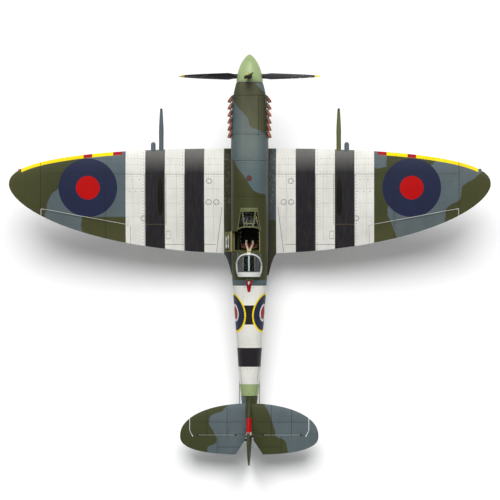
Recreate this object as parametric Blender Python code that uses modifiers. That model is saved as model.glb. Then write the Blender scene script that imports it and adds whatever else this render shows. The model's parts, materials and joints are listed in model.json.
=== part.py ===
"""Radio-controlled warbird: a single-seat fighter with elliptical wings, as an assembly of moving parts.

Every piece is modelled in airframe axes, in metres: +X to the right wing tip, +Y to the nose, +Z up, with
the thrust line at z = 0 and both wing tips at y = 0. The airframe empty then stands it on its three wheels.
"""

import bisect
import math

import bmesh
import bpy
from mathutils import Matrix, Vector

# Driving dimensions: clearances
SEAT_GAP = 0.0003
SLIDE_GAP = 0.0006
HINGE_GAP = 0.0011
WELL_GAP = 0.0030
LINK_GAP = 0.0008
WELD_DEPTH = 0.0010
CUT_PAST = 0.0500

# Driving dimensions: wing
WING_HALF_SPAN = 0.600
WING_FRONT_DEPTH = 0.0915
WING_BACK_DEPTH = 0.171
WING_ROOT_X = 0.046
WING_ROOT_Z = -0.054
WING_DIHEDRAL = math.radians(6.0)
WING_ROOT_THICKNESS = 0.130
WING_TIP_THICKNESS = 0.065
WING_CAMBER = 0.02
WING_CAMBER_PLACE = 0.2
TRAILING_EDGE = 0.0008
WING_TONGUE = 0.0260
FILLET_WIDTH = 0.024
FILLET_LENGTH = 0.055
FILLET_HEIGHT = 0.016

# Driving dimensions: ailerons and flaps
AILERON_INNER_SHARES = (0.4950, 0.8152)  # of the half span and of the chord
AILERON_OUTER_SHARES = (0.8683, 0.8923)
AILERON_LINK_SHARE = 0.36
NOSE_SHARE = 0.96
FLAP_INNER_X = 0.0790
FLAP_OUTER_X = 0.48 * WING_HALF_SPAN
FLAP_FRONT_SHARE = 0.77
FLAP_BACK_SHARE = 0.95
FLAP_THICKNESS = 0.0020
FLAP_STEP = 0.0520

# Driving dimensions: fuselage as rows of y, half width, top and bottom
HULL_ROWS = (
    (-0.6300, 0.0062, 0.0300, -0.0080),
    (-0.5660, 0.0158, 0.0345, -0.0150),
    (-0.5000, 0.0237, 0.0405, -0.0245),
    (-0.4110, 0.0304, 0.0490, -0.0385),
    (-0.3300, 0.0362, 0.0565, -0.0510),
    (-0.2480, 0.0424, 0.0630, -0.0640),
    (-0.1680, 0.0458, 0.0645, -0.0760),
    (-0.1150, 0.0460, 0.0632, -0.0800),
    (-0.0600, 0.0462, 0.0575, -0.0820),
    (0.0000, 0.0465, 0.0520, -0.0805),
    (0.1070, 0.0464, 0.0460, -0.0670),
    (0.1870, 0.0430, 0.0410, -0.0520),
    (0.2270, 0.0398, 0.0375, -0.0430),
    (0.2530, 0.0338, 0.0335, -0.0345),
)
HULL_UPPER_FULLNESS = 2.2
HULL_LOWER_FULLNESS = 2.4
HULL_WALL = 0.0030
NOSE_Y = 0.2520
COWL_JOINT_Y = 0.0600
TAIL_JOINT_Y = -0.5250
TAIL_END_Y = -0.6280
HATCH_FRONT_Y = 0.2220
HATCH_SILL_Z = 0.0200

# Driving dimensions: cockpit
OPENING_FRONT_Y = -0.0740
OPENING_BACK_Y = -0.1675
OPENING_FRONT_HALF = 0.0150
OPENING_BACK_HALF = 0.0275
BOW_Y = -0.1150
BOW_LEAN = 0.0085
DOOR_BOTTOM_Z = 0.0160
DOOR_OPEN_ANGLE = math.radians(178.0)
HOOD_FRONT_Y = -0.1705
HOOD_LENGTH = 0.0585
HOOD_HALF = 0.0298
HOOD_RAIL_Z = 0.0520
HOOD_TOP_Z = 0.0870
HOOD_BULGE = 0.0015
RAIL_WIDTH = 0.0024
RAIL_DEPTH = 0.0080
GLASS = 0.0012
ARCH_FULLNESS = 2.3
ARCH_STEPS = 14
SCREEN_FRONT_Y = -0.0580
SCREEN_FRONT_HALF = 0.0200
SCREEN_SHARES = (0.0, 0.35, 0.70, 1.0)
SCREEN_RISE = 1.12
REAR_GLASS_BACK_Y = -0.2380
REAR_GLASS_BACK_HALF = 0.0168
REAR_GLASS_FALL = 1.4
DECK_FRONT_Y = -0.1780
DECK_BACK_Y = -0.2140
DECK_HALF = 0.0135
TUB_FRONT_Y = -0.0760
TUB_BACK_Y = -0.1640
TUB_HALF = 0.0270
TUB_WALL = 0.0015
TUB_RIM_Z = 0.0340
PANEL_Y = -0.0985
PANEL_WIDTH = 0.0440
PANEL_HEIGHT = 0.0340
PANEL_TILT = math.radians(32.0)
SEAT_WIDTH = 0.0420
SEAT_FRONT_Y = -0.1120
SEAT_BACK_Y = -0.1480
SEAT_PAN_Z = -0.0120
SEAT_BACK_HEIGHT = 0.0420
SEAT_TILT = math.radians(18.0)
SEAT_SHEET = 0.0030
STICK_Y = -0.1065
STICK_HEIGHT = 0.0400
STICK_RADIUS = 0.0018
GRIP_RADIUS = 0.0060
GRIP_TUBE = 0.0014

# Driving dimensions: tail
TAIL_HALF_SPAN = 0.1720
TAILPLANE_Z = 0.0340
TAIL_TIP_Y = -0.6230
TAIL_FRONT_DEPTH = 0.0795
TAIL_BACK_DEPTH = 0.0478
TAIL_THICKNESS = 0.0950
ELEVATOR_SETBACK = 0.0022
ELEVATOR_Y = TAIL_TIP_Y - ELEVATOR_SETBACK
ELEVATOR_ROOT_X = 0.0105
ELEVATOR_CUT_X = 0.0340
HORN_BALANCE_X = 0.1475
HORN_BALANCE_STEP = 0.0150
TORQUE_TUBE_RADIUS = 0.0028
RUDDER_SETBACK = 0.0120
RUDDER_Y = TAIL_TIP_Y - RUDDER_SETBACK
RUDDER_BALANCE_Z = 0.1290
FIN_ROWS = (
    (-0.0120, -0.5300, -0.6680),
    (0.0100, -0.5300, -0.6840),
    (0.0350, -0.5300, -0.6920),
    (0.0700, -0.5570, -0.6945),
    (0.1050, -0.5810, -0.6900),
    (0.1350, -0.6030, -0.6760),
    (0.1500, -0.6190, -0.6610),
    (0.1570, -0.6310, -0.6480),
)
FIN_ROOT_WIDTH = 0.0145
FIN_TIP_WIDTH = 0.0050

# Driving dimensions: power unit
SPINNER_RADIUS = 0.0331
SPINNER_TIP_Y = 0.3220
SPINNER_BASE_Y = 0.2555
SPINNER_WALL = 0.0015
SPINNER_SHARES = (0.0, 0.02, 0.10, 0.25, 0.45, 0.70, 1.0)
BACKPLATE_THICKNESS = 0.0028
BLADE_Y = 0.2700
BLADE_COUNT = 4
BLADE_RADIUS = 0.1755
BLADE_SHANK = 0.0060
BLADE_CHORD = 0.0270
BLADE_DEPTH = 0.0024
BLADE_SWELL = 0.30
BLADE_TAPER = 0.25
BLADE_THINNING = 0.60
BLADE_TIP = 0.22
BLADE_SIDES = 10
BLADE_SHARES = (0.0, 0.10, 0.20, 0.32, 0.55, 0.80, 0.94, 1.0)
BLADE_ROOT_PITCH = math.radians(52.0)
BLADE_TIP_PITCH = math.radians(17.0)
PROP_HUB_RADIUS = 0.0140
PROP_HUB_FRONT_Y = 0.2810
SHAFT_RADIUS = 0.0030
ROTOR_RADIUS = 0.0175
ROTOR_FRONT_Y = 0.2460
ROTOR_BACK_Y = 0.2190
ROTOR_WALL = 0.0022
FIREWALL_Y = 0.2090
FIREWALL_THICKNESS = 0.0040

# Driving dimensions: equipment
TRAY_TOP_Z = -0.0365
TRAY_THICKNESS = 0.0030
TRAY_BACK_Y = -0.2520
BATTERY_SIZE = (0.034, 0.105, 0.028)
BATTERY_Y = 0.1280
CONTROLLER_SIZE = (0.026, 0.045, 0.0085)
CONTROLLER_Y = 0.1150
RECEIVER_SIZE = (0.024, 0.032, 0.013)
RECEIVER_Y = -0.2300
SERVO_SIZE = (0.0120, 0.0228, 0.0225)
SERVO_SHAFT_PLACE = 0.0064
SERVO_X = 0.0090
SERVO_Y = -0.1930
SERVO_BOSS_RADIUS = 0.0040
SERVO_BOSS_HEIGHT = 0.0012
ARM_THICKNESS = 0.0020
ARM_HUB_RADIUS = 0.0033
ROD_RADIUS = 0.0009
ROD_EYE_RADIUS = 0.0022
ROD_EYE_THICKNESS = 0.0016
HORN_THICKNESS = 0.0016
HORN_WIDTH = 0.0066
HORN_SWING = 0.60
AILERON_HORN_REACH = 0.0140
AILERON_ROD_LENGTH = 0.0520
ELEVATOR_HORN_X = 0.0240
ELEVATOR_HORN_REACH = 0.0160
ELEVATOR_ARM_REACH = 0.0120
RUDDER_HORN_Z = 0.0040
RUDDER_HORN_REACH = 0.0260
RUDDER_ARM_REACH = 0.0130

# Driving dimensions: wing fittings
SPAR_Y = 0.0500
SPAR_RADIUS = 0.0060
SPAR_BORE = 0.0042
SPAR_HALF_LENGTH = 0.0950
CANNON_X = 0.2215
CANNON_MUZZLE_Y = 0.1910
CANNON_ROOT_RADIUS = 0.0060
CANNON_MUZZLE_RADIUS = 0.0030
CANNON_SLEEVE_LENGTH = 0.0475
CANNON_SLEEVE_RADIUS = 0.0048
CANNON_BARREL_RADIUS = 0.0037
CANNON_TIE_RADIUS = 0.0030
CANNON_SEAT_DEPTH = 0.0160
STUB_OFFSET_X = 0.0200
STUB_END_Y = 0.1070
BLISTER_X = 0.2235
BLISTER_Y = -0.0260
BLISTER_SIZE = (0.0120, 0.0980, 0.0100)
RADIATOR_X = 0.1320
RADIATOR_WIDTH = 0.0640
RADIATOR_FRONT_Y = -0.0380
RADIATOR_BACK_Y = -0.0960
RADIATOR_DEPTH = 0.0150
RADIATOR_WALL = 0.0020
RADIATOR_LIP = 0.0052
PITOT_X = 0.4600
PITOT_Y = 0.0050
PITOT_LENGTH = 0.0300
PITOT_DROP = 0.0120
PITOT_RADIUS = 0.0012
PITOT_STEM_RADIUS = 0.0016

# Driving dimensions: nose and spine fittings
EXHAUST_COUNT = 6
EXHAUST_FRONT_Y = 0.2050
EXHAUST_PITCH = 0.0170
EXHAUST_Z = 0.0090
EXHAUST_TIP_X = 0.0520
EXHAUST_RADIUS = 0.0048
EXHAUST_TIP_RADIUS = 0.0038
EXHAUST_SWEEP = 0.0117
EXHAUST_STRIP = 0.0010
INTAKE_FRONT_Y = 0.1500
INTAKE_BACK_Y = 0.0660
INTAKE_WIDTH = 0.0240
INTAKE_DEPTH = 0.0100
INTAKE_CHIN_SETBACK = 0.0300
INTAKE_CHIN_DROP = 0.0060
INTAKE_TAIL_DEPTH = 0.0015
INTAKE_CORNER = 0.0048
INTAKE_WALL = 0.0020
INTAKE_MOUTH_DEPTH = 0.0200
MAST_Y = -0.2430
MAST_HEIGHT = 0.0400
MAST_RADIUS = 0.0022
MAST_TIP_RADIUS = 0.0012
MAST_LEAN = 0.0048

# Driving dimensions: undercarriage
GEAR_PIVOT_X = 0.0860
GEAR_PIVOT_Y = 0.0180
GEAR_PIVOT_DEPTH = 0.0135
AXLE_X = 0.1050
AXLE_Y = 0.0500
AXLE_Z = -0.1690
WELL_Y = 0.0020
WELL_SKIN = 0.0022
LEG_RADIUS = 0.0035
LEG_KNUCKLE_RADIUS = 0.0038
LEG_BOSS_RADIUS = 0.0058
LEG_BOSS_WIDTH = 0.0080
PIVOT_PIN_RADIUS = 0.0020
AXLE_RADIUS = 0.0024
AXLE_LENGTH = 0.0170
WHEEL_RADIUS = 0.0320
WHEEL_WIDTH = 0.0150
WHEEL_RIM_SHARE = 0.62
WHEEL_TREAD_SHARE = 0.30
COVER_WIDTH = 0.0260
COVER_THICKNESS = 0.0014
COVER_START = 0.0320
COVER_OFFSET = 0.0160
COVER_POST_RADIUS = 0.0021
COVER_POST_INSET = 0.0090
RETRACT_CHEEK = 0.0030
RETRACT_LENGTH = 0.0220
RETRACT_ROOF = 0.0030
RETRACT_BELOW = 0.0090
TAIL_WHEEL_Y = -0.5720
TAIL_WHEEL_TRAIL = 0.0080
TAIL_WHEEL_AXLE_Z = -0.0500
TAIL_WHEEL_RADIUS = 0.0115
TAIL_WHEEL_WIDTH = 0.0080
TAIL_POST_RADIUS = 0.0026
TAIL_POST_DEPTH = 0.0180
TAIL_FORK_ARM = 0.0024
TAIL_AXLE_RADIUS = 0.0012

# Mesh fineness
HULL_SIDES = 24
HULL_STEP = 0.040
ROUND_SIDES = 20
SMALL_SIDES = 14
WELL_SIDES = 28
ROD_SAMPLES = 60
NOSE_SIDES = 16
WING_POINTS = 9
FILLET_SHARES = (0.04, 0.30, 0.60, 1.0)
WING_SHARES = (0.20, 0.30, 0.43, 0.57, 0.70, 0.82, 0.90, 0.955, 0.985, 0.9995)
TAIL_SHARES = (0.23, 0.47, 0.67, 0.83, 0.93, 0.98, 0.9985)

SIDES = (("left", -1), ("right", 1))

for old in list(bpy.data.objects):
    bpy.data.objects.remove(old, do_unlink=True)

PARTS = bpy.data.collections.new("rc_warbird")
CUTTERS = bpy.data.collections.new("cutters")
bpy.context.scene.collection.children.link(PARTS)
bpy.context.scene.collection.children.link(CUTTERS)
CUTTERS.hide_render = True


# Scene helpers
def make_empty(name, place=(0, 0, 0), parent=None):
    empty = bpy.data.objects.new(name, None)
    empty.location = place
    empty.parent = parent
    empty.empty_display_size = 0.02
    PARTS.objects.link(empty)
    return empty


AIRFRAME = make_empty("airframe")


def make_look(name, colour, roughness, metallic=0.0):
    look = bpy.data.materials.new(name)
    look.use_nodes = True
    shader = look.node_tree.nodes["Principled BSDF"]
    shader.inputs["Base Color"].default_value = (*colour, 1.0)
    shader.inputs["Roughness"].default_value = roughness
    shader.inputs["Metallic"].default_value = metallic
    look.diffuse_color = (*colour, 1.0)
    return look


GREEN = make_look("green_paint", (0.070, 0.080, 0.028), 0.55)
GREY = make_look("grey_paint", (0.160, 0.220, 0.250), 0.55)
PALE = make_look("pale_green_paint", (0.370, 0.510, 0.240), 0.45)
BLACK = make_look("black_plastic", (0.020, 0.020, 0.022), 0.50)
RUBBER = make_look("tyre_rubber", (0.018, 0.018, 0.018), 0.85)
STEEL = make_look("bright_steel", (0.600, 0.600, 0.610), 0.30, 1.0)
ALLOY = make_look("grey_alloy", (0.420, 0.430, 0.450), 0.40, 1.0)
COPPER = make_look("burnt_steel", (0.330, 0.150, 0.080), 0.50, 1.0)
CLEAR = make_look("clear_plastic", (0.500, 0.600, 0.650), 0.08)
PLYWOOD = make_look("plywood", (0.500, 0.340, 0.180), 0.70)
BLUE = make_look("blue_wrap", (0.030, 0.080, 0.300), 0.40)
CARBON = make_look("carbon_tube", (0.030, 0.030, 0.034), 0.35)
PADDING = make_look("dark_red_pad", (0.180, 0.025, 0.025), 0.80)


def make_object(name, shape, collection):
    bmesh.ops.recalc_face_normals(shape, faces=shape.faces)
    mesh = bpy.data.meshes.new(name)
    shape.to_mesh(mesh)
    shape.free()
    made = bpy.data.objects.new(name, mesh)
    collection.objects.link(made)
    return made


def make_piece(name, shape, look, pivot=None):
    """One named sub-part, with its shape in airframe axes and its origin at the pivot, if it has one."""
    place = Vector(pivot) if pivot is not None else Vector((0, 0, 0))
    bmesh.ops.translate(shape, verts=shape.verts, vec=-place)
    made = make_object(name, shape, PARTS)
    made.location = place
    made.parent = AIRFRAME
    made.data.materials.append(look)
    made.data.shade_smooth()
    made.data.set_sharp_from_angle(angle=math.radians(35.0))
    return made


def make_cutter(name, shape, parent=None):
    made = make_object(name, shape, CUTTERS)
    made.parent = parent or AIRFRAME
    made.hide_render = True
    made.display_type = "WIRE"
    return made


def combine(target, other, operation):
    step = target.modifiers.new(other.name, "BOOLEAN")
    step.object = other
    step.operation = operation
    step.solver = "EXACT"


def cut(target, *others):
    for other in others:
        combine(target, other, "DIFFERENCE")


def keep(target, other):
    combine(target, other, "INTERSECT")


def weld(target, *others):
    for other in others:
        combine(target, other, "UNION")


# Shape helpers
def frame_from(across, along, up, place):
    return Matrix.Translation(place) @ Matrix((across, along, up)).transposed().to_4x4()


def box(low, high, frame=None):
    shape = bmesh.new()
    middle = (Vector(low) + Vector(high)) / 2
    size = Vector(high) - Vector(low)
    matrix = (frame or Matrix()) @ Matrix.Translation(middle) @ Matrix.Diagonal((*size, 1.0))
    bmesh.ops.create_cube(shape, size=1.0, matrix=matrix)
    return shape


def rod(start, end, radius, end_radius=None, sides=12):
    start, end = Vector(start), Vector(end)
    along = end - start
    turn = along.to_track_quat("Z", "Y").to_matrix().to_4x4()
    matrix = Matrix.Translation((start + end) / 2) @ turn
    shape = bmesh.new()
    bmesh.ops.create_cone(
        shape,
        cap_ends=True,
        segments=sides,
        radius1=radius,
        radius2=radius if end_radius is None else end_radius,
        depth=along.length,
        matrix=matrix,
    )
    return shape


def ball(centre, size, frame=None, rings=8, sides=12):
    shape = bmesh.new()
    matrix = (frame or Matrix()) @ Matrix.Translation(centre) @ Matrix.Diagonal((*size, 1.0))
    bmesh.ops.create_uvsphere(shape, u_segments=sides, v_segments=rings, radius=0.5, matrix=matrix)
    return shape


def turned(profile, frame, sides=24, closed=False):
    """A lathe shape round the frame's Y axis, from a profile of distance along the axis and radius."""
    shape = bmesh.new()
    points = [shape.verts.new(frame @ Vector((radius, along, 0.0))) for along, radius in profile]
    pairs = list(zip(points, points[1:]))
    if closed:
        pairs.append((points[-1], points[0]))
    edges = [shape.edges.new(pair) for pair in pairs]
    axis = (frame.to_3x3() @ Vector((0, 1, 0))).normalized()
    bmesh.ops.spin(
        shape,
        geom=points + edges,
        cent=frame.translation,
        axis=axis,
        angle=2 * math.pi,
        steps=sides,
        use_merge=True,
    )
    bmesh.ops.remove_doubles(shape, verts=shape.verts, dist=1e-6)
    return shape


def prism(corners, low, high, upright=False):
    """A flat outline pushed through: in plan, from z low to high, or upright, from x low to high."""
    shape = bmesh.new()
    if upright:
        points = [Vector((low, first, second)) for first, second in corners]
        push = Vector((high - low, 0, 0))
    else:
        points = [Vector((first, second, low)) for first, second in corners]
        push = Vector((0, 0, high - low))
    face = shape.faces.new([shape.verts.new(point) for point in points])
    grown = bmesh.ops.extrude_face_region(shape, geom=[face])
    moved = [part for part in grown["geom"] if isinstance(part, bmesh.types.BMVert)]
    bmesh.ops.translate(shape, verts=moved, vec=push)
    return shape


def loft(rings, closed=True, caps=True):
    """A skin through rings with equal numbers of points, each ring a list of places."""
    shape = bmesh.new()
    rows = [[shape.verts.new(point) for point in ring] for ring in rings]
    count = len(rows[0])
    for row, following in zip(rows, rows[1:]):
        for step in range(count if closed else count - 1):
            after = (step + 1) % count
            shape.faces.new((row[step], row[after], following[after], following[step]))
    if closed and caps:
        shape.faces.new(rows[0])
        shape.faces.new(rows[-1])
    return shape


def curve_through(rows, at, column):
    """The value of one column at a station, on a smooth curve through hand-picked rows."""
    stations = [row[0] for row in rows]
    values = [row[column] for row in rows]
    last = len(stations) - 1
    if at <= stations[0]:
        return values[0]
    if at >= stations[last]:
        return values[last]
    here = bisect.bisect_right(stations, at) - 1

    def slope(index):
        low, high = max(index - 1, 0), min(index + 1, last)
        return (values[high] - values[low]) / (stations[high] - stations[low])

    width = stations[here + 1] - stations[here]
    share = (at - stations[here]) / width
    rise, back = share * share * (3 - 2 * share), 1 - share
    start_pull = share * back * back * width * slope(here)
    end_pull = -share * share * back * width * slope(here + 1)
    return values[here] * (1 - rise) + values[here + 1] * rise + start_pull + end_pull


def hull_stations(front, back):
    """Stations that all stretches of the fuselage share, so that neighbouring skins agree, and two ends."""
    first, last = math.ceil(back / HULL_STEP), math.floor(front / HULL_STEP)
    between = [index * HULL_STEP for index in range(first, last + 1)]
    margin = HULL_STEP / 20
    return [back] + [y for y in between if back + margin < y < front - margin] + [front]


def spaced(start, end, step):
    count = max(1, round(abs(end - start) / step))
    return [start + (end - start) * index / count for index in range(count + 1)]


# Fuselage form
def hull_size(y):
    half, top, bottom = (curve_through(HULL_ROWS, y, column) for column in (1, 2, 3))
    return half, top, bottom, (top + bottom) / 2


def hull_ring(y, grow=0.0):
    half, top, bottom, middle = hull_size(y)
    ring = []
    for step in range(HULL_SIDES):
        angle = 2 * math.pi * step / HULL_SIDES
        side, lift = math.cos(angle), math.sin(angle)
        power = 2 / (HULL_UPPER_FULLNESS if lift >= 0 else HULL_LOWER_FULLNESS)
        reach = (top - middle if lift >= 0 else middle - bottom) + grow
        x = math.copysign(abs(side) ** power, side) * (half + grow)
        z = middle + math.copysign(abs(lift) ** power, lift) * reach
        ring.append(Vector((x, y, z)))
    return ring


def hull_half_width(y, z):
    half, top, bottom, middle = hull_size(y)
    power = HULL_UPPER_FULLNESS if z >= middle else HULL_LOWER_FULLNESS
    reach = top - middle if z >= middle else middle - bottom
    return half * (1 - min(1.0, abs(z - middle) / reach) ** power) ** (1 / power)


def hull_top(y, x=0.0):
    half, top, bottom, middle = hull_size(y)
    share = min(1.0, abs(x) / half) ** HULL_UPPER_FULLNESS
    return middle + (top - middle) * (1 - share) ** (1 / HULL_UPPER_FULLNESS)


def hull_solid(front, back, grow):
    return loft([hull_ring(y, grow) for y in hull_stations(front, back)])


def hull_skin(front, back):
    """The open skin of one stretch of the fuselage, with its faces turned outwards."""
    rings = [hull_ring(y) for y in hull_stations(front, back)]
    return loft(rings, caps=False)


def thicken(target, wall):
    face_outwards(target)
    step = target.modifiers.new("wall", "SOLIDIFY")
    step.thickness = wall
    step.offset = -1.0
    step.use_even_offset = True


def face_outwards(target):
    """Turns every face of an open skin away from the skin's own middle line."""
    mesh = target.data
    middle = sum((vertex.co for vertex in mesh.vertices), Vector()) / len(mesh.vertices)
    face = mesh.polygons[len(mesh.polygons) // 2]
    away = face.center - middle
    away.y = 0.0
    if away.dot(face.normal) < 0:
        mesh.flip_normals()


# Wing form
def symmetric_form(share):
    """Half thickness of a common four-digit wing section, for a full thickness of one fifth."""
    front = 0.2969 * math.sqrt(share) - 0.126 * share
    return front - 0.3516 * share**2 + 0.2843 * share**3 - 0.1036 * share**4


def section_shares():
    """Shares of the chord, closer together towards both edges."""
    return [(1 - math.cos(math.pi * step / WING_POINTS)) / 2 for step in range(WING_POINTS + 1)]


def wing_base_edges(x):
    share = min(abs(x) / WING_HALF_SPAN, 0.9999)
    front = WING_FRONT_DEPTH * (1 - share**2.5) ** (1 / 2.5)
    back = -WING_BACK_DEPTH * (1 - share**2.1) ** (1 / 1.7)
    return front, back


def wing_fillet(x):
    outside = WING_ROOT_X + FILLET_WIDTH - abs(x)
    return min(1.0, max(0.0, outside / FILLET_WIDTH)) ** 2


def wing_edges(x):
    front, back = wing_base_edges(x)
    return front, back - FILLET_LENGTH * wing_fillet(x)


def wing_heights(x, y, grow=0.0):
    """Lower and upper surface heights at one place in plan."""
    base_front, base_back = wing_base_edges(x)
    front, back = wing_edges(x)
    share = min(1.0, max(0.0, (front + grow - y) / (front - back + 2 * grow)))
    out = min(abs(x) / WING_HALF_SPAN, 1.0)
    thickness = WING_ROOT_THICKNESS + (WING_TIP_THICKNESS - WING_ROOT_THICKNESS) * out
    chord = base_front - base_back
    half = 5 * thickness * chord * symmetric_form(share) + TRAILING_EDGE / 2 * share
    place = WING_CAMBER_PLACE
    if share < place:
        camber = WING_CAMBER / place**2 * (2 * place * share - share**2)
    else:
        camber = WING_CAMBER / (1 - place) ** 2 * (1 - 2 * place + 2 * place * share - share**2)
    middle = WING_ROOT_Z + max(0.0, abs(x) - WING_ROOT_X) * math.tan(WING_DIHEDRAL) + camber * chord
    raised = FILLET_HEIGHT * wing_fillet(x) * math.sin(math.pi * share**0.8)
    return middle - half - grow, middle + half + raised + grow


def wing_ring(x, side, grow=0.0):
    front, back = wing_edges(x)
    shares = section_shares()
    chordwise = [front + grow - share * (front - back + 2 * grow) for share in shares]
    upper = [Vector((side * x, y, wing_heights(x, y, grow)[1])) for y in reversed(chordwise)]
    lower = [Vector((side * x, y, wing_heights(x, y, grow)[0])) for y in chordwise]
    if grow == 0.0:
        lower = lower[1:]
    return upper + lower


def wing_solid(side, grow=0.0):
    stations = [WING_ROOT_X - WING_TONGUE]
    stations += [WING_ROOT_X + FILLET_WIDTH * share for share in FILLET_SHARES]
    stations += [WING_HALF_SPAN * share for share in WING_SHARES]
    return loft([wing_ring(x, side, grow) for x in stations])


def wing_middle(x, y):
    lower, upper = wing_heights(x, y)
    return (lower + upper) / 2


# Tail form
def tail_edges(x):
    share = min(abs(x) / TAIL_HALF_SPAN, 0.9999)
    front = TAIL_TIP_Y + TAIL_FRONT_DEPTH * (1 - share**2.1) ** (1 / 2.1)
    back = TAIL_TIP_Y - TAIL_BACK_DEPTH * (1 - share**2.6) ** (1 / 2.6)
    return front, back


def tail_half_thickness(x, y):
    front, back = tail_edges(x)
    share = min(1.0, max(0.0, (front - y) / (front - back)))
    return 5 * TAIL_THICKNESS * (front - back) * symmetric_form(share) + TRAILING_EDGE / 2 * share


def tail_ring(x, grow=0.0):
    front, back = tail_edges(x)
    shares = section_shares()
    ring = []
    for share in reversed(shares):
        y = front - share * (front - back)
        ring.append(Vector((x, y, TAILPLANE_Z + tail_half_thickness(x, y) + grow)))
    for share in shares if grow else shares[1:]:
        y = front - share * (front - back)
        ring.append(Vector((x, y, TAILPLANE_Z - tail_half_thickness(x, y) - grow)))
    if grow:
        for point in ring:
            point.y += grow if point.y > TAIL_TIP_Y else -grow
    return ring


def tail_solid(grow=0.0):
    outward = [TAIL_HALF_SPAN * share for share in TAIL_SHARES]
    stations = [-x for x in reversed(outward)] + [0.0] + outward
    return loft([tail_ring(x, grow) for x in stations])


def fin_half_width(y, z):
    front, back = (curve_through(FIN_ROWS, z, column) for column in (1, 2))
    share = min(1.0, max(0.0, (front - y) / (front - back)))
    top = FIN_ROWS[-1][0]
    rise = min(1.0, max(0.0, (z - TAILPLANE_Z) / (top - TAILPLANE_Z)))
    width = FIN_ROOT_WIDTH + (FIN_TIP_WIDTH - FIN_ROOT_WIDTH) * rise
    return 5 * width * symmetric_form(share) + TRAILING_EDGE / 2 * share


def fin_ring(z):
    front, back = (curve_through(FIN_ROWS, z, column) for column in (1, 2))
    shares = section_shares()
    ring = []
    for sign, run in ((1, list(reversed(shares))), (-1, shares[1:])):
        for share in run:
            y = front - share * (front - back)
            ring.append(Vector((sign * fin_half_width(y, z), y, z)))
    return ring


def fin_solid(bottom):
    heights = [bottom] + [row[0] for row in FIN_ROWS if row[0] > bottom + WELD_DEPTH]
    return loft([fin_ring(z) for z in heights])


# Control linkages
def servo_body(name, frame):
    """A small servo with its output boss on the frame's +Z end, which lies at z = 0."""
    width, length, height = SERVO_SIZE
    body_top = -SERVO_BOSS_HEIGHT - SEAT_GAP
    low = (-width / 2, SERVO_SHAFT_PLACE - length, body_top - height)
    high = (width / 2, SERVO_SHAFT_PLACE, body_top)
    made = make_piece(name, box(low, high, frame), BLACK)
    ends = (frame @ Vector((0, 0, z)) for z in (body_top - WELD_DEPTH, -SEAT_GAP))
    boss = rod(*ends, SERVO_BOSS_RADIUS)
    weld(made, make_cutter(f"{name}_boss", boss))
    return made


def servo_arm(name, frame, reach):
    """An arm that turns on the frame's origin round Z, and reaches along +X."""
    pivot = frame.translation
    hub = rod(pivot, frame @ Vector((0, 0, ARM_THICKNESS)), ARM_HUB_RADIUS)
    made = make_piece(name, hub, BLACK, pivot)
    blade = box((0, -ROD_EYE_RADIUS, 0), (reach + ROD_EYE_RADIUS, ROD_EYE_RADIUS, ARM_THICKNESS), frame)
    weld(made, make_cutter(f"{name}_blade", blade))
    return made


def pushrod(name, start, start_axis, end, end_axis):
    """A straight wire with a flat eye at each end, each eye lying across its own axis."""
    start, end = Vector(start), Vector(end)
    made = make_piece(name, rod(start, end, ROD_RADIUS, sides=8), STEEL, start)
    for label, place, axis in (("start", start, start_axis), ("end", end, end_axis)):
        half = Vector(axis).normalized() * ROD_EYE_THICKNESS / 2
        eye = rod(place - half, place + half, ROD_EYE_RADIUS)
        weld(made, make_cutter(f"{name}_{label}_eye", eye))
    return made


# Fuselage and nose
def build_fuselage():
    shell = make_piece("fuselage_shell", hull_skin(COWL_JOINT_Y - SEAT_GAP, TAIL_JOINT_Y), GREEN)
    thicken(shell, HULL_WALL)
    opening = prism(
        (
            (-OPENING_FRONT_HALF, OPENING_FRONT_Y),
            (OPENING_FRONT_HALF, OPENING_FRONT_Y),
            (OPENING_BACK_HALF, BOW_Y),
            (OPENING_BACK_HALF, OPENING_BACK_Y),
            (-OPENING_BACK_HALF, OPENING_BACK_Y),
            (-OPENING_BACK_HALF, BOW_Y),
        ),
        DOOR_BOTTOM_Z,
        HOOD_TOP_Z,
    )
    deck = box((-DECK_HALF, DECK_BACK_Y, DOOR_BOTTOM_Z), (DECK_HALF, DECK_FRONT_Y, HOOD_TOP_Z))
    doorway = door_block(0.0)
    spar_hole = rod(spar_end(-1, SEAT_GAP), spar_end(1, SEAT_GAP), SPAR_RADIUS + SEAT_GAP, sides=NOSE_SIDES)
    cut(shell, make_cutter("cockpit_opening", opening))
    cut(shell, make_cutter("rear_deck_opening", deck))
    cut(shell, make_cutter("doorway", doorway))
    cut(shell, make_cutter("spar_passage", spar_hole))
    for name, start, end in (("elevator", *elevator_rod_ends()), ("rudder", *rudder_rod_ends())):
        cut(shell, make_cutter(f"{name}_rod_slot", rod_slot(start, end)))
    for name, side in SIDES:
        weld(shell, make_cutter(f"hood_rail_{name}", hood_rail(side)))


def hood_rail(side):
    """One of the two rails behind the cockpit that the hood's foot slides on."""
    ends = sorted((side * (HOOD_HALF - GLASS - RAIL_WIDTH / 2), side * (HOOD_HALF + RAIL_WIDTH / 2)))
    top = HOOD_RAIL_Z - SEAT_GAP
    low = (ends[0], HOOD_FRONT_Y - HOOD_LENGTH, top - RAIL_DEPTH)
    return box(low, (ends[1], OPENING_BACK_Y - HULL_WALL, top))


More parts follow.
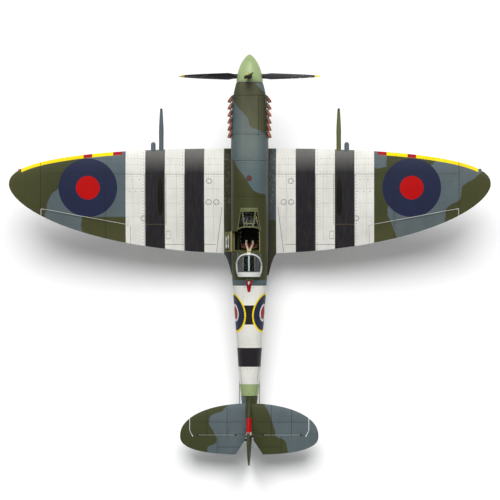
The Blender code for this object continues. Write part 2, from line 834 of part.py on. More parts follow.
def rod_slot(start, end):
    """A slot through the side of the rear fuselage, where a straight wire passes the wall."""
    room = ROD_RADIUS + HINGE_GAP
    sign = math.copysign(1, end.x)
    run = [start + (end - start) * step / ROD_SAMPLES for step in range(ROD_SAMPLES + 1)]
    in_wall = []
    for place in run:
        half = hull_half_width(place.y, place.z)
        if half - HULL_WALL - room < abs(place.x) < half + room:
            in_wall.append(place)
    inner = sign * (min(abs(place.x) for place in in_wall) - room)
    outer = sign * (max(abs(place.x) for place in in_wall) + HULL_WALL + room)
    heights = [place.z for place in in_wall]
    stations = [place.y for place in in_wall]
    low = (min(inner, outer), min(stations) - room, min(heights) - room)
    return box(low, (max(inner, outer), max(stations) + room, max(heights) + room))


def build_cowling():
    cowling = make_piece("engine_cowling", hull_skin(NOSE_Y, COWL_JOINT_Y), GREEN)
    thicken(cowling, HULL_WALL)
    sill = HATCH_SILL_Z
    reach = hull_size(COWL_JOINT_Y)[1] + HULL_WALL
    half = hull_size(COWL_JOINT_Y)[0] + HULL_WALL
    hole = box((-half, COWL_JOINT_Y - HULL_WALL, sill), (half, HATCH_FRONT_Y, reach))
    cut(cowling, make_cutter("hatch_hole", hole))
    hatch = make_piece("battery_hatch", hull_skin(NOSE_Y, COWL_JOINT_Y), GREEN)
    thicken(hatch, HULL_WALL)
    low = (-half, COWL_JOINT_Y + SEAT_GAP, sill + SEAT_GAP)
    keep(hatch, make_cutter("hatch_block", box(low, (half, HATCH_FRONT_Y - SEAT_GAP, reach))))


def build_tray():
    """The plywood crutch: a tray along the inside of the fuselage, with the motor's firewall at its front."""
    inset = -(HULL_WALL + SEAT_GAP)
    bottom = TRAY_TOP_Z - TRAY_THICKNESS
    half = hull_size(0.0)[0]
    board = box((-half, TRAY_BACK_Y, bottom), (half, FIREWALL_Y, TRAY_TOP_Z))
    tray = make_piece("equipment_tray", board, PLYWOOD)
    _, top, low, _ = hull_size(FIREWALL_Y)
    wall = box((-half, FIREWALL_Y - FIREWALL_THICKNESS, low), (half, FIREWALL_Y, top))
    weld(tray, make_cutter("firewall", wall))
    keep(tray, make_cutter("hull_inside", hull_solid(NOSE_Y, TAIL_JOINT_Y, inset)))


def build_intake():
    belly = hull_size(INTAKE_FRONT_Y)[2]
    depth = belly - INTAKE_DEPTH
    rings = []
    back_belly = hull_size(INTAKE_BACK_Y)[2]
    for y, bottom, half in (
        (INTAKE_FRONT_Y, depth, INTAKE_WIDTH / 2),
        (INTAKE_FRONT_Y - INTAKE_CHIN_SETBACK, depth - INTAKE_CHIN_DROP, INTAKE_WIDTH / 2),
        (INTAKE_BACK_Y, back_belly - INTAKE_TAIL_DEPTH, INTAKE_WIDTH / 3),
    ):
        top = hull_size(y)[2] + 2 * HULL_WALL
        corners = ((-half, top), (-half, bottom + INTAKE_CORNER), (-half + INTAKE_CORNER, bottom))
        ring = [Vector((x, y, z)) for x, z in corners]
        ring += [Vector((-x, y, z)) for x, z in reversed(corners)]
        rings.append(ring)
    intake = make_piece("carburettor_intake", loft(rings), GREY)
    mouth = box(
        (-INTAKE_WIDTH / 2 + INTAKE_WALL, INTAKE_FRONT_Y - INTAKE_MOUTH_DEPTH, depth + INTAKE_WALL),
        (INTAKE_WIDTH / 2 - INTAKE_WALL, INTAKE_FRONT_Y + CUT_PAST, belly - INTAKE_WALL),
    )
    cut(intake, make_cutter("intake_mouth", mouth))
    cut(intake, make_cutter("hull_for_intake", hull_solid(NOSE_Y, 0.0, SEAT_GAP)))


# Cockpit
def door_block(gap):
    """The block that the cockpit door is cut with: the left side of the cockpit, above the door's hinge."""
    y_back, y_front = OPENING_BACK_Y + gap, BOW_Y - gap
    low = (-2 * WING_ROOT_X, y_back, DOOR_BOTTOM_Z + gap)
    return box(low, (-OPENING_BACK_HALF + HULL_WALL, y_front, HOOD_RAIL_Z))


def build_door():
    """The door is shaped shut, and its hinge empty then drops it open beside the fuselage."""
    middle_y = (BOW_Y + OPENING_BACK_Y) / 2
    x = -max(hull_half_width(y, DOOR_BOTTOM_Z) for y in (BOW_Y, middle_y, OPENING_BACK_Y)) - SEAT_GAP
    hinge = make_empty("cockpit_door_hinge", (x, middle_y, DOOR_BOTTOM_Z), AIRFRAME)
    door = make_piece("cockpit_door", hull_skin(BOW_Y + HULL_WALL, OPENING_BACK_Y - HULL_WALL), GREEN)
    thicken(door, HULL_WALL)
    opening_side = box(
        (-OPENING_BACK_HALF, OPENING_BACK_Y, DOOR_BOTTOM_Z - HULL_WALL), (WING_ROOT_X, BOW_Y, HOOD_TOP_Z)
    )
    for step, shape in (("keep", door_block(SLIDE_GAP)), ("trim", opening_side)):
        block = make_cutter(f"door_{step}", shape, hinge)
        block.matrix_parent_inverse = Matrix.Translation(-hinge.location)
        combine(door, block, "INTERSECT" if step == "keep" else "DIFFERENCE")
    door.parent = hinge
    door.matrix_parent_inverse = Matrix.Translation(-hinge.location)
    hinge.rotation_euler.y = -DOOR_OPEN_ANGLE


def arch(y, half, foot, top, lean=0.0):
    """One arched section of the glazing, on its two feet, with its crown moved forward by the lean."""
    ring = []
    for step in range(ARCH_STEPS + 1):
        angle = math.pi * step / ARCH_STEPS
        side, lift = math.cos(angle), math.sin(angle)
        x = math.copysign(abs(side) ** (2 / ARCH_FULLNESS), side) * half
        rise = abs(lift) ** (2 / ARCH_FULLNESS)
        ring.append(Vector((x, y + lean * rise, foot + (top - foot) * rise)))
    return ring


def build_windscreen():
    foot = DOOR_BOTTOM_Z
    front_top = hull_top(SCREEN_FRONT_Y) + GLASS
    rings = []
    for share in SCREEN_SHARES:
        y = SCREEN_FRONT_Y + (BOW_Y - SCREEN_FRONT_Y) * share
        half = SCREEN_FRONT_HALF + (HOOD_HALF - SCREEN_FRONT_HALF) * share
        top = front_top + (HOOD_TOP_Z - front_top) * min(1.0, share * SCREEN_RISE)
        rings.append(arch(y, half, foot, top, BOW_LEAN * share))
    screen = make_piece("windscreen", loft(rings, closed=False), CLEAR)
    thicken(screen, GLASS)
    cut(screen, make_cutter("hull_for_screen", hull_solid(COWL_JOINT_Y, OPENING_BACK_Y, SEAT_GAP)))


def hood_rings(y_front, length):
    rings = []
    for share, bulge in ((0.0, 0.0), (0.25, 0.8), (0.5, 1.0), (0.75, 0.8), (1.0, 0.0)):
        grow = HOOD_BULGE * bulge
        rings.append(arch(y_front - length * share, HOOD_HALF + grow, HOOD_RAIL_Z, HOOD_TOP_Z + grow))
    return rings


def build_hood():
    pivot = (0, HOOD_FRONT_Y, HOOD_RAIL_Z)
    skin = loft(hood_rings(HOOD_FRONT_Y, HOOD_LENGTH), closed=False)
    hood = make_piece("canopy_hood", skin, CLEAR, pivot)
    thicken(hood, GLASS)


def build_rear_glass():
    front = HOOD_FRONT_Y - 2 * GLASS
    half = HOOD_HALF - GLASS - 2 * SLIDE_GAP - HOOD_BULGE
    top = HOOD_TOP_Z - GLASS - 2 * SLIDE_GAP
    low = hull_top(REAR_GLASS_BACK_Y) + GLASS
    rings = []
    for share in SCREEN_SHARES:
        y = front + (REAR_GLASS_BACK_Y - front) * share
        narrowed = half + (REAR_GLASS_BACK_HALF - half) * share
        rings.append(arch(y, narrowed, DOOR_BOTTOM_Z, top + (low - top) * share**REAR_GLASS_FALL))
    glass = make_piece("rear_glazing", loft(rings, closed=False), CLEAR)
    thicken(glass, GLASS)
    cut(glass, make_cutter("hull_for_glass", hull_solid(BOW_Y, TAIL_JOINT_Y, SEAT_GAP)))


def build_tub():
    floor = TRAY_TOP_Z + SEAT_GAP
    outer = box((-TUB_HALF, TUB_BACK_Y, floor), (TUB_HALF, TUB_FRONT_Y, TUB_RIM_Z))
    tub = make_piece("cockpit_tub", outer, GREEN)
    inner = box(
        (-TUB_HALF + TUB_WALL, TUB_BACK_Y + TUB_WALL, floor + TUB_WALL),
        (TUB_HALF - TUB_WALL, TUB_FRONT_Y - TUB_WALL, HOOD_TOP_Z),
    )
    cut(tub, make_cutter("tub_inside", inner))
    cut(tub, make_cutter("door_clearance", door_block(-SLIDE_GAP)))
    return floor + TUB_WALL


def build_cockpit_fittings(floor):
    tilt = Matrix.Rotation(-PANEL_TILT, 4, "X")
    foot = TUB_RIM_Z - PANEL_HEIGHT
    panel_frame = Matrix.Translation((0, PANEL_Y, foot)) @ tilt
    panel_low = (-PANEL_WIDTH / 2, 0, 0)
    panel_high = (PANEL_WIDTH / 2, SEAT_SHEET / 2, PANEL_HEIGHT)
    panel = make_piece("instrument_panel", box(panel_low, panel_high, panel_frame), BLACK)
    ledge_top = foot + SEAT_SHEET / 2
    ledge_half = TUB_HALF - TUB_WALL - SEAT_GAP
    ledge = box((-ledge_half, PANEL_Y, foot), (ledge_half, PANEL_Y + SEAT_SHEET, ledge_top))
    weld(panel, make_cutter("panel_ledge", ledge))

    pan_low = (-SEAT_WIDTH / 2, SEAT_BACK_Y, SEAT_PAN_Z)
    pan_high = (SEAT_WIDTH / 2, SEAT_FRONT_Y, SEAT_PAN_Z + SEAT_SHEET)
    seat = make_piece("pilot_seat", box(pan_low, pan_high), PADDING)
    back_frame = Matrix.Translation((0, SEAT_BACK_Y, SEAT_PAN_Z)) @ Matrix.Rotation(SEAT_TILT, 4, "X")
    back = box((-SEAT_WIDTH / 2, 0, 0), (SEAT_WIDTH / 2, SEAT_SHEET, SEAT_BACK_HEIGHT), back_frame)
    weld(seat, make_cutter("seat_back", back))
    for side in (-1, 1):
        x, y = side * SEAT_WIDTH / 3, (SEAT_BACK_Y + SEAT_FRONT_Y) / 2
        post = rod((x, y, floor + SEAT_GAP), (x, y, SEAT_PAN_Z + SEAT_SHEET / 2), SEAT_SHEET)
        weld(seat, make_cutter(f"seat_post_{side}", post))

    base = Vector((0, STICK_Y, floor + SEAT_GAP))
    top = base + Vector((0, 0, STICK_HEIGHT))
    stick = make_piece("control_stick", rod(base, top, STICK_RADIUS), BLACK)
    grip_frame = Matrix.Translation(top)
    ring = [
        (GRIP_TUBE * math.cos(angle), GRIP_RADIUS + GRIP_TUBE * math.sin(angle))
        for angle in (math.pi * step / 4 for step in range(8))
    ]
    grip = turned(ring, grip_frame, sides=16, closed=True)
    bmesh.ops.translate(grip, verts=grip.verts, vec=(0, 0, GRIP_RADIUS))
    weld(stick, make_cutter("stick_grip", grip))


# Wing and its control surfaces
def spar_height():
    """The spar tube runs straight across, just under the equipment tray."""
    return TRAY_TOP_Z - TRAY_THICKNESS - SEAT_GAP - SPAR_RADIUS


def spar_end(side, extra=0.0):
    return Vector((side * (SPAR_HALF_LENGTH + extra), SPAR_Y, spar_height()))


def chord_place(x, share):
    front, back = wing_base_edges(x)
    return front - share * (front - back)


def aileron_ends():
    """The two ends of an aileron's hinge line, in plan."""
    ends = []
    for out, back_share in (AILERON_INNER_SHARES, AILERON_OUTER_SHARES):
        x = WING_HALF_SPAN * out
        ends.append((x, chord_place(x, back_share)))
    return ends


def aileron_hinge(side):
    """Inner and outer ends of an aileron's hinge line, with the half thickness of the wing at each."""
    ends = []
    for x, y in aileron_ends():
        lower, upper = wing_heights(x, y)
        ends.append((Vector((side * x, y, (lower + upper) / 2)), (upper - lower) / 2))
    return ends


def aileron_block(side, gap):
    """The block that an aileron is cut with: the wing behind the hinge line, between its two ends."""
    (inner_x, inner_y), (outer_x, outer_y) = aileron_ends()
    slope = (outer_y - inner_y) / (outer_x - inner_x)
    behind = 2 * WING_BACK_DEPTH
    corners = (
        (side * (inner_x + gap), inner_y + slope * gap - gap),
        (side * (outer_x - gap), outer_y - slope * gap - gap),
        (side * (outer_x - gap), -behind),
        (side * (inner_x + gap), -behind),
    )
    return prism(corners, -WING_BACK_DEPTH, WING_BACK_DEPTH)


def aileron_nose(side, gap):
    """The round front of an aileron, which turns on the hinge line."""
    (inner, inner_half), (outer, outer_half) = aileron_hinge(side)
    along = (outer - inner).normalized()
    end_gap = HINGE_GAP - gap
    return rod(
        inner + along * end_gap,
        outer - along * end_gap,
        inner_half * NOSE_SHARE + gap,
        outer_half * NOSE_SHARE + gap,
        sides=NOSE_SIDES,
    )


def aileron_link_frame(side):
    """Axes at the aileron's horn: X along the hinge line towards +X, Y forwards, Z up."""
    (inner, _), (outer, _) = aileron_hinge(side)
    along = (outer - inner).normalized() * side
    up = along.cross(Vector((0, 1, 0))).normalized()
    forward = up.cross(along)
    return frame_from(along, forward, up, inner + (outer - inner) * AILERON_LINK_SHARE)


def aileron_servo_frame(side):
    """Axes at the servo's arm, which turns round Z, along the hinge line, and reaches down its X."""
    link = aileron_link_frame(side)
    across, forward, up = (Vector(link.col[index][:3]) for index in range(3))
    place = link @ Vector((-ARM_THICKNESS / 2, AILERON_ROD_LENGTH, 0))
    return frame_from(-up, forward, across, place)


def build_ailerons(side_name, side):
    (inner, _), (outer, _) = aileron_hinge(side)
    link = aileron_link_frame(side)
    aileron = make_piece(f"aileron_{side_name}", wing_solid(side), GREEN, (inner + outer) / 2)
    keep(aileron, make_cutter(f"aileron_block_{side_name}", aileron_block(side, HINGE_GAP)))
    weld(aileron, make_cutter(f"aileron_nose_{side_name}", aileron_nose(side, 0.0)))
    horn_low = (-HORN_THICKNESS / 2, -HORN_WIDTH / 2, -AILERON_HORN_REACH - ROD_EYE_RADIUS)
    horn = box(horn_low, (HORN_THICKNESS / 2, HORN_WIDTH / 2, 0), link)
    weld(aileron, make_cutter(f"aileron_horn_{side_name}", horn))

    servo_frame = aileron_servo_frame(side)
    servo_body(f"aileron_servo_{side_name}", servo_frame)
    servo_arm(f"aileron_arm_{side_name}", servo_frame, AILERON_HORN_REACH)
    across = link.to_3x3() @ Vector((1, 0, 0))
    rod_x = ARM_THICKNESS / 2 + SEAT_GAP + ROD_EYE_THICKNESS / 2
    start = link @ Vector((rod_x, AILERON_ROD_LENGTH, -AILERON_HORN_REACH))
    end = link @ Vector((rod_x, 0, -AILERON_HORN_REACH))
    pushrod(f"aileron_rod_{side_name}", start, across, end, across)


def horn_notch(side):
    """Room in the wing's lower edge for the aileron's horn to swing."""
    half = HORN_THICKNESS / 2 + HINGE_GAP
    run = AILERON_HORN_REACH * HORN_SWING
    return box((-half, -run, -2 * AILERON_HORN_REACH), (half, run, 0), aileron_link_frame(side))


def servo_pocket(side):
    """The hollow in the wing's underside for an aileron servo, with room for its arm to swing."""
    frame = aileron_servo_frame(side)
    width, length, height = SERVO_SIZE
    gap = SEAT_GAP
    top = -SERVO_BOSS_HEIGHT - gap
    body = box(
        (-width / 2 - gap, SERVO_SHAFT_PLACE - length - gap, top - height - gap),
        (CUT_PAST, SERVO_SHAFT_PLACE + gap, top),
        frame,
    )
    swing = AILERON_HORN_REACH * HORN_SWING + ARM_HUB_RADIUS
    room = box(
        (-ARM_HUB_RADIUS - HINGE_GAP, -swing, top - gap),
        (CUT_PAST, swing, ARM_THICKNESS + ROD_EYE_THICKNESS + 2 * HINGE_GAP),
        frame,
    )
    return body, room


def flap_front_y(x):
    """The flap's hinge line, straight between its two ends."""
    inner_y = chord_place(FLAP_INNER_X, FLAP_FRONT_SHARE)
    outer_y = chord_place(FLAP_OUTER_X, FLAP_FRONT_SHARE)
    return inner_y + (outer_y - inner_y) * (x - FLAP_INNER_X) / (FLAP_OUTER_X - FLAP_INNER_X)


def flap_solid(side, gap, below):
    """A plate that follows the wing's lower skin, from its hinge line to just short of the trailing edge."""
    rings = []
    for x in spaced(FLAP_INNER_X - gap, FLAP_OUTER_X + gap, FLAP_STEP):
        front, back = flap_front_y(x) + gap, chord_place(x, FLAP_BACK_SHARE) - gap
        run = [front + (back - front) * share for share in (0.0, 0.5, 1.0)]
        low = [Vector((side * x, y, wing_heights(x, y)[0] - below)) for y in run]
        high = [Vector((side * x, y, wing_heights(x, y)[0] + FLAP_THICKNESS + gap)) for y in reversed(run)]
        rings.append(low + high)
    return loft(rings)


def flap_hinge(side):
    ends = []
    for x in (FLAP_INNER_X, FLAP_OUTER_X):
        y = flap_front_y(x)
        ends.append(Vector((side * x, y, wing_heights(x, y)[0])))
    return ends


def build_flap(side_name, side):
    inner, outer = flap_hinge(side)
    make_piece(f"flap_{side_name}", flap_solid(side, 0.0, 0.0), GREY, (inner + outer) / 2)


def build_wing(side_name, side):
    wing = make_piece(f"wing_{side_name}", wing_solid(side), GREEN)
    weld(wing, make_cutter(f"gun_blister_{side_name}", gun_blister(side)))
    body, room = servo_pocket(side)
    pocket, slot, well = gear_hollows(side)
    spar_ends = spar_end(side, SEAT_GAP), (0, SPAR_Y, spar_height())
    spar_hole = rod(*spar_ends, SPAR_RADIUS + SEAT_GAP, sides=NOSE_SIDES)
    for label, shape in (
        ("hull", hull_solid(NOSE_Y, TAIL_END_Y, SEAT_GAP)),
        ("aileron_bay", aileron_block(side, 0.0)),
        ("aileron_cove", aileron_nose(side, HINGE_GAP)),
        ("flap_recess", flap_solid(side, SLIDE_GAP, WELL_GAP)),
        ("servo_pocket", body),
        ("servo_arm_room", room),
        ("retract_pocket", pocket),
        ("leg_slot", slot),
        ("wheel_well", well),
        ("spar_hole", spar_hole),
        ("horn_notch", horn_notch(side)),
    ):
        cut(wing, make_cutter(f"{label}_{side_name}", shape))
    for label, shape in cannon_shapes(side, SEAT_GAP):
        if label != "barrel":
            cut(wing, make_cutter(f"{label}_socket_{side_name}", shape))


def gun_blister(side):
    z = wing_heights(BLISTER_X, BLISTER_Y)[1] - BLISTER_SIZE[2] / 6
    return ball((side * BLISTER_X, BLISTER_Y, z), BLISTER_SIZE)


def build_spar():
    length = 2 * SPAR_HALF_LENGTH
    frame = Matrix.Translation(spar_end(-1)) @ Matrix.Rotation(-math.pi / 2, 4, "Z")
    profile = ((0, SPAR_BORE), (0, SPAR_RADIUS), (length, SPAR_RADIUS), (length, SPAR_BORE))
    make_piece("wing_spar_tube", turned(profile, frame, sides=16, closed=True), CARBON)


def cannon_shapes(side, gap):
    """A cannon's sleeve, barrel and blanked stub, with the tie that joins them inside the wing's nose."""
    front = wing_edges(CANNON_X)[0]
    x, z = side * CANNON_X, wing_middle(CANNON_X, front)
    stub_x = x + side * STUB_OFFSET_X
    stub_z = wing_middle(abs(stub_x), wing_edges(stub_x)[0])
    inside = front - CANNON_SEAT_DEPTH
    sleeve_end = front + CANNON_SLEEVE_LENGTH
    radius = CANNON_ROOT_RADIUS + gap
    back = inside - gap
    barrel_start = sleeve_end - WELD_DEPTH
    muzzle = (x, CANNON_MUZZLE_Y, z)
    tie_y = inside + CANNON_ROOT_RADIUS
    return (
        ("sleeve", rod((x, back, z), (x, sleeve_end, z), radius, CANNON_SLEEVE_RADIUS + gap)),
        ("barrel", rod((x, barrel_start, z), muzzle, CANNON_BARREL_RADIUS, CANNON_MUZZLE_RADIUS)),
        ("stub", rod((stub_x, back, stub_z), (stub_x, STUB_END_Y, stub_z), radius)),
        ("tie", rod((x, tie_y, z), (stub_x, tie_y, stub_z), CANNON_TIE_RADIUS + gap)),
    )


def build_cannon(side_name, side):
    shapes = cannon_shapes(side, 0.0)
    cannon = make_piece(f"cannon_{side_name}", shapes[0][1], ALLOY)
    for label, shape in shapes[1:]:
        weld(cannon, make_cutter(f"cannon_{label}_{side_name}", shape))


def build_radiator(side_name, side):
    low_x, high_x = RADIATOR_X - RADIATOR_WIDTH / 2, RADIATOR_X + RADIATOR_WIDTH / 2
    middle_y = (RADIATOR_FRONT_Y + RADIATOR_BACK_Y) / 2
    skin = wing_heights(RADIATOR_X, middle_y)[0]
    bottom = skin - RADIATOR_DEPTH
    roof = skin + RADIATOR_DEPTH
    lip = RADIATOR_LIP
    corners = (
        (RADIATOR_FRONT_Y, roof),
        (RADIATOR_FRONT_Y, bottom + lip / 2),
        (RADIATOR_FRONT_Y - lip, bottom),
        (RADIATOR_BACK_Y + 2 * lip, bottom),
        (RADIATOR_BACK_Y, bottom + lip),
        (RADIATOR_BACK_Y, roof),
    )
    ends = sorted((side * low_x, side * high_x))
    radiator = make_piece(f"radiator_{side_name}", prism(corners, *ends, upright=True), GREY)
    duct = box(
        (ends[0] + RADIATOR_WALL, RADIATOR_BACK_Y - CUT_PAST, bottom + lip + RADIATOR_WALL),
        (ends[1] - RADIATOR_WALL, RADIATOR_FRONT_Y + CUT_PAST, roof + CUT_PAST),
    )
    cut(radiator, make_cutter(f"radiator_duct_{side_name}", duct))
    cut(radiator, make_cutter(f"wing_for_radiator_{side_name}", wing_solid(side, SEAT_GAP)))


def build_pitot():
    x = -PITOT_X
    skin = wing_heights(PITOT_X, PITOT_Y)[0] - SEAT_GAP
    low = skin - PITOT_DROP
    stem = rod((x, PITOT_Y, skin), (x, PITOT_Y, low - PITOT_RADIUS), PITOT_STEM_RADIUS)
    pitot = make_piece("pitot_tube", stem, STEEL)
    head = rod((x, PITOT_Y - PITOT_RADIUS, low), (x, PITOT_Y + PITOT_LENGTH, low), PITOT_RADIUS)
    weld(pitot, make_cutter("pitot_head", head))


# Tail unit
def elevator_block(side, gap):
    """The outline in plan of one elevator half, with the horn balance that takes in the tip."""
    back = TAIL_TIP_Y - 2 * TAIL_BACK_DEPTH
    front = TAIL_TIP_Y + TAIL_FRONT_DEPTH
    hinge = ELEVATOR_Y - gap
    root_back = TAIL_TIP_Y - TAIL_BACK_DEPTH
    step_x = HORN_BALANCE_X - HORN_BALANCE_STEP / 2
    corners = (
        (ELEVATOR_ROOT_X, hinge),
        (step_x + gap, hinge),
        (HORN_BALANCE_X + gap, ELEVATOR_Y + HORN_BALANCE_STEP),
        (HORN_BALANCE_X + gap, front),
        (2 * TAIL_HALF_SPAN, front),
        (2 * TAIL_HALF_SPAN, back),
        (ELEVATOR_CUT_X, back),
        (ELEVATOR_CUT_X, root_back),
        (ELEVATOR_ROOT_X, hinge - HINGE_GAP - FIN_ROOT_WIDTH / 2),
    )
    corners = [(side * x, y) for x, y in corners]
    return prism(corners, -2 * TAIL_HALF_SPAN, 2 * TAIL_HALF_SPAN)


def elevator_nose(side, gap):
    inner_x, outer_x = ELEVATOR_ROOT_X, HORN_BALANCE_X - HORN_BALANCE_STEP / 2
    ends = (inner_x, outer_x)
    inner_half, outer_half = (tail_half_thickness(x, ELEVATOR_Y) * NOSE_SHARE + gap for x in ends)
    start = (side * (inner_x - gap), ELEVATOR_Y, TAILPLANE_Z)
    end = (side * (outer_x + gap), ELEVATOR_Y, TAILPLANE_Z)
    return rod(start, end, inner_half, outer_half, sides=NOSE_SIDES)


def build_tailplane():
    tailplane = make_piece("tailplane", tail_solid(), GREEN)
    back = TAIL_TIP_Y - 2 * TAIL_BACK_DEPTH
    half = ELEVATOR_CUT_X + HINGE_GAP
    front = ELEVATOR_Y + TORQUE_TUBE_RADIUS + HINGE_GAP
    centre = box((-half, back, TAILPLANE_Z - CUT_PAST), (half, front, TAILPLANE_Z + CUT_PAST))
    cut(tailplane, make_cutter("tail_centre", centre))
    notch_half = HORN_THICKNESS / 2 + HINGE_GAP
    notch_low = (ELEVATOR_HORN_X - notch_half, ELEVATOR_Y, TAILPLANE_Z - ELEVATOR_HORN_REACH)
    notch_high = (ELEVATOR_HORN_X + notch_half, ELEVATOR_Y + HORN_WIDTH + HINGE_GAP, TAILPLANE_Z)
    cut(tailplane, make_cutter("elevator_horn_notch", box(notch_low, notch_high)))
    for name, side in SIDES:
        cut(tailplane, make_cutter(f"elevator_bay_{name}", elevator_block(side, 0.0)))
        cut(tailplane, make_cutter(f"elevator_cove_{name}", elevator_nose(side, HINGE_GAP)))


def build_elevator():
    """Both elevator halves on one torque tube, so that they move together."""
    centre = Vector((0, ELEVATOR_Y, TAILPLANE_Z))
    reach = Vector((ELEVATOR_CUT_X, 0, 0))
    tube = rod(centre - reach, centre + reach, TORQUE_TUBE_RADIUS)
    elevator = make_piece("elevator", tube, GREEN, centre)
    for name, side in SIDES:
        half = make_cutter(f"elevator_half_{name}", tail_solid())
        keep(half, make_cutter(f"elevator_block_{name}", elevator_block(side, HINGE_GAP)))
        weld(elevator, half, make_cutter(f"elevator_nose_{name}", elevator_nose(side, 0.0)))
    x, reach = ELEVATOR_HORN_X, ELEVATOR_HORN_REACH
    low = (x - HORN_THICKNESS / 2, ELEVATOR_Y - HORN_WIDTH / 2, TAILPLANE_Z - reach - ROD_EYE_RADIUS)
    horn = box(low, (x + HORN_THICKNESS / 2, ELEVATOR_Y + HORN_WIDTH / 2, TAILPLANE_Z))
    weld(elevator, make_cutter("elevator_horn", horn))


def rudder_block(gap, lip=0.0):
    """The outline from the side that the rudder keeps; the lip moves its hinge side forwards."""
    top = FIN_ROWS[-1][0] + CUT_PAST
    bottom = FIN_ROWS[0][0] - CUT_PAST
    front, back = FIN_ROWS[0][1], RUDDER_Y - 2 * TAIL_FRONT_DEPTH
    corners = (
        (RUDDER_Y + lip - gap, bottom),
        (RUDDER_Y + lip - gap, RUDDER_BALANCE_Z + gap),
        (front, RUDDER_BALANCE_Z + gap),
        (front, top),
        (back, top),
        (back, bottom),
    )
    return prism(corners, -FIN_ROOT_WIDTH, FIN_ROOT_WIDTH, upright=True)


def rudder_nose(gap):
    low, high = FIN_ROWS[0][0], RUDDER_BALANCE_Z
    low_half, high_half = (fin_half_width(RUDDER_Y, z) * NOSE_SHARE + gap for z in (low, high))
    return rod((0, RUDDER_Y, low - gap), (0, RUDDER_Y, high + gap), low_half, high_half, sides=NOSE_SIDES)


def build_fin():
    """The end of the fuselage and the fin in one piece, slotted for the tailplane."""
    fin = make_piece("fin", hull_solid(TAIL_JOINT_Y - SEAT_GAP, TAIL_END_Y, 0.0), GREEN)
    weld(fin, make_cutter("fin_blade", fin_solid(TAILPLANE_Z - FIN_ROOT_WIDTH)))
    cut(fin, make_cutter("rudder_bay", rudder_block(0.0, 2 * HINGE_GAP)))
    cut(fin, make_cutter("rudder_cove", rudder_nose(HINGE_GAP)))
    cut(fin, make_cutter("tailplane_slot", tail_solid(SEAT_GAP)))
    tube_room = TORQUE_TUBE_RADIUS + SLIDE_GAP
    half = Vector((ELEVATOR_CUT_X, 0, 0))
    centre = Vector((0, ELEVATOR_Y, TAILPLANE_Z))
    cut(fin, make_cutter("torque_tube_hole", rod(centre - half, centre + half, tube_room)))
    notch_half = HORN_THICKNESS / 2 + HINGE_GAP
    notch_low = (-RUDDER_HORN_REACH, RUDDER_Y, RUDDER_HORN_Z - notch_half)
    notch_high = (0, RUDDER_Y + RUDDER_HORN_REACH * HORN_SWING, RUDDER_HORN_Z + notch_half)
    cut(fin, make_cutter("rudder_horn_notch", box(notch_low, notch_high)))
    post_top = tail_post_top()
    socket = rod(
        (0, TAIL_WHEEL_Y, TAIL_WHEEL_AXLE_Z),
        (0, TAIL_WHEEL_Y, post_top + SEAT_GAP),
        TAIL_POST_RADIUS + SEAT_GAP,
    )
    cut(fin, make_cutter("tail_post_socket", socket))
    for name, start, end in (("elevator", *elevator_rod_ends()), ("rudder", *rudder_rod_ends())):
        cut(fin, make_cutter(f"{name}_rod_slot_fin", rod_slot(start, end)))


def build_rudder():
    pivot = (0, RUDDER_Y, TAILPLANE_Z)
    rudder = make_piece("rudder", fin_solid(FIN_ROWS[0][0]), GREEN, pivot)
    keep(rudder, make_cutter("rudder_block", rudder_block(HINGE_GAP)))
    weld(rudder, make_cutter("rudder_nose", rudder_nose(0.0)))
    end = -RUDDER_HORN_REACH - ROD_EYE_RADIUS
    low = (end, RUDDER_Y - HORN_WIDTH / 2, RUDDER_HORN_Z - HORN_THICKNESS / 2)
    high = (0, RUDDER_Y + HORN_WIDTH / 2, RUDDER_HORN_Z + HORN_THICKNESS / 2)
    weld(rudder, make_cutter("rudder_horn", box(low, high)))


def fuselage_servo_frame(side):
    width, length, height = SERVO_SIZE
    top = TRAY_TOP_Z + SEAT_GAP + height + SERVO_BOSS_HEIGHT + SEAT_GAP
    across = Vector((side, 0, 0))
    along = Vector((0, side, 0))
    return frame_from(across, along, Vector((0, 0, 1)), Vector((side * SERVO_X, SERVO_Y, top)))


def rod_start(side, reach):
    frame = fuselage_servo_frame(side)
    return frame @ Vector((reach, 0, ARM_THICKNESS + LINK_GAP + ROD_EYE_THICKNESS / 2))


def elevator_rod_ends():
    x = ELEVATOR_HORN_X + HORN_THICKNESS / 2 + SEAT_GAP + ROD_EYE_THICKNESS / 2
    return rod_start(1, ELEVATOR_ARM_REACH), Vector((x, ELEVATOR_Y, TAILPLANE_Z - ELEVATOR_HORN_REACH))


def rudder_rod_ends():
    z = RUDDER_HORN_Z + HORN_THICKNESS / 2 + LINK_GAP + ROD_EYE_THICKNESS / 2
    return rod_start(-1, RUDDER_ARM_REACH), Vector((-RUDDER_HORN_REACH, RUDDER_Y, z))


def build_fuselage_servos():
    for name, side, reach in (("elevator", 1, ELEVATOR_ARM_REACH), ("rudder", -1, RUDDER_ARM_REACH)):
        frame = fuselage_servo_frame(side)
        servo_body(f"{name}_servo", frame)
        servo_arm(f"{name}_arm", frame, reach)
    start, end = elevator_rod_ends()
    pushrod("elevator_rod", start, (0, 0, 1), end, (1, 0, 0))
    start, end = rudder_rod_ends()
    pushrod("rudder_rod", start, (0, 0, 1), end, (0, 0, 1))


# Power unit
def spinner_radius(y, radius, tip_y):
    share = min(1.0, max(0.0, (tip_y - y) / (SPINNER_TIP_Y - SPINNER_BASE_Y)))
    return radius * (1 - (1 - share) ** 1.75) ** 0.66


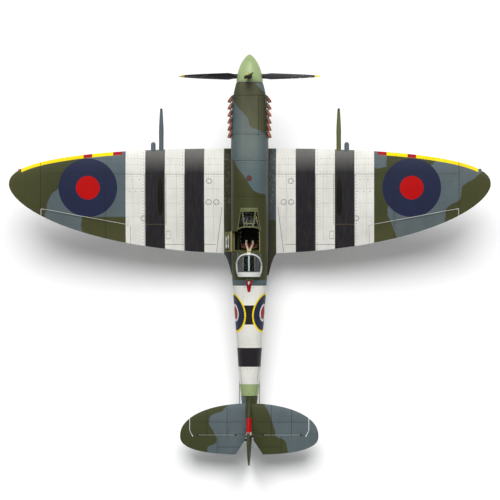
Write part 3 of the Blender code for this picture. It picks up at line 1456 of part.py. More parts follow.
def build_spinner():
    axis = Matrix()
    base = SPINNER_BASE_Y + SEAT_GAP
    outer, inner = [], []
    inner_tip = SPINNER_TIP_Y - 2 * SPINNER_WALL
    for share in SPINNER_SHARES:
        y = SPINNER_TIP_Y + (base - SPINNER_TIP_Y) * share
        outer.append((y, spinner_radius(y, SPINNER_RADIUS, SPINNER_TIP_Y)))
        y = inner_tip + (base - inner_tip) * share
        inner.append((y, spinner_radius(y, SPINNER_RADIUS - SPINNER_WALL, inner_tip)))
    spinner = make_piece("spinner", turned(outer + inner[::-1], axis, ROUND_SIDES), PALE, (0, BLADE_Y, 0))
    for index in range(BLADE_COUNT):
        turn = Matrix.Rotation(2 * math.pi * index / BLADE_COUNT, 4, "Y")
        place = Vector((0, BLADE_Y, 0))
        out = turn @ Vector((0, 0, 1))
        ends = (place + out * reach for reach in (PROP_HUB_RADIUS, 2 * SPINNER_RADIUS))
        hole = rod(*ends, BLADE_SHANK + SLIDE_GAP, sides=SMALL_SIDES)
        cut(spinner, make_cutter(f"blade_hole_{index}", hole))


def build_backplate():
    profile = (
        (SPINNER_BASE_Y - BACKPLATE_THICKNESS, SHAFT_RADIUS + SEAT_GAP),
        (SPINNER_BASE_Y - BACKPLATE_THICKNESS, SPINNER_RADIUS - SPINNER_WALL),
        (SPINNER_BASE_Y, SPINNER_RADIUS - SPINNER_WALL / 3),
        (SPINNER_BASE_Y, SHAFT_RADIUS + SEAT_GAP),
    )
    plate = turned(profile, Matrix(), ROUND_SIDES, closed=True)
    make_piece("spinner_backplate", plate, BLACK, (0, BLADE_Y, 0))


def blade_ring(radius):
    """One section across a blade: a thin twisted lens, round at the shank."""
    run = (radius - SPINNER_RADIUS) / (BLADE_RADIUS - SPINNER_RADIUS)
    run = min(1.0, max(0.0, run))
    swell = min(1.0, run / BLADE_SWELL)
    swell = swell * swell * (3 - 2 * swell)
    end = max(0.0, 1 - run**5) ** 0.5
    half_chord = BLADE_SHANK + (BLADE_CHORD / 2 - BLADE_SHANK) * swell
    half_chord *= max(BLADE_TIP, end) * (1 - BLADE_TAPER * run)
    half_depth = BLADE_SHANK * (1 - swell) + BLADE_DEPTH * (1 - BLADE_THINNING * run) * swell
    pitch = BLADE_ROOT_PITCH + (BLADE_TIP_PITCH - BLADE_ROOT_PITCH) * run**0.7
    ring = []
    for step in range(BLADE_SIDES):
        angle = 2 * math.pi * step / BLADE_SIDES
        chordwise, depthwise = half_chord * math.cos(angle), half_depth * math.sin(angle)
        x = chordwise * math.cos(pitch) - depthwise * math.sin(pitch)
        y = BLADE_Y + chordwise * math.sin(pitch) + depthwise * math.cos(pitch)
        ring.append(Vector((x, y, radius)))
    return ring


def build_propeller():
    profile = (
        (SPINNER_BASE_Y + SEAT_GAP, SHAFT_RADIUS + SEAT_GAP),
        (SPINNER_BASE_Y + SEAT_GAP, PROP_HUB_RADIUS),
        (PROP_HUB_FRONT_Y, PROP_HUB_RADIUS),
        (PROP_HUB_FRONT_Y, SHAFT_RADIUS + SEAT_GAP),
    )
    hub = turned(profile, Matrix(), ROUND_SIDES, closed=True)
    propeller = make_piece("propeller", hub, BLACK, (0, BLADE_Y, 0))
    inside = (SHAFT_RADIUS + PROP_HUB_RADIUS) / 2
    radii = [inside] + [SPINNER_RADIUS + (BLADE_RADIUS - SPINNER_RADIUS) * share for share in BLADE_SHARES]
    for index in range(BLADE_COUNT):
        blade = loft([blade_ring(radius) for radius in radii])
        turn = Matrix.Rotation(2 * math.pi * index / BLADE_COUNT, 4, "Y")
        bmesh.ops.transform(blade, matrix=turn, verts=blade.verts)
        weld(propeller, make_cutter(f"blade_{index}", blade))


def build_motor():
    """An outrunner: a bell with its shaft, which turns round a stator bolted to the firewall."""
    bell_inside = ROTOR_RADIUS - ROTOR_WALL
    boss = 2 * SHAFT_RADIUS
    plate_back = ROTOR_FRONT_Y - ROTOR_WALL
    shaft_back = FIREWALL_Y + 2 * SEAT_GAP
    rotor_profile = (
        (PROP_HUB_FRONT_Y + 2 * SHAFT_RADIUS, 0.0),
        (PROP_HUB_FRONT_Y + 2 * SHAFT_RADIUS, SHAFT_RADIUS),
        (SPINNER_BASE_Y - BACKPLATE_THICKNESS - SEAT_GAP, SHAFT_RADIUS),
        (SPINNER_BASE_Y - BACKPLATE_THICKNESS - SEAT_GAP, boss),
        (ROTOR_FRONT_Y, boss),
        (ROTOR_FRONT_Y, ROTOR_RADIUS),
        (ROTOR_BACK_Y, ROTOR_RADIUS),
        (ROTOR_BACK_Y, bell_inside),
        (plate_back, bell_inside),
        (plate_back, SHAFT_RADIUS),
        (shaft_back, SHAFT_RADIUS),
        (shaft_back, 0.0),
    )
    make_piece("motor_rotor", turned(rotor_profile, Matrix(), ROUND_SIDES), ALLOY, (0, BLADE_Y, 0))
    bore = SHAFT_RADIUS + SEAT_GAP
    flange_back = FIREWALL_Y + SEAT_GAP
    flange_front = ROTOR_BACK_Y - SLIDE_GAP
    stator_profile = (
        (plate_back - SLIDE_GAP, bore),
        (plate_back - SLIDE_GAP, bell_inside - SLIDE_GAP),
        (flange_front, bell_inside - SLIDE_GAP),
        (flange_front, ROTOR_RADIUS),
        (flange_back, ROTOR_RADIUS),
        (flange_back, bore),
    )
    make_piece("motor_stator", turned(stator_profile, Matrix(), ROUND_SIDES, closed=True), BLACK)


def build_equipment():
    for name, size, y, bottom, look in (
        ("battery_pack", BATTERY_SIZE, BATTERY_Y, TRAY_TOP_Z + SEAT_GAP, BLUE),
        ("receiver", RECEIVER_SIZE, RECEIVER_Y, TRAY_TOP_Z + SEAT_GAP, BLACK),
        (
            "speed_controller",
            CONTROLLER_SIZE,
            CONTROLLER_Y,
            TRAY_TOP_Z - TRAY_THICKNESS - SEAT_GAP - CONTROLLER_SIZE[2],
            BLACK,
        ),
    ):
        width, length, height = size
        low = (-width / 2, y - length / 2, bottom)
        make_piece(name, box(low, (width / 2, y + length / 2, bottom + height)), look)


# Nose and spine fittings
def build_exhaust(side_name, side):
    """Six swept pipes on one base strip along the side of the cowling."""
    back = EXHAUST_FRONT_Y - EXHAUST_PITCH * EXHAUST_COUNT
    middle_y = (EXHAUST_FRONT_Y + back) / 2
    inside = min(hull_half_width(y, EXHAUST_Z) for y in (EXHAUST_FRONT_Y, back)) - EXHAUST_RADIUS
    strip_reach = hull_half_width(middle_y, EXHAUST_Z) + EXHAUST_STRIP
    ends = sorted((side * inside, side * strip_reach))
    low = (ends[0], back, EXHAUST_Z - EXHAUST_RADIUS)
    strip = box(low, (ends[1], EXHAUST_FRONT_Y + EXHAUST_RADIUS, EXHAUST_Z + EXHAUST_RADIUS))
    exhaust = make_piece(f"exhaust_{side_name}", strip, COPPER)
    for index in range(EXHAUST_COUNT):
        y = EXHAUST_FRONT_Y - EXHAUST_PITCH * index
        root = (side * inside, y + EXHAUST_SWEEP / 3, EXHAUST_Z)
        tip = (side * EXHAUST_TIP_X, y - EXHAUST_SWEEP * 2 / 3, EXHAUST_Z)
        pipe = rod(root, tip, EXHAUST_RADIUS, EXHAUST_TIP_RADIUS)
        weld(exhaust, make_cutter(f"exhaust_pipe_{side_name}_{index}", pipe))
    cut(exhaust, make_cutter(f"hull_for_exhaust_{side_name}", hull_solid(NOSE_Y, COWL_JOINT_Y, SEAT_GAP)))


def build_mast():
    foot = hull_top(MAST_Y)
    low = (0, MAST_Y, foot - 2 * MAST_RADIUS)
    top = (0, MAST_Y - MAST_LEAN, foot + MAST_HEIGHT)
    mast = make_piece("aerial_mast", rod(low, top, MAST_RADIUS, MAST_TIP_RADIUS), PALE)
    cut(mast, make_cutter("hull_for_mast", hull_solid(BOW_Y, TAIL_JOINT_Y, SEAT_GAP)))


# Undercarriage
def gear_frames(side):
    """The pivot, the leg's length and, down and up, its axes: along, towards the wheel, and across."""
    pivot_z = wing_heights(GEAR_PIVOT_X, GEAR_PIVOT_Y)[1] - GEAR_PIVOT_DEPTH
    pivot = Vector((GEAR_PIVOT_X, GEAR_PIVOT_Y, pivot_z))
    foot = Vector((AXLE_X, AXLE_Y, AXLE_Z))
    length = (foot - pivot).length
    far_x = GEAR_PIVOT_X + math.sqrt(length**2 - (GEAR_PIVOT_Y - WELL_Y) ** 2)
    up_depth = WELL_SKIN + LEG_KNUCKLE_RADIUS + SLIDE_GAP
    stowed = Vector((far_x, WELL_Y, wing_heights(far_x, WELL_Y)[1] - up_depth))
    mirror = Matrix.Diagonal((side, 1, 1))
    axes = []
    for along, towards in ((foot - pivot, Vector((-1, 0, 0))), (stowed - pivot, Vector((0, 0, -1)))):
        along = along.normalized()
        wheelward = (towards - along * towards.dot(along)).normalized()
        along, wheelward = mirror @ along, mirror @ wheelward
        axes.append((along, wheelward, along.cross(wheelward)))
    return mirror @ pivot, length, axes[0], axes[1]


def gear_turn(side):
    """The turn that folds a leg up, as an axis and an angle."""
    _, _, down, up = gear_frames(side)
    turn = Matrix(up).transposed() @ Matrix(down)
    return turn.to_quaternion().to_axis_angle()


def retract_frame(side):
    """Axes of the retract unit: X along its pivot pin, Y along the folded leg, Z up into the wing."""
    pivot, _, _, up = gear_frames(side)
    axis, _ = gear_turn(side)
    along = (up[0] - axis * up[0].dot(axis)).normalized()
    return frame_from(axis, along, axis.cross(along), pivot), axis.cross(along).z


def retract_box(side, gap, below):
    frame, lift = retract_frame(side)
    half = LEG_BOSS_WIDTH / 2 + SLIDE_GAP + RETRACT_CHEEK + gap
    top = LEG_BOSS_RADIUS + SLIDE_GAP + RETRACT_ROOF + gap
    run = RETRACT_LENGTH / 2 + gap
    heights = sorted((math.copysign(top, lift), -math.copysign(below, lift)))
    return box((-half, -run, heights[0]), (half, run, heights[1]), frame)


def wheel_centre(frame_axes, pivot, length):
    along, wheelward, _ = frame_axes
    return pivot + along * length + wheelward * (LEG_RADIUS + SLIDE_GAP + WHEEL_WIDTH / 2)


def gear_hollows(side):
    """The hollows in the wing's underside for the retract unit, the leg with its cover, and the wheel."""
    pivot, length, _, up = gear_frames(side)
    along, wheelward, across = up
    pocket = retract_box(side, SEAT_GAP, CUT_PAST)
    leg_axes = frame_from(along, wheelward, across, pivot)
    half = COVER_WIDTH / 2 + WELL_GAP / 2
    slot_low = (0, -LEG_KNUCKLE_RADIUS - SLIDE_GAP, -half)
    slot = box(slot_low, (length + LEG_KNUCKLE_RADIUS + WELL_GAP, CUT_PAST, half), leg_axes)
    middle = wheel_centre(up, pivot, length)
    top = middle - wheelward * (WHEEL_WIDTH / 2 + SLIDE_GAP)
    well = rod(top, middle + wheelward * CUT_PAST, WHEEL_RADIUS + WELL_GAP, sides=WELL_SIDES)
    return pocket, slot, well


def build_gear(side_name, side):
    pivot, length, down, _ = gear_frames(side)
    along, wheelward, across = down
    axis, _ = gear_turn(side)
    foot = pivot + along * length
    leg = make_piece(f"main_leg_{side_name}", rod(pivot, foot, LEG_RADIUS), ALLOY, pivot)
    boss = rod(pivot - axis * LEG_BOSS_WIDTH / 2, pivot + axis * LEG_BOSS_WIDTH / 2, LEG_BOSS_RADIUS)
    axle = rod(foot, foot + wheelward * AXLE_LENGTH, AXLE_RADIUS)
    knuckle = ball(foot, (2 * LEG_KNUCKLE_RADIUS,) * 3)
    leg_axes = frame_from(along, wheelward, across, pivot)
    cover_end = length - WHEEL_RADIUS - WELL_GAP
    cover_low = (COVER_START, COVER_OFFSET, -COVER_WIDTH / 2)
    cover = box(cover_low, (cover_end, COVER_OFFSET + COVER_THICKNESS, COVER_WIDTH / 2), leg_axes)
    shapes = [("boss", boss), ("axle", axle), ("knuckle", knuckle), ("cover", cover)]
    for index, run in enumerate((COVER_START + COVER_POST_INSET, cover_end - COVER_POST_INSET)):
        ends = (leg_axes @ Vector((run, reach, 0)) for reach in (0, COVER_OFFSET + COVER_THICKNESS / 2))
        shapes.append((f"cover_post_{index}", rod(*ends, COVER_POST_RADIUS)))
    for label, shape in shapes:
        weld(leg, make_cutter(f"leg_{label}_{side_name}", shape))
    pin_half = axis * LEG_BOSS_WIDTH
    hole = rod(pivot - pin_half, pivot + pin_half, PIVOT_PIN_RADIUS + SEAT_GAP)
    cut(leg, make_cutter(f"leg_pin_hole_{side_name}", hole))

    frame, lift = retract_frame(side)
    unit = make_piece(f"retract_unit_{side_name}", retract_box(side, 0.0, RETRACT_BELOW), BLACK)
    throat_top = math.copysign(LEG_BOSS_RADIUS + SLIDE_GAP, lift)
    throat_low = -math.copysign(CUT_PAST, lift)
    heights = sorted((throat_top, throat_low))
    half = LEG_BOSS_WIDTH / 2 + SLIDE_GAP
    throat = box((-half, -RETRACT_LENGTH, heights[0]), (half, RETRACT_LENGTH, heights[1]), frame)
    cut(unit, make_cutter(f"retract_throat_{side_name}", throat))
    pin_end = axis * (half + RETRACT_CHEEK / 2)
    pin = rod(pivot - pin_end, pivot + pin_end, PIVOT_PIN_RADIUS)
    weld(unit, make_cutter(f"retract_pin_{side_name}", pin))

    middle = wheel_centre(down, pivot, length)
    wheel_frame = frame_from(along, wheelward, across, middle)
    profile = wheel_profile(WHEEL_RADIUS, WHEEL_WIDTH, AXLE_RADIUS)
    wheel = turned(profile, wheel_frame, ROUND_SIDES, closed=True)
    make_piece(f"main_wheel_{side_name}", wheel, RUBBER, middle)


def wheel_profile(radius, width, axle_radius):
    half = width / 2
    bore = axle_radius + SEAT_GAP
    rim = radius * WHEEL_RIM_SHARE
    side_profile = (
        (half * 0.70, bore),
        (half * 0.70, rim * 0.45),
        (half * 0.40, rim * 0.60),
        (half * 0.40, rim * 0.94),
        (half * 0.92, rim),
        (half, radius * 0.76),
        (half * 0.80, radius * 0.92),
        (half * WHEEL_TREAD_SHARE, radius),
    )
    return [(-along, reach) for along, reach in side_profile] + list(reversed(side_profile))


def tail_post_top():
    return hull_size(TAIL_WHEEL_Y)[2] + TAIL_POST_DEPTH


def build_tail_wheel():
    axle = Vector((0, TAIL_WHEEL_Y - TAIL_WHEEL_TRAIL, TAIL_WHEEL_AXLE_Z))
    crown = TAIL_WHEEL_AXLE_Z + TAIL_WHEEL_RADIUS + TAIL_FORK_ARM
    steer = Vector((0, TAIL_WHEEL_Y, crown))
    post = rod(steer, (0, TAIL_WHEEL_Y, tail_post_top()), TAIL_POST_RADIUS)
    leg = make_piece("tail_wheel_leg", post, ALLOY, steer)
    arm_x = TAIL_WHEEL_WIDTH / 2 + SLIDE_GAP
    bridge_low = (-arm_x - TAIL_FORK_ARM, axle.y - TAIL_FORK_ARM, crown - TAIL_FORK_ARM / 2)
    bridge_high = (arm_x + TAIL_FORK_ARM, TAIL_WHEEL_Y + TAIL_POST_RADIUS, crown + TAIL_FORK_ARM / 2)
    weld(leg, make_cutter("tail_fork_bridge", box(bridge_low, bridge_high)))
    for name, side in SIDES:
        ends = sorted((side * arm_x, side * (arm_x + TAIL_FORK_ARM)))
        low = (ends[0], axle.y - TAIL_FORK_ARM, axle.z - TAIL_FORK_ARM)
        arm = box(low, (ends[1], axle.y + TAIL_FORK_ARM, crown))
        weld(leg, make_cutter(f"tail_fork_arm_{name}", arm))
    pin = Vector((arm_x + TAIL_FORK_ARM / 2, 0, 0))
    weld(leg, make_cutter("tail_axle", rod(axle - pin, axle + pin, TAIL_AXLE_RADIUS)))
    frame = Matrix.Translation(axle) @ Matrix.Rotation(math.pi / 2, 4, "Z")
    profile = wheel_profile(TAIL_WHEEL_RADIUS, TAIL_WHEEL_WIDTH, TAIL_AXLE_RADIUS)
    make_piece("tail_wheel", turned(profile, frame, SMALL_SIDES, closed=True), RUBBER, axle)


# Stance on the ground
def stand_on_wheels():
    """Turns the airframe nose up until its three wheels touch z = 0, and centres it over the origin."""
    pivot, length, down, _ = gear_frames(1)
    main = wheel_centre(down, pivot, length)
    lean = abs(down[1].z)
    main_low = WHEEL_RADIUS * math.sqrt(1 - lean**2) + WHEEL_WIDTH / 2 * WHEEL_TREAD_SHARE * lean
    tail_y = TAIL_WHEEL_Y - TAIL_WHEEL_TRAIL
    ahead, above = main.y - tail_y, main.z - TAIL_WHEEL_AXLE_Z
    reach = math.hypot(ahead, above)
    turn = math.asin((main_low - TAIL_WHEEL_RADIUS) / reach) - math.atan2(above, ahead)
    AIRFRAME.rotation_euler.x = turn
    bpy.context.view_layer.update()
    view = bpy.context.evaluated_depsgraph_get()
    corners = []
    for made in PARTS.objects:
        if made.type == "MESH":
            shown = made.evaluated_get(view)
            corners += [shown.matrix_world @ vertex.co for vertex in shown.data.vertices]
    middle_y = (min(corner.y for corner in corners) + max(corner.y for corner in corners)) / 2
    AIRFRAME.location = (0, -middle_y, -min(corner.z for corner in corners))
    bpy.context.view_layer.update()


build_fuselage()
build_cowling()
build_tray()
build_intake()
build_door()
build_windscreen()
build_hood()
build_rear_glass()
build_cockpit_fittings(build_tub())
build_spar()
build_pitot()
build_tailplane()
build_elevator()
build_fin()
build_rudder()
build_fuselage_servos()
build_spinner()
build_backplate()
build_propeller()
build_motor()
build_equipment()
build_mast()
build_tail_wheel()
for side_label, side_sign in SIDES:
    build_wing(side_label, side_sign)
    build_ailerons(side_label, side_sign)
    build_flap(side_label, side_sign)
    build_cannon(side_label, side_sign)
    build_radiator(side_label, side_sign)
    build_exhaust(side_label, side_sign)
    build_gear(side_label, side_sign)
stand_on_wheels()
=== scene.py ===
"""Looks of a flying scale model of a single-seat fighter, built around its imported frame."""

import bisect
import json
import math

import bmesh
import bpy
from bpy.props import FloatProperty, FloatVectorProperty, PointerProperty
from mathutils import Matrix, Vector


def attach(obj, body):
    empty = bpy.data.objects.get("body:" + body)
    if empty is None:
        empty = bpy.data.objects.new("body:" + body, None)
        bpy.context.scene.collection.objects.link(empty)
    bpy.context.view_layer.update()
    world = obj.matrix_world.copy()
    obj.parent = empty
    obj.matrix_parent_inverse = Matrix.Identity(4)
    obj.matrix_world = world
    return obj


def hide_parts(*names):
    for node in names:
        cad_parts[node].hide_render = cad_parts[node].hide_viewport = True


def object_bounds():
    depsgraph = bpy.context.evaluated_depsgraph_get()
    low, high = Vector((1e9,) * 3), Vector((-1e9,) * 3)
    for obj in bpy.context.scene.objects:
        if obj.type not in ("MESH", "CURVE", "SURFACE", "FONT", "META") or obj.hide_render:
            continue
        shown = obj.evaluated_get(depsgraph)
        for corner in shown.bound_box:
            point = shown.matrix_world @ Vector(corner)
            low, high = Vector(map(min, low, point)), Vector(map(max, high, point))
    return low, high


bl_info = {
    "name": "Fighter model looks",
    "version": (1, 0, 0),
    "blender": (4, 5, 0),
    "location": "View3D > Sidebar > Fighter model",
    "description": "Skins, markings and fittings of a flying scale fighter around its packed frame",
    "category": "Object",
}

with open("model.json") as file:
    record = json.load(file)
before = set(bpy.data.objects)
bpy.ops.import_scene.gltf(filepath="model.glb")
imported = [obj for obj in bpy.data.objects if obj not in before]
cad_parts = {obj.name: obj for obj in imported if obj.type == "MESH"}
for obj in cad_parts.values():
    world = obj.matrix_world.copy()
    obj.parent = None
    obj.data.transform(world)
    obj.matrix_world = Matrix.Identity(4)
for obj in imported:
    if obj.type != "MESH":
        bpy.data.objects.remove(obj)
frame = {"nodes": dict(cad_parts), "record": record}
CAD_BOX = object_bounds()
JOINTS = {joint["name"]: joint for joint in frame["record"]["behaviour"]["joints"]}
SIDES = (("left", -1), ("right", 1))

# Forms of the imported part, in airframe axes: X to the right wing tip, Y to the nose, Z up
HUB_Y = 0.270
WING_HALF_SPAN = 0.600
WING_FRONT_DEPTH = 0.0915
WING_BACK_DEPTH = 0.171
WING_ROOT_X = 0.046
WING_ROOT_Z = -0.054
WING_INNER_X = 0.0285
WING_DIHEDRAL = math.radians(6.0)
WING_ROOT_THICKNESS = 0.130
WING_TIP_THICKNESS = 0.065
WING_CAMBER = 0.02
WING_CAMBER_PLACE = 0.2
TRAILING_EDGE = 0.0008
FILLET_WIDTH = 0.024
FILLET_LENGTH = 0.055
FILLET_HEIGHT = 0.016
AILERON_SHARES = ((0.4950, 0.8152), (0.8683, 0.8923))
NOSE_SHARE = 0.96
HINGE_GAP = 0.0011
FLAP_ENDS_X = (0.079, 0.288)
FLAP_SHARES = (0.77, 0.95)
FLAP_THICKNESS = 0.002
RIB_HALF = 0.0004

HULL_ROWS = (
    (-0.630, 0.0062, 0.0300, -0.0080),
    (-0.566, 0.0158, 0.0345, -0.0150),
    (-0.500, 0.0237, 0.0405, -0.0245),
    (-0.411, 0.0304, 0.0490, -0.0385),
    (-0.330, 0.0362, 0.0565, -0.0510),
    (-0.248, 0.0424, 0.0630, -0.0640),
    (-0.168, 0.0458, 0.0645, -0.0760),
    (-0.115, 0.0460, 0.0632, -0.0800),
    (-0.060, 0.0462, 0.0575, -0.0820),
    (0.000, 0.0465, 0.0520, -0.0805),
    (0.107, 0.0464, 0.0460, -0.0670),
    (0.187, 0.0430, 0.0410, -0.0520),
    (0.227, 0.0398, 0.0375, -0.0430),
    (0.253, 0.0338, 0.0335, -0.0345),
)
HULL_UPPER_FULLNESS = 2.2
HULL_LOWER_FULLNESS = 2.4
HULL_WALL = 0.003
NOSE_Y = 0.252
LIP_RADIUS = 0.0012
COWL_JOINT_Y = 0.060
TAIL_JOINT_Y = -0.525
TAIL_END_Y = -0.628
HATCH_FRONT_Y = 0.222
HATCH_SILL_Z = 0.020
SEAM = 0.0004

OPENING_FRONT_Y = -0.074
OPENING_BACK_Y = -0.1675
OPENING_FRONT_HALF = 0.015
OPENING_BACK_HALF = 0.0275
BOW_Y = -0.115
BOW_LEAN = 0.0085
DOOR_FRONT_Y = -0.1165
DOOR_BOTTOM_Z = 0.016
DECK_ENDS_Y = (-0.178, -0.214)
DECK_HALF = 0.0135
HOOD_FRONT_Y = -0.1705
HOOD_LENGTH = 0.0585
HOOD_HALF = 0.0298
HOOD_RAIL_Z = 0.052
HOOD_TOP_Z = 0.087
HOOD_BULGE = 0.0015
HOOD_TAPER = 0.004
HOOP_LEAN = 0.028
HOOP_WIDTH = 0.0034
RAIL_WIDTH = 0.0024
RAIL_DEPTH = 0.008
GLASS = 0.0012
ARCH_FULLNESS = 2.3
SCREEN_FRONT_Y = -0.058
SCREEN_FRONT_HALF = 0.0213
SCREEN_FOOT_Z = 0.046
SCREEN_LIFT = 0.0008
SCREEN_LEAN = 0.010
REAR_GLASS_BACK_Y = -0.238
REAR_GLASS_BACK_HALF = 0.0168
REAR_GLASS_FALL = 1.4

TAIL_HALF_SPAN = 0.172
TAILPLANE_Z = 0.034
TAIL_TIP_Y = -0.623
TAIL_FRONT_DEPTH = 0.0795
TAIL_BACK_DEPTH = 0.0478
TAIL_THICKNESS = 0.095
ELEVATOR_Y = -0.6252
ELEVATOR_ROOT_X = 0.0105
ELEVATOR_CUT_X = 0.034
BALANCE_X = 0.1475
BALANCE_STEP = 0.015
TORQUE_TUBE_RADIUS = 0.0028
RUDDER_Y = -0.635
RUDDER_BALANCE_Z = 0.129
FIN_ROOT_WIDTH = 0.0145
FIN_TIP_WIDTH = 0.005
FIN_TRAILING_EDGE = 0.0036
FIN_ROWS = (
    (-0.012, -0.530, -0.668),
    (0.010, -0.530, -0.684),
    (0.035, -0.530, -0.692),
    (0.070, -0.557, -0.6945),
    (0.105, -0.581, -0.690),
    (0.135, -0.603, -0.676),
    (0.150, -0.619, -0.661),
    (0.157, -0.631, -0.648),
)

SPINNER_RADIUS = 0.0331
SPINNER_TIP_Y = 0.325
SPINNER_BASE_Y = 0.2555
SPINNER_STUDS = 16
BLADE_COUNT = 4
BLADE_RADIUS = 0.1755
EXHAUST_COUNT = 6
EXHAUST_FRONT_Y = 0.212
EXHAUST_PITCH = 0.0176
EXHAUST_Z = 0.009
EXHAUST_TIP_X = 0.0508
EXHAUST_SWEEP = 0.0160
CANNON_X = 0.2215
CANNON_MUZZLE_Y = 0.191
STUB_OFFSET_X = 0.020
STUB_END_Y = 0.107
STUB_RADIUS = 0.0059
LAMP_X = 0.573
LAMP_SIZE = (0.0085, 0.0070, 0.0046)
BLISTER_X = 0.2235
BLISTER_Y = -0.026
BLISTER_SIZE = (0.012, 0.098, 0.010)
HORN_HALF = 0.0008
RADIATOR_X = 0.132
RADIATOR_WIDTH = 0.064
RADIATOR_ENDS_Y = (-0.038, -0.096)
RADIATOR_DEPTH = 0.015
RADIATOR_WALL = 0.0015
INTAKE_ENDS_Y = (0.150, 0.066)
INTAKE_HALF = 0.012
INTAKE_DEPTH = 0.0155
FUEL_CAP_Y = 0.0156
BLADE_SHANK = 0.006
BLADE_HALF_CHORD = 0.0150
BLADE_ROOT_PITCH = 36
BLADE_TIP_PITCH = 22
HUB_RADIUS = 0.014
HUB_FRONT_Y = 0.281
TUB_HALF = 0.027
TUB_ENDS_Y = (-0.076, -0.164)
TUB_FLOOR_Z = -0.0362
TUB_TOP_Z = 0.034
TUB_WALL = 0.0015
SILL_RADIUS = 0.0010
PANEL_Y = -0.0985
PANEL_HALF = 0.022
PANEL_LEAN = math.radians(32)
DIAL_MARK = 0.0004
DIAL_SPOTS = [(x, height) for height in (0.026, 0.016) for x in (-0.015, -0.005, 0.005, 0.015)]
DIAL_SPOTS += [(x, 0.007) for x in (-0.010, 0.010)]
SEAT_HALF = 0.0215
SEAT_LEAN = math.radians(18)
STICK_Y = -0.1065
GRIP_RADIUS = 0.0058
STRAP_BLOCK_Y = -0.1712
STRAP_BLOCK_Z = 0.0655
MAST_Y = -0.243
MAST_HEIGHT = 0.040
MAST_LEAN = 0.0048
PITOT_X = 0.460
PITOT_Y = 0.005
PITOT_DROP = 0.012
PITOT_LENGTH = 0.030
LEG_FOOT = (0.105, 0.050, -0.169)
WHEEL_OFFSET = 0.0116
WHEEL_RADIUS = 0.032
WHEEL_WIDTH = 0.015
WELL_RADIUS = 0.035
BOSS_HALF = 0.004
BOSS_RADIUS = 0.0058
AXLE_LENGTH = 0.017
COVER_START = 0.032
COVER_OFFSET = 0.016
COVER_HALF = 0.013
COVER_THICKNESS = 0.0014
TAIL_WHEEL_RADIUS = 0.0115
TAIL_WHEEL_WIDTH = 0.008


def airframe_matrix():
    """Turns airframe places, with the thrust line along Y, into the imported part's own axes."""
    spin = JOINTS["propeller_spin"]
    turn = Matrix.Rotation(math.atan2(spin["axis"][2], spin["axis"][1]), 4, "X")
    hub = turn @ Vector((0.0, HUB_Y, 0.0))
    return Matrix.Translation(Vector(spin["pos_m"]) - hub) @ turn


AIRFRAME = airframe_matrix()
TO_AIRFRAME = AIRFRAME.inverted()


# Numbers and places
def at(x, y, z):
    return Vector((x, y, z))


RIGHT, AHEAD, UP = at(1, 0, 0), at(0, 1, 0), at(0, 0, 1)


def place_of(joint):
    return TO_AIRFRAME @ Vector(JOINTS[joint]["pos_m"])


def axis_of(joint):
    return (TO_AIRFRAME.to_3x3() @ Vector(JOINTS[joint]["axis"])).normalized()


def node_places(node):
    """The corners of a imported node, in airframe axes."""
    return [TO_AIRFRAME @ vert.co for vert in frame["nodes"][node].data.vertices]


def blend(start, end, share):
    return start + (end - start) * share


def spread(start, end, count):
    return [start + (end - start) * step / count for step in range(count + 1)]


def within(number):
    """A number kept between nought and one."""
    return min(1.0, max(0.0, number))


def bulged(number, power):
    """A power of a number, with the number's own sign."""
    return math.copysign(abs(number) ** power, number)


def round_steps(sides):
    """The cosine and sine of even steps round a circle."""
    angles = [2 * math.pi * step / sides for step in range(sides)]
    return [(math.cos(angle), math.sin(angle)) for angle in angles]


def turns(count, axis, start=0.0):
    """Even turns round an axis."""
    return [Matrix.Rotation(2 * math.pi * (index + start) / count, 4, axis) for index in range(count)]


def path_runs(path):
    """The direction of a path at each of its places."""
    last = len(path) - 1
    return [path[min(index + 1, last)] - path[max(index - 1, 0)] for index in range(last + 1)]


def smooth_path(points, steps):
    """Places on a smooth curve through points."""
    places = []
    pulls = [run / 2 for run in path_runs(points)]
    for index in range(len(points) - 1):
        start, end = points[index : index + 2]
        pull, push = pulls[index : index + 2]
        for step in range(steps):
            t = step / steps
            places.append(start * (2 * t**3 - 3 * t**2 + 1) + pull * (t**3 - 2 * t**2 + t)
                          + end * (3 * t**2 - 2 * t**3) + push * (t**3 - t**2))
    return places + [points[-1]]


def axes_along(start, end):
    """Axes with Z from one place to another, at the first."""
    along = (Vector(end) - Vector(start)).normalized()
    return Matrix.Translation(start) @ along.to_track_quat("Z", "Y").to_matrix().to_4x4()


def frame_axes(x_axis, y_axis, z_axis, place):
    """A matrix with the given axes at a place."""
    return Matrix.Translation(place) @ Matrix((x_axis, y_axis, z_axis)).transposed().to_4x4()


# Shapes
def loft(rings, closed=True, caps=True):
    """A skin through rings with equal numbers of points."""
    shape = bmesh.new()
    rows = [[shape.verts.new(point) for point in ring] for ring in rings]
    count = len(rows[0])
    for row, following in zip(rows, rows[1:]):
        for step in range(count if closed else count - 1):
            after = (step + 1) % count
            shape.faces.new((row[step], row[after], following[after], following[step]))
    if closed and caps:
        shape.faces.new(rows[0])
        shape.faces.new(rows[-1])
    return shape


def turned(profile, axes, sides=32, caps=True):
    """A form turned round the Z of its axes, from pairs of height and radius."""
    steps = round_steps(sides)
    rings = [[axes @ at(radius * u, radius * v, height) for u, v in steps] for height, radius in profile]
    return loft(rings, caps=caps)


def rod(start, end, radius, end_radius=None, sides=24):
    length = (Vector(end) - Vector(start)).length
    far = radius if end_radius is None else end_radius
    return turned(((0, radius), (length, far)), axes_along(start, end), sides)


def round_rod(start, end, radius, edge, sides=24):
    """A rod with its end edges rounded off."""
    length = (Vector(end) - Vector(start)).length
    profile = [(0, radius - edge), (edge * 0.3, radius - edge * 0.3), (edge, radius)]
    profile += [(length - height, reach) for height, reach in reversed(profile)]
    return turned(profile, axes_along(start, end), sides)


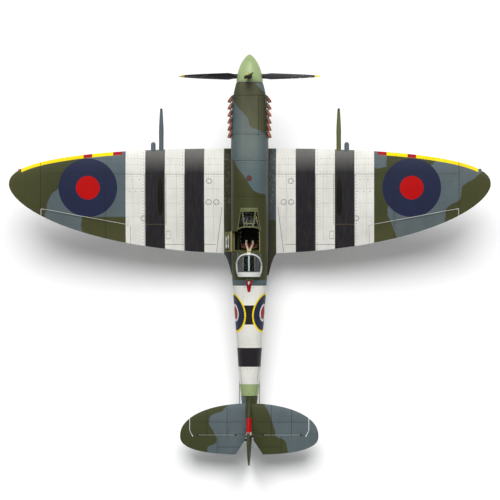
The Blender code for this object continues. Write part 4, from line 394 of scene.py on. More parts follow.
def box(low, high, axes=None, edge=0.0):
    """A block between two corners, with its edges rounded by the given size."""
    low, high = Vector(low), Vector(high)
    shape = bmesh.new()
    bmesh.ops.create_cube(shape, size=1.0)
    for vert in shape.verts:
        vert.co = Vector((low[i] + (high[i] - low[i]) * (vert.co[i] + 0.5) for i in range(3)))
    if edge:
        bmesh.ops.bevel(shape, geom=shape.edges, offset=edge, segments=2, affect="EDGES", profile=0.5)
    if axes is not None:
        bmesh.ops.transform(shape, matrix=axes, verts=shape.verts)
    return shape


def side_box(side, low, high, edge=0.0):
    """A block given for the right side, or its mirror image for the left."""
    near, far = sorted((side * low[0], side * high[0]))
    return box((near, *low[1:]), (far, *high[1:]), edge=edge)


def prism(corners, low, high, upright=False):
    """A block with the given outline in plan, or from the side when upright."""
    if upright:
        return loft([[at(x, y, z) for y, z in corners] for x in (low, high)])
    return loft([[at(x, y, z) for x, y in corners] for z in (low, high)])


def horn_plate(corners, x):
    """A thin upright control horn."""
    return prism(corners, x - HORN_HALF, x + HORN_HALF, upright=True)


def ellipsoid(centre, size, rings=24):
    shape = bmesh.new()
    bmesh.ops.create_uvsphere(shape, u_segments=2 * rings, v_segments=rings, radius=0.5)
    for vert in shape.verts:
        vert.co = Vector(centre) + Vector([vert.co[i] * size[i] for i in range(3)])
    return shape


def ribbon(path, across, width, thickness):
    """A flat strip along a path, with the given direction across it."""
    side = across.normalized() * (width / 2)
    rings = []
    for place, run in zip(path, path_runs(path)):
        up = run.cross(side).normalized() * (thickness / 2)
        rings.append([place - side - up, place + side - up, place + side + up, place - side + up])
    return loft(rings)


def tube(path, radii, bore=0.0, sides=20, flatten=1.0):
    """A pipe along a path, with one radius or one for each place, and an open end where a bore is given."""
    if isinstance(radii, float):
        radii = [radii] * len(path)
    axes = [axes_along((0, 0, 0), run).to_3x3() for run in path_runs(path)]
    rings = list(zip(path, axes, radii))
    if bore:
        rings += [(place, turn, radius - bore) for place, turn, radius in reversed(rings[-3:])]
    steps = round_steps(sides)
    return loft([[place + turn @ at(radius * u * flatten, radius * v, 0) for u, v in steps]
                 for place, turn, radius in rings])


def joined(*shapes):
    """One shape that holds the faces of several."""
    whole = bmesh.new()
    for shape in shapes:
        carrier = bpy.data.meshes.new("carrier")
        bmesh.ops.recalc_face_normals(shape, faces=shape.faces)
        shape.to_mesh(carrier)
        shape.free()
        whole.from_mesh(carrier)
        bpy.data.meshes.remove(carrier)
    return whole


# Pieces
def piece_from(name, shape):
    bmesh.ops.recalc_face_normals(shape, faces=shape.faces)
    mesh = bpy.data.meshes.new(name)
    shape.to_mesh(mesh)
    shape.free()
    piece = bpy.data.objects.new(name, mesh)
    bpy.context.scene.collection.objects.link(piece)
    return piece


def shape_from(piece):
    """The shape of a piece that was made only on the way."""
    shape = bmesh.new()
    shape.from_mesh(piece.data)
    bpy.data.meshes.remove(piece.data)
    return shape


def apply_steps(piece):
    """Turns a piece's modifiers into its mesh."""
    bpy.context.view_layer.update()
    graph = bpy.context.evaluated_depsgraph_get()
    mesh = bpy.data.meshes.new_from_object(piece.evaluated_get(graph))
    old = piece.data
    piece.modifiers.clear()
    piece.data = mesh
    bpy.data.meshes.remove(old)


def combine(piece, operation, *shapes):
    """Cuts a piece with shapes, keeps what lies inside them, or adds them."""
    cutters = [piece_from("cutter", shape) for shape in shapes]
    for cutter in cutters:
        step = piece.modifiers.new("cut", "BOOLEAN")
        step.operation = operation
        step.solver = "EXACT"
        step.object = cutter
    apply_steps(piece)
    for cutter in cutters:
        bpy.data.meshes.remove(cutter.data)


def thicken(piece, wall):
    """Gives an open skin a wall on its inner side."""
    mesh = piece.data
    middle = sum((vert.co for vert in mesh.vertices), Vector()) / len(mesh.vertices)
    if sum(face.normal.dot(face.center - middle) * face.area for face in mesh.polygons) < 0:
        mesh.flip_normals()
    step = piece.modifiers.new("wall", "SOLIDIFY")
    step.thickness = wall
    step.offset = -1.0
    step.use_even_offset = True
    apply_steps(piece)


def walled_piece(name, skin, wall):
    piece = piece_from(name, skin)
    thicken(piece, wall)
    return piece


def trimmed(shapes, cutter, *settings):
    """Shapes with what lies inside a cutter taken off each, as one shape."""
    rest = []
    for shape in shapes:
        piece = piece_from("trimmed", shape)
        combine(piece, "DIFFERENCE", cutter(*settings))
        rest.append(shape_from(piece))
    return joined(*rest)


def add_shapes(piece, *shapes):
    """Adds loose shapes to a piece's mesh."""
    whole = joined(*shapes)
    whole.from_mesh(piece.data)
    whole.to_mesh(piece.data)
    whole.free()


def settle(piece, slot, finish, *nodes, body="airframe", smooth=32):
    """Gives a piece its finish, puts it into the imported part's axes and lets it ride on a body."""
    piece.data.materials.clear()
    piece.data.materials.append(bpy.data.materials[finish])
    piece.data.shade_smooth()
    piece.data.set_sharp_from_angle(angle=math.radians(smooth))
    piece.matrix_world = AIRFRAME
    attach(piece, body)
    if nodes:
        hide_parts(*nodes)
    return piece


def dress(name, shapes, slot, finish, *nodes, body="airframe", smooth=32):
    """Makes a settled piece from one shape or several."""
    shape = joined(*shapes) if isinstance(shapes, (list, tuple)) else shapes
    return settle(piece_from(name, shape), slot, finish, *nodes, body=body, smooth=smooth)


# Fuselage form
def curve_through(rows, at_station, column):
    """The value of one column at a station, on a smooth curve through the rows."""
    stations = [row[0] for row in rows]
    values = [row[column] for row in rows]
    last = len(stations) - 1
    if at_station <= stations[0]:
        return values[0]
    if at_station >= stations[last]:
        return values[last]
    here = bisect.bisect_right(stations, at_station) - 1

    def slope(index):
        low, high = max(index - 1, 0), min(index + 1, last)
        return (values[high] - values[low]) / (stations[high] - stations[low])

    width = stations[here + 1] - stations[here]
    share = (at_station - stations[here]) / width
    rise, back = share * share * (3 - 2 * share), 1 - share
    start_pull = share * back * back * width * slope(here)
    end_pull = -share * share * back * width * slope(here + 1)
    return values[here] * (1 - rise) + values[here + 1] * rise + start_pull + end_pull


def hull_size(y):
    """Half width, top, bottom and middle height of the fuselage at a station."""
    half, top, bottom = (curve_through(HULL_ROWS, y, column) for column in (1, 2, 3))
    return half, top, bottom, (top + bottom) / 2


def hull_point(y, angle, grow=0.0):
    half, top, bottom, middle = hull_size(y)
    side, lift = math.cos(angle), math.sin(angle)
    power = 2 / (HULL_UPPER_FULLNESS if lift >= 0 else HULL_LOWER_FULLNESS)
    reach = (top - middle if lift >= 0 else middle - bottom) + grow
    return at(bulged(side, power) * (half + grow), y, middle + bulged(lift, power) * reach)


def hull_form(front, back, grow=0.0, caps=True, sides=80, step=0.008):
    """A length of the fuselage, solid or, without caps, as a skin."""
    stations = spread(back, front, max(2, round((front - back) / step)))
    angles = [2 * math.pi * index / sides for index in range(sides)]
    return loft([[hull_point(y, angle, grow) for angle in angles] for y in stations], caps=caps)


def hull_half_width(y, z):
    half, top, bottom, middle = hull_size(y)
    power = HULL_UPPER_FULLNESS if z >= middle else HULL_LOWER_FULLNESS
    reach = top - middle if z >= middle else middle - bottom
    return half * (1 - min(1.0, abs(z - middle) / reach) ** power) ** (1 / power)


def hull_top(y, x=0.0):
    half, top, _, middle = hull_size(y)
    share = min(1.0, abs(x) / half) ** HULL_UPPER_FULLNESS
    return middle + (top - middle) * (1 - share) ** (1 / HULL_UPPER_FULLNESS)


# Wing form
def symmetric_form(share):
    """Half thickness of a common wing section, for a full thickness of one fifth."""
    front = 0.2969 * math.sqrt(share) - 0.126 * share
    return front - 0.3516 * share**2 + 0.2843 * share**3 - 0.1036 * share**4


def section_shares(count):
    return [(1 - math.cos(math.pi * step / count)) / 2 for step in range(count + 1)]


def section_form(stations, edges, sides, count):
    """A skin through wing sections, from the ends of each chord and the two skins' points along it."""
    rings = []
    for station in stations:
        pairs = [sides(station, blend(*edges(station), share)) for share in section_shares(count)]
        rings.append([upper for upper, _ in reversed(pairs)] + [lower for _, lower in pairs[1:]])
    return loft(rings)


def wing_base_edges(x):
    share = min(abs(x) / WING_HALF_SPAN, 0.99999)
    front = WING_FRONT_DEPTH * (1 - share**2.5) ** (1 / 2.5)
    back = -WING_BACK_DEPTH * (1 - share**2.1) ** (1 / 1.7)
    return front, back


def wing_fillet(x):
    return within((WING_ROOT_X + FILLET_WIDTH - abs(x)) / FILLET_WIDTH) ** 2


def wing_edges(x):
    front, back = wing_base_edges(x)
    return front, back - FILLET_LENGTH * wing_fillet(x)


def wing_heights(x, y):
    """Lower and upper surface heights at one place in plan."""
    base_front, base_back = wing_base_edges(x)
    front, back = wing_edges(x)
    share = within((front - y) / (front - back))
    thickness = blend(WING_ROOT_THICKNESS, WING_TIP_THICKNESS, min(abs(x) / WING_HALF_SPAN, 1.0))
    chord = base_front - base_back
    half = 5 * thickness * chord * symmetric_form(share) + TRAILING_EDGE / 2 * share
    place = WING_CAMBER_PLACE
    if share < place:
        camber = WING_CAMBER / place**2 * (2 * place * share - share**2)
    else:
        camber = WING_CAMBER / (1 - place) ** 2 * (1 - 2 * place + 2 * place * share - share**2)
    middle = WING_ROOT_Z + max(0.0, abs(x) - WING_ROOT_X) * math.tan(WING_DIHEDRAL) + camber * chord
    raised = FILLET_HEIGHT * wing_fillet(x) * math.sin(math.pi * share**0.8)
    return middle - half, middle + half + raised


def wing_nose(x):
    """The place of the leading edge, with its height."""
    front = wing_edges(x)[0]
    return front, sum(wing_heights(x, front)) / 2


def wing_form(side):
    stations = [WING_INNER_X]
    stations += [WING_ROOT_X + FILLET_WIDTH * share for share in spread(0.0, 1.0, 6)]
    stations += [WING_HALF_SPAN * share for share in spread(0.135, 0.90, 26)]
    tip_gaps = (0.86, 0.7, 0.55, 0.4, 0.28, 0.18, 0.1, 0.04)
    stations += [WING_HALF_SPAN * (1 - 0.1 * gap**2.2) for gap in tip_gaps]

    def skins(x, y):
        low, high = wing_heights(x, y)
        return at(side * x, y, high), at(side * x, y, low)

    return section_form(stations, wing_edges, skins, 22)


def chord_place(x, share):
    return blend(*wing_base_edges(x), share)


def aileron_ends(side):
    """The ends of an aileron's hinge line, with the half thickness of the wing at each."""
    ends = []
    for out, back_share in AILERON_SHARES:
        x = WING_HALF_SPAN * out
        y = chord_place(x, back_share)
        lower, upper = wing_heights(x, y)
        ends += [at(side * x, y, (lower + upper) / 2), (upper - lower) / 2]
    return ends


def aileron_block(side, gap):
    inner, _, outer, _ = aileron_ends(side)
    slope = (outer.y - inner.y) / abs(outer.x - inner.x)
    near, far = inner.x + side * gap, outer.x - side * gap
    back = -2 * WING_BACK_DEPTH
    inner_y, outer_y = inner.y + slope * gap - gap, outer.y - slope * gap - gap
    corners = ((near, inner_y), (far, outer_y), (far, back), (near, back))
    return prism(corners, -WING_BACK_DEPTH, WING_BACK_DEPTH)


def aileron_nose(side, gap):
    inner, inner_half, outer, outer_half = aileron_ends(side)
    along = (outer - inner).normalized() * (HINGE_GAP - gap)
    return rod(inner + along, outer - along, inner_half * NOSE_SHARE + gap, outer_half * NOSE_SHARE + gap)


def flap_front_y(x):
    inner_x, outer_x = FLAP_ENDS_X
    inner, outer = (chord_place(end_x, FLAP_SHARES[0]) for end_x in FLAP_ENDS_X)
    return inner + (outer - inner) * (x - inner_x) / (outer_x - inner_x)


def flap_form(side, gap, below):
    """A plate that follows the wing's lower skin."""
    rings = []
    for x in spread(FLAP_ENDS_X[0] - gap, FLAP_ENDS_X[1] + gap, 24):
        run = spread(flap_front_y(x) + gap, chord_place(x, FLAP_SHARES[1]) - gap, 8)
        floor = [at(side * x, y, wing_heights(x, y)[0]) for y in run]
        rings.append([place - UP * below for place in floor]
                     + [place + UP * (FLAP_THICKNESS + gap) for place in reversed(floor)])
    return loft(rings)


# Tail form
def tail_edges(x):
    share = min(abs(x) / TAIL_HALF_SPAN, 0.99995)
    front = TAIL_TIP_Y + TAIL_FRONT_DEPTH * (1 - share**2.1) ** (1 / 2.1)
    back = TAIL_TIP_Y - TAIL_BACK_DEPTH * (1 - share**2.6) ** (1 / 2.6)
    return front, back


def tail_half_thickness(x, y):
    front, back = tail_edges(x)
    share = within((front - y) / (front - back))
    return 5 * TAIL_THICKNESS * (front - back) * symmetric_form(share) + TRAILING_EDGE / 2 * share


def tail_form():
    outward = [TAIL_HALF_SPAN * share for share in spread(0.05, 0.85, 16)]
    tip_gaps = (0.85, 0.7, 0.55, 0.42, 0.3, 0.2, 0.1, 0.03)
    outward += [TAIL_HALF_SPAN * (1 - 0.15 * gap**2) for gap in tip_gaps]

    def skins(x, y):
        half = tail_half_thickness(x, y)
        return at(x, y, TAILPLANE_Z + half), at(x, y, TAILPLANE_Z - half)

    return section_form([-x for x in reversed(outward)] + [0.0] + outward, tail_edges, skins, 18)


def fin_edges(z):
    return [curve_through(FIN_ROWS, z, column) for column in (1, 2)]


def fin_half_width(y, z):
    front, back = fin_edges(z)
    share = within((front - y) / (front - back))
    width = blend(FIN_ROOT_WIDTH, FIN_TIP_WIDTH, within((z - TAILPLANE_Z) / (FIN_ROWS[-1][0] - TAILPLANE_Z)))
    return 5 * width * symmetric_form(share) + FIN_TRAILING_EDGE / 2 * share


def fin_form(bottom):
    def skins(z, y):
        half = fin_half_width(y, z)
        return at(half, y, z), at(-half, y, z)

    return section_form(spread(bottom, FIN_ROWS[-1][0], 40), fin_edges, skins, 18)


def elevator_block(side, gap):
    """The outline in plan of one elevator half, with the horn balance that takes in the tip."""
    back = TAIL_TIP_Y - 2 * TAIL_BACK_DEPTH
    front = TAIL_TIP_Y + TAIL_FRONT_DEPTH
    hinge = ELEVATOR_Y - gap
    corners = (
        (ELEVATOR_ROOT_X, hinge),
        (BALANCE_X - BALANCE_STEP / 2 + gap, hinge),
        (BALANCE_X + gap, ELEVATOR_Y + BALANCE_STEP),
        (BALANCE_X + gap, front),
        (2 * TAIL_HALF_SPAN, front),
        (2 * TAIL_HALF_SPAN, back),
        (ELEVATOR_CUT_X, back),
        (ELEVATOR_CUT_X, TAIL_TIP_Y - TAIL_BACK_DEPTH),
        (ELEVATOR_ROOT_X, hinge - HINGE_GAP - FIN_ROOT_WIDTH / 2),
    )
    return prism([(side * x, y) for x, y in corners], -TAIL_HALF_SPAN, TAIL_HALF_SPAN)


def elevator_nose(side, gap):
    inner_x, outer_x = ELEVATOR_ROOT_X, BALANCE_X - BALANCE_STEP / 2
    halves = [tail_half_thickness(x, ELEVATOR_Y) * NOSE_SHARE + gap for x in (inner_x, outer_x)]
    ends = [(side * x, ELEVATOR_Y, TAILPLANE_Z) for x in (inner_x - gap, outer_x + gap)]
    return rod(*ends, *halves)


def rudder_block(gap, lip=0.0):
    """The outline from the side that the rudder keeps; the lip moves its hinge side forwards."""
    top, bottom = FIN_ROWS[-1][0] + 0.05, FIN_ROWS[0][0] - 0.05
    front, back = FIN_ROWS[0][1], RUDDER_Y - 2 * TAIL_FRONT_DEPTH
    hinge, balance = RUDDER_Y + lip - gap, RUDDER_BALANCE_Z + gap
    corners = ((hinge, bottom), (hinge, balance), (front, balance), (front, top), (back, top), (back, bottom))
    return prism(corners, -FIN_ROOT_WIDTH, FIN_ROOT_WIDTH, upright=True)


def rudder_nose(gap):
    low, high = FIN_ROWS[0][0], RUDDER_BALANCE_Z
    halves = [fin_half_width(RUDDER_Y, z) * NOSE_SHARE + gap for z in (low, high)]
    return rod((0, RUDDER_Y, low - gap), (0, RUDDER_Y, high + gap), *halves)


# Glazing form
def arch(y, half, foot, top, lean=0.0, steps=40):
    """One arched section of the glazing, on its two feet, with its crown moved forward by the lean."""
    ring = []
    for angle in [math.pi * step / steps for step in range(steps + 1)]:
        rise = abs(math.sin(angle)) ** (2 / ARCH_FULLNESS)
        x = bulged(math.cos(angle), 2 / ARCH_FULLNESS) * half
        ring.append(at(x, y + lean * rise, foot + (top - foot) * rise))
    return ring


def screen_arch(share, grow=0.0):
    """The windscreen runs straight from its lip on the fuselage to the bow."""
    bow_foot = BOW_Y + BOW_LEAN - SCREEN_LEAN
    ring = []
    for end in arch(bow_foot, HOOD_HALF + grow, SCREEN_FOOT_Z, HOOD_TOP_Z + grow, SCREEN_LEAN):
        x = end.x / HOOD_HALF * SCREEN_FRONT_HALF
        start = at(x, SCREEN_FRONT_Y, hull_top(SCREEN_FRONT_Y, x) + SCREEN_LIFT + grow)
        ring.append(start.lerp(end, share))
    return ring


def hood_arch(share, grow=0.0):
    swell = HOOD_BULGE * (1 - (2 * share - 1) ** 2) + grow
    half = HOOD_HALF + swell - HOOD_TAPER * max(0.0, share / 0.4 - 1.5) ** 2
    return arch(HOOD_FRONT_Y - HOOD_LENGTH * share, half, HOOD_RAIL_Z, HOOD_TOP_Z + swell)


def hood_highlight_hoop(share, grow=0.0):
    """A pale hoop inside the front of the hood, which leans back to its feet: a painted reflection that
    stands in for the bright rim reflected by the bulged glass.
    """
    y = HOOD_FRONT_Y - HOOP_LEAN - HOOP_WIDTH * share
    return arch(y, HOOD_HALF + HOOD_BULGE + grow, HOOD_RAIL_Z, HOOD_TOP_Z + HOOD_BULGE / 2 + grow, HOOP_LEAN)


def rear_arch(share, grow=0.0):
    y = blend(HOOD_FRONT_Y - 2 * GLASS, REAR_GLASS_BACK_Y, share)
    half = blend(HOOD_HALF - 2 * GLASS - HOOD_BULGE, REAR_GLASS_BACK_HALF, share)
    crown = blend(HOOD_TOP_Z - 2 * GLASS, hull_top(REAR_GLASS_BACK_Y) + GLASS, share**REAR_GLASS_FALL)
    return arch(y, half + grow, DOOR_BOTTOM_Z, crown + grow)


def arch_band(form, start, end, proud, sink=0.0, reach=HOOD_HALF * 2):
    """A frame strip round the glazing, between two shares of its length and within a reach of its middle."""
    corners = (form(start, proud), form(end, proud), form(end, -sink), form(start, -sink))
    return loft([list(ring) for ring in zip(*corners) if abs(ring[0].x) <= reach])


def arch_point(ring, x):
    """The place on an arch straight above one place across it."""
    for here, after in zip(ring, ring[1:]):
        if after.x <= x <= here.x:
            return here.lerp(after, (here.x - x) / max(here.x - after.x, 1e-9))
    return ring[0] if x > ring[0].x else ring[-1]


def arch_bar(form, path, width, proud):
    """A frame bar along the glazing, through pairs of a share of its length and a place across it."""
    rings = []
    for share, x in path:
        inner, outer = form(share, 0.0), form(share, proud)
        left, right = x - width / 2, x + width / 2
        corners = ((inner, left), (inner, right), (outer, right), (outer, left))
        rings.append([arch_point(ring, side) for ring, side in corners])
    return loft(rings)


# Node formulas
class Value:
    """Something that changes over a surface; signs and methods write the nodes that work with it."""

    def __init__(self, sheet, socket):
        self.sheet = sheet
        self.socket = socket

    def __add__(self, other):
        return self.sheet.math("ADD", self, other)

    def __sub__(self, other):
        return self.sheet.math("SUBTRACT", self, other)

    def __rsub__(self, other):
        return self.sheet.math("SUBTRACT", other, self)

    def __mul__(self, other):
        return self.sheet.math("MULTIPLY", self, other)

    def __truediv__(self, other):
        return self.sheet.math("DIVIDE", self, other)

    def __pow__(self, other):
        return self.sheet.math("POWER", self, other)

    def __and__(self, mask):
        return self * mask

    def __or__(self, mask):
        return self.sheet.math("MAXIMUM", self, mask)

    def __abs__(self):
        return self.sheet.math("ABSOLUTE", self)

    def folded(self, half):
        """Runs up and down between nought and half a period."""
        return self.sheet.math("PINGPONG", self, half)

    def ramp(self, start, end, low=0.0, high=1.0):
        """Goes straight from low to high as this goes from start to end, and is flat beyond."""
        return self.sheet.value("ShaderNodeMapRange", (self, start, end, low, high))

    def over(self, edge, soft=0.0005):
        """One above an edge, which may change over the surface too."""
        if isinstance(edge, Value):
            return (self - edge).ramp(-soft, soft)
        return self.ramp(edge - soft, edge + soft)

    def under(self, edge, soft=0.0005):
        return 1.0 - self.over(edge, soft)

    def band(self, low, high, soft=0.0005):
        return self.over(low, soft) & self.under(high, soft)

    def line(self, place, width):
        """One within half a width of a place."""
        return abs(self - place).under(width / 2, width / 4)

    def lines(self, places, width):
        return either(*[self.line(place, width) for place in places])

    def curve(self, points):
        """A smooth curve through pairs of value and result, in rising order of value."""
        values, results = zip(*points)
        low, high = min(results), max(results)
        node = self.sheet.place("ShaderNodeFloatCurve")
        knots = node.mapping.curves[0].points
        for value, result in points[1:-1]:
            knots.new((value - values[0]) / (values[-1] - values[0]), (result - low) / (high - low))
        knots[0].location = (0.0, (results[0] - low) / (high - low))
        knots[len(points) - 1].location = (1.0, (results[-1] - low) / (high - low))
        node.mapping.update()
        self.sheet.feed(node.inputs["Value"], self.ramp(values[0], values[-1]))
        return Value(self.sheet, node.outputs[0]).ramp(0.0, 1.0, low, high)

    def split(self):
        node = self.sheet.place("ShaderNodeSeparateXYZ")
        self.sheet.feed(node.inputs[0], self)
        return [Value(self.sheet, socket) for socket in node.outputs]

    def scaled(self, x, y, z):
        return self.sheet.value("ShaderNodeVectorMath", (self, (x, y, z)), operation="MULTIPLY")

    def noise(self, scale, detail=3.0, roughness=0.55):
        node = self.sheet.place("ShaderNodeTexNoise")
        inputs = {"Vector": self, "Scale": scale, "Detail": detail, "Roughness": roughness}
        for label, value in inputs.items():
            self.sheet.feed(node.inputs[label], value)
        return Value(self.sheet, node.outputs[0])

    def bump(self, strength, distance):
        node = self.sheet.place("ShaderNodeBump")
        for label, value in (("Strength", strength), ("Distance", distance), ("Height", self)):
            self.sheet.feed(node.inputs[label], value)
        return Value(self.sheet, node.outputs[0])


def either(*masks):
    whole = masks[0]
    for mask in masks[1:]:
        whole = whole | mask
    return whole


class Formula:
    """Places the nodes of one shader tree, where a value may also be a plain number."""

    def __init__(self, tree):
        self.tree = tree

    def place(self, kind, **settings):
        node = self.tree.nodes.new(kind)
        for key, value in settings.items():
            setattr(node, key, value)
        column, row = divmod(len(self.tree.nodes), 12)
        node.location = (column * 200, -row * 180)
        return node

    def feed(self, socket, value):
        if isinstance(value, Value):
            self.tree.links.new(value.socket, socket)
        else:
            socket.default_value = value

    def value(self, kind, values, output=0, **settings):
        """The output of a new node whose inputs take the values in order."""
        node = self.place(kind, **settings)
        for socket, value in zip(node.inputs, values):
            self.feed(socket, value)
        return Value(self, node.outputs[output])

    def math(self, operation, *values, clamp=False):
        return self.value("ShaderNodeMath", values, operation=operation, use_clamp=clamp)

    def reach(self, u, v, centre):
        """The distance in a plane from a centre."""
        place = self.value("ShaderNodeCombineXYZ", (u, v, 0.0))
        return self.value("ShaderNodeVectorMath", (place, (*centre, 0.0)), "Value", operation="DISTANCE")

    def tint(self, base, colour, mask):
        node = self.place("ShaderNodeMix", data_type="RGBA")
        for index, value in ((0, mask), (6, rgba(base)), (7, rgba(colour))):
            self.feed(node.inputs[index], value)
        return Value(self, node.outputs[2])

    def brightened(self, colour, amount):
        node = self.place("ShaderNodeHueSaturation")
        self.feed(node.inputs["Color"], rgba(colour))
        self.feed(node.inputs["Value"], amount)
        return Value(self, node.outputs[0])

    def group(self, name, **values):
        node = self.place("ShaderNodeGroup", node_tree=bpy.data.node_groups[name])
        for label, value in values.items():
            self.feed(node.inputs[label.replace("_", " ")], value)
        return {socket.name: Value(self, socket) for socket in node.outputs}

    def rivets(self, along, across, pitch, size):
        return self.group("rivet_row", Along=along, Across=across, Pitch=pitch, Size=size)["Mask"]

    def ringed(self, colour, reach, paints, shares, soft):
        """Lays a ringed marking over a colour, with its paints and inner radii from the outside in."""
        names = ("Outer", "Second", "Third", "Centre")
        values = {name: rgba(paint) for name, paint in zip(names, paints)}
        values |= {f"{name}_Radius": share for name, share in zip(names[1:], shares)}
        ring = self.group("ringed_marking", Reach=reach, Soft=soft, **values)
        return self.tint(colour, ring["Color"], ring["Mask"])

    def background_rays(self):
        """One for the rays that show the background."""
        rays = self.place("ShaderNodeLightPath").outputs
        kinds = ("Is Camera Ray", "Is Glossy Ray", "Is Transmission Ray")
        return either(*[Value(self, rays[kind]) for kind in kinds])


def rgba(colour):
    """A colour property as four numbers; a value stays as it is."""
    return colour if isinstance(colour, Value) else (*colour[:3], 1.0)


MARKING_OUTPUTS = {"Color": "Color", "Line": "Float", "Rivet": "Float"}


def new_group(name, inputs, outputs):
    tree = bpy.data.node_groups.new(name, "ShaderNodeTree")
    for direction, sockets in (("INPUT", inputs), ("OUTPUT", outputs)):
        for label, kind in sockets.items():
            tree.interface.new_socket(label, in_out=direction, socket_type=f"NodeSocket{kind}")
    sheet = Formula(tree)
    given = {socket.name: Value(sheet, socket) for socket in sheet.place("NodeGroupInput").outputs}
    result = sheet.place("NodeGroupOutput").inputs
    return sheet, given, result


def weathering_group():
    """Fading, grime streaks along the airflow and fine grain, for every painted or moulded finish."""
    f, given, result = new_group(
        "weathering", {"Place": "Vector", "Scale": "Float"},
        {"Fade": "Float", "Grime": "Float", "Grain": "Float"},
    )
    sized = f.place("ShaderNodeVectorMath", operation="SCALE")
    f.feed(sized.inputs[0], given["Place"])
    f.feed(sized.inputs["Scale"], given["Scale"])
    place = Value(f, sized.outputs[0])
    f.feed(result["Fade"], place.noise(11.0, 5.0, 0.6).ramp(0.3, 0.7))
    streaks = place.scaled(90.0, 7.0, 90.0).noise(1.0, 4.0)
    patches = place.noise(24.0, 4.0)
    f.feed(result["Grime"], streaks.ramp(0.45, 0.75) & patches.ramp(0.35, 0.75))
    f.feed(result["Grain"], place.noise(700.0, 2.0))


def rivet_group():
    """A row of small round rivets along a line."""
    inputs = dict.fromkeys(("Along", "Across", "Pitch", "Size"), "Float")
    f, given, result = new_group("rivet_row", inputs, {"Mask": "Float"})
    near = given["Along"].folded(given["Pitch"] * 0.5)
    away = f.reach(near, given["Across"], (0.0, 0.0))
    f.feed(result["Mask"], (away / given["Size"]).ramp(0.55, 0.4))


def ringed_group():
    """Concentric rings of a marking, from the distance to its centre in shares of its outer radius."""
    inner = ("Second", "Third", "Centre")
    inputs = {"Reach": "Float", "Soft": "Float", "Outer": "Color"} | dict.fromkeys(inner, "Color")
    inputs |= {f"{name} Radius": "Float" for name in inner}
    f, given, result = new_group("ringed_marking", inputs, {"Color": "Color", "Mask": "Float"})

    def inside(radius):
        return f.math("ADD", (radius - given["Reach"]) / given["Soft"], 0.5, clamp=True)

    colour = given["Outer"]
    for name in inner:
        colour = f.tint(colour, given[name], inside(given[f"{name} Radius"]))
    f.feed(result["Color"], colour)
    f.feed(result["Mask"], inside(1.0))


# Edges of the grey on the upper wings, tail and nose, as smooth curves in metres
LEFT_WING_EDGE = ((-0.0763, -0.5124), (-0.0325, -0.4985), (-0.0049, -0.4746), (0.0243, -0.4522),
                  (0.0492, -0.4223), (0.0815, -0.3924))
RIGHT_WING_INNER_EDGE = ((-0.1351, 0.3695), (-0.1002, 0.3546), (-0.0679, 0.3421), (-0.0504, 0.3471),
                         (-0.0081, 0.3869), (0.0367, 0.4367), (0.0741, 0.4865))
RIGHT_WING_OUTER_EDGE = ((-0.0952, 0.4865), (-0.0554, 0.4953), (-0.0330, 0.5264), (-0.0081, 0.5289),
                         (0.0193, 0.5647), (0.0492, 0.5986))
LEFT_WING_NOTCH = (-0.419, -0.080)
RIGHT_WING_CORNER = (0.342, 0.044)
LEFT_ROOT_EDGE_Y = -0.140
RIGHT_ROOT_EDGE_Y = -0.088
EDGE_WANDER = 0.004
LEFT_TAIL_EDGE = ((-0.6649, -0.1057), (-0.6515, -0.1014), (-0.6452, -0.0871), (-0.6356, -0.0807),
                  (-0.6090, -0.0924), (-0.5930, -0.0988), (-0.5795, -0.0977), (-0.5705, -0.0897),
                  (-0.5619, -0.0685), (-0.5492, -0.0588))
RIGHT_TAIL_EDGE = ((-0.6680, 0.0956), (-0.6356, 0.0881), (-0.6256, 0.0682), (-0.5858, 0.0558),
                   (-0.5434, 0.0359))
NOSE_FRONT_EDGE = ((-0.0393, 0.2016), (-0.0281, 0.1842), (-0.0139, 0.1729), (-0.0045, 0.1637),
                   (0.0020, 0.1463), (0.0194, 0.1348), (0.0321, 0.1239), (0.0440, 0.1050))
NOSE_BACK_EDGE = ((-0.0376, 0.0492), (-0.0214, 0.0317), (-0.0090, 0.0168), (0.0077, -0.0081),
                  (0.0244, -0.0230), (0.0398, -0.0355), (0.0423, -0.0554), (0.0446, -0.0977))
BELLY_EDGE = ((-0.63, 0.0), (-0.45, -0.012), (-0.2, -0.040), (0.0, -0.044), (0.15, -0.030), (0.253, -0.016))
PAINT_EDGE = 0.0012

# Panel lines, covers, fasteners and gun patches of the wings
SPAR_LINE_Y = 0.0268
OUTER_RIB_X = 0.521
RIB_LINES_X = (0.164, 0.262, 0.36)
FAINT_RIBS_X = (0.0914, 0.183, 0.2915)
FAINT_STRINGERS_Y = (-0.0094, -0.0803)
GUN_PANELS_X = (0.3887, 0.4166)
GUN_PATCHES_X = ((0.319, 0.341), (0.393, 0.4145))
RIVET_ROWS_Y = (0.0654, 0.0507, 0.0215, 0.0320, -0.0457)
RIVET_ROWS_X = (0.160, 0.168, 0.258, 0.266, 0.356, 0.364)
BAY_X = 0.2095
BAY_Y = -0.0985
BAY_DOOR = (0.204, -0.125)
COVER_SPOTS = ((0.102, 0.0097), (0.103, -0.043), (0.084, -0.043), (0.265, -0.0835))
COVER_RADIUS = 0.0068
COVER_FASTENERS = 5
FASTENER_SPOTS = ((0.2746, 0.0132), (0.2948, 0.0132), (0.2688, -0.0166), (0.2842, -0.0166), (0.2996, -0.0166))

# Panel lines and rivets of the fuselage and tail
FRAME_LINES_Y = (HATCH_FRONT_Y, 0.125, -0.030, -0.250, -0.330, -0.452, -0.5255)
FRAME_RIVETS_Y = (0.212, 0.130, 0.066, 0.054, -0.025, -0.255, -0.335, -0.457, -0.519)
TAIL_RIBS_X = (0.055, 0.105)
TAIL_RIVETS_Y = (-0.586, -0.618)
TAB_X = 0.0795
FIN_SIDE_X = 0.016


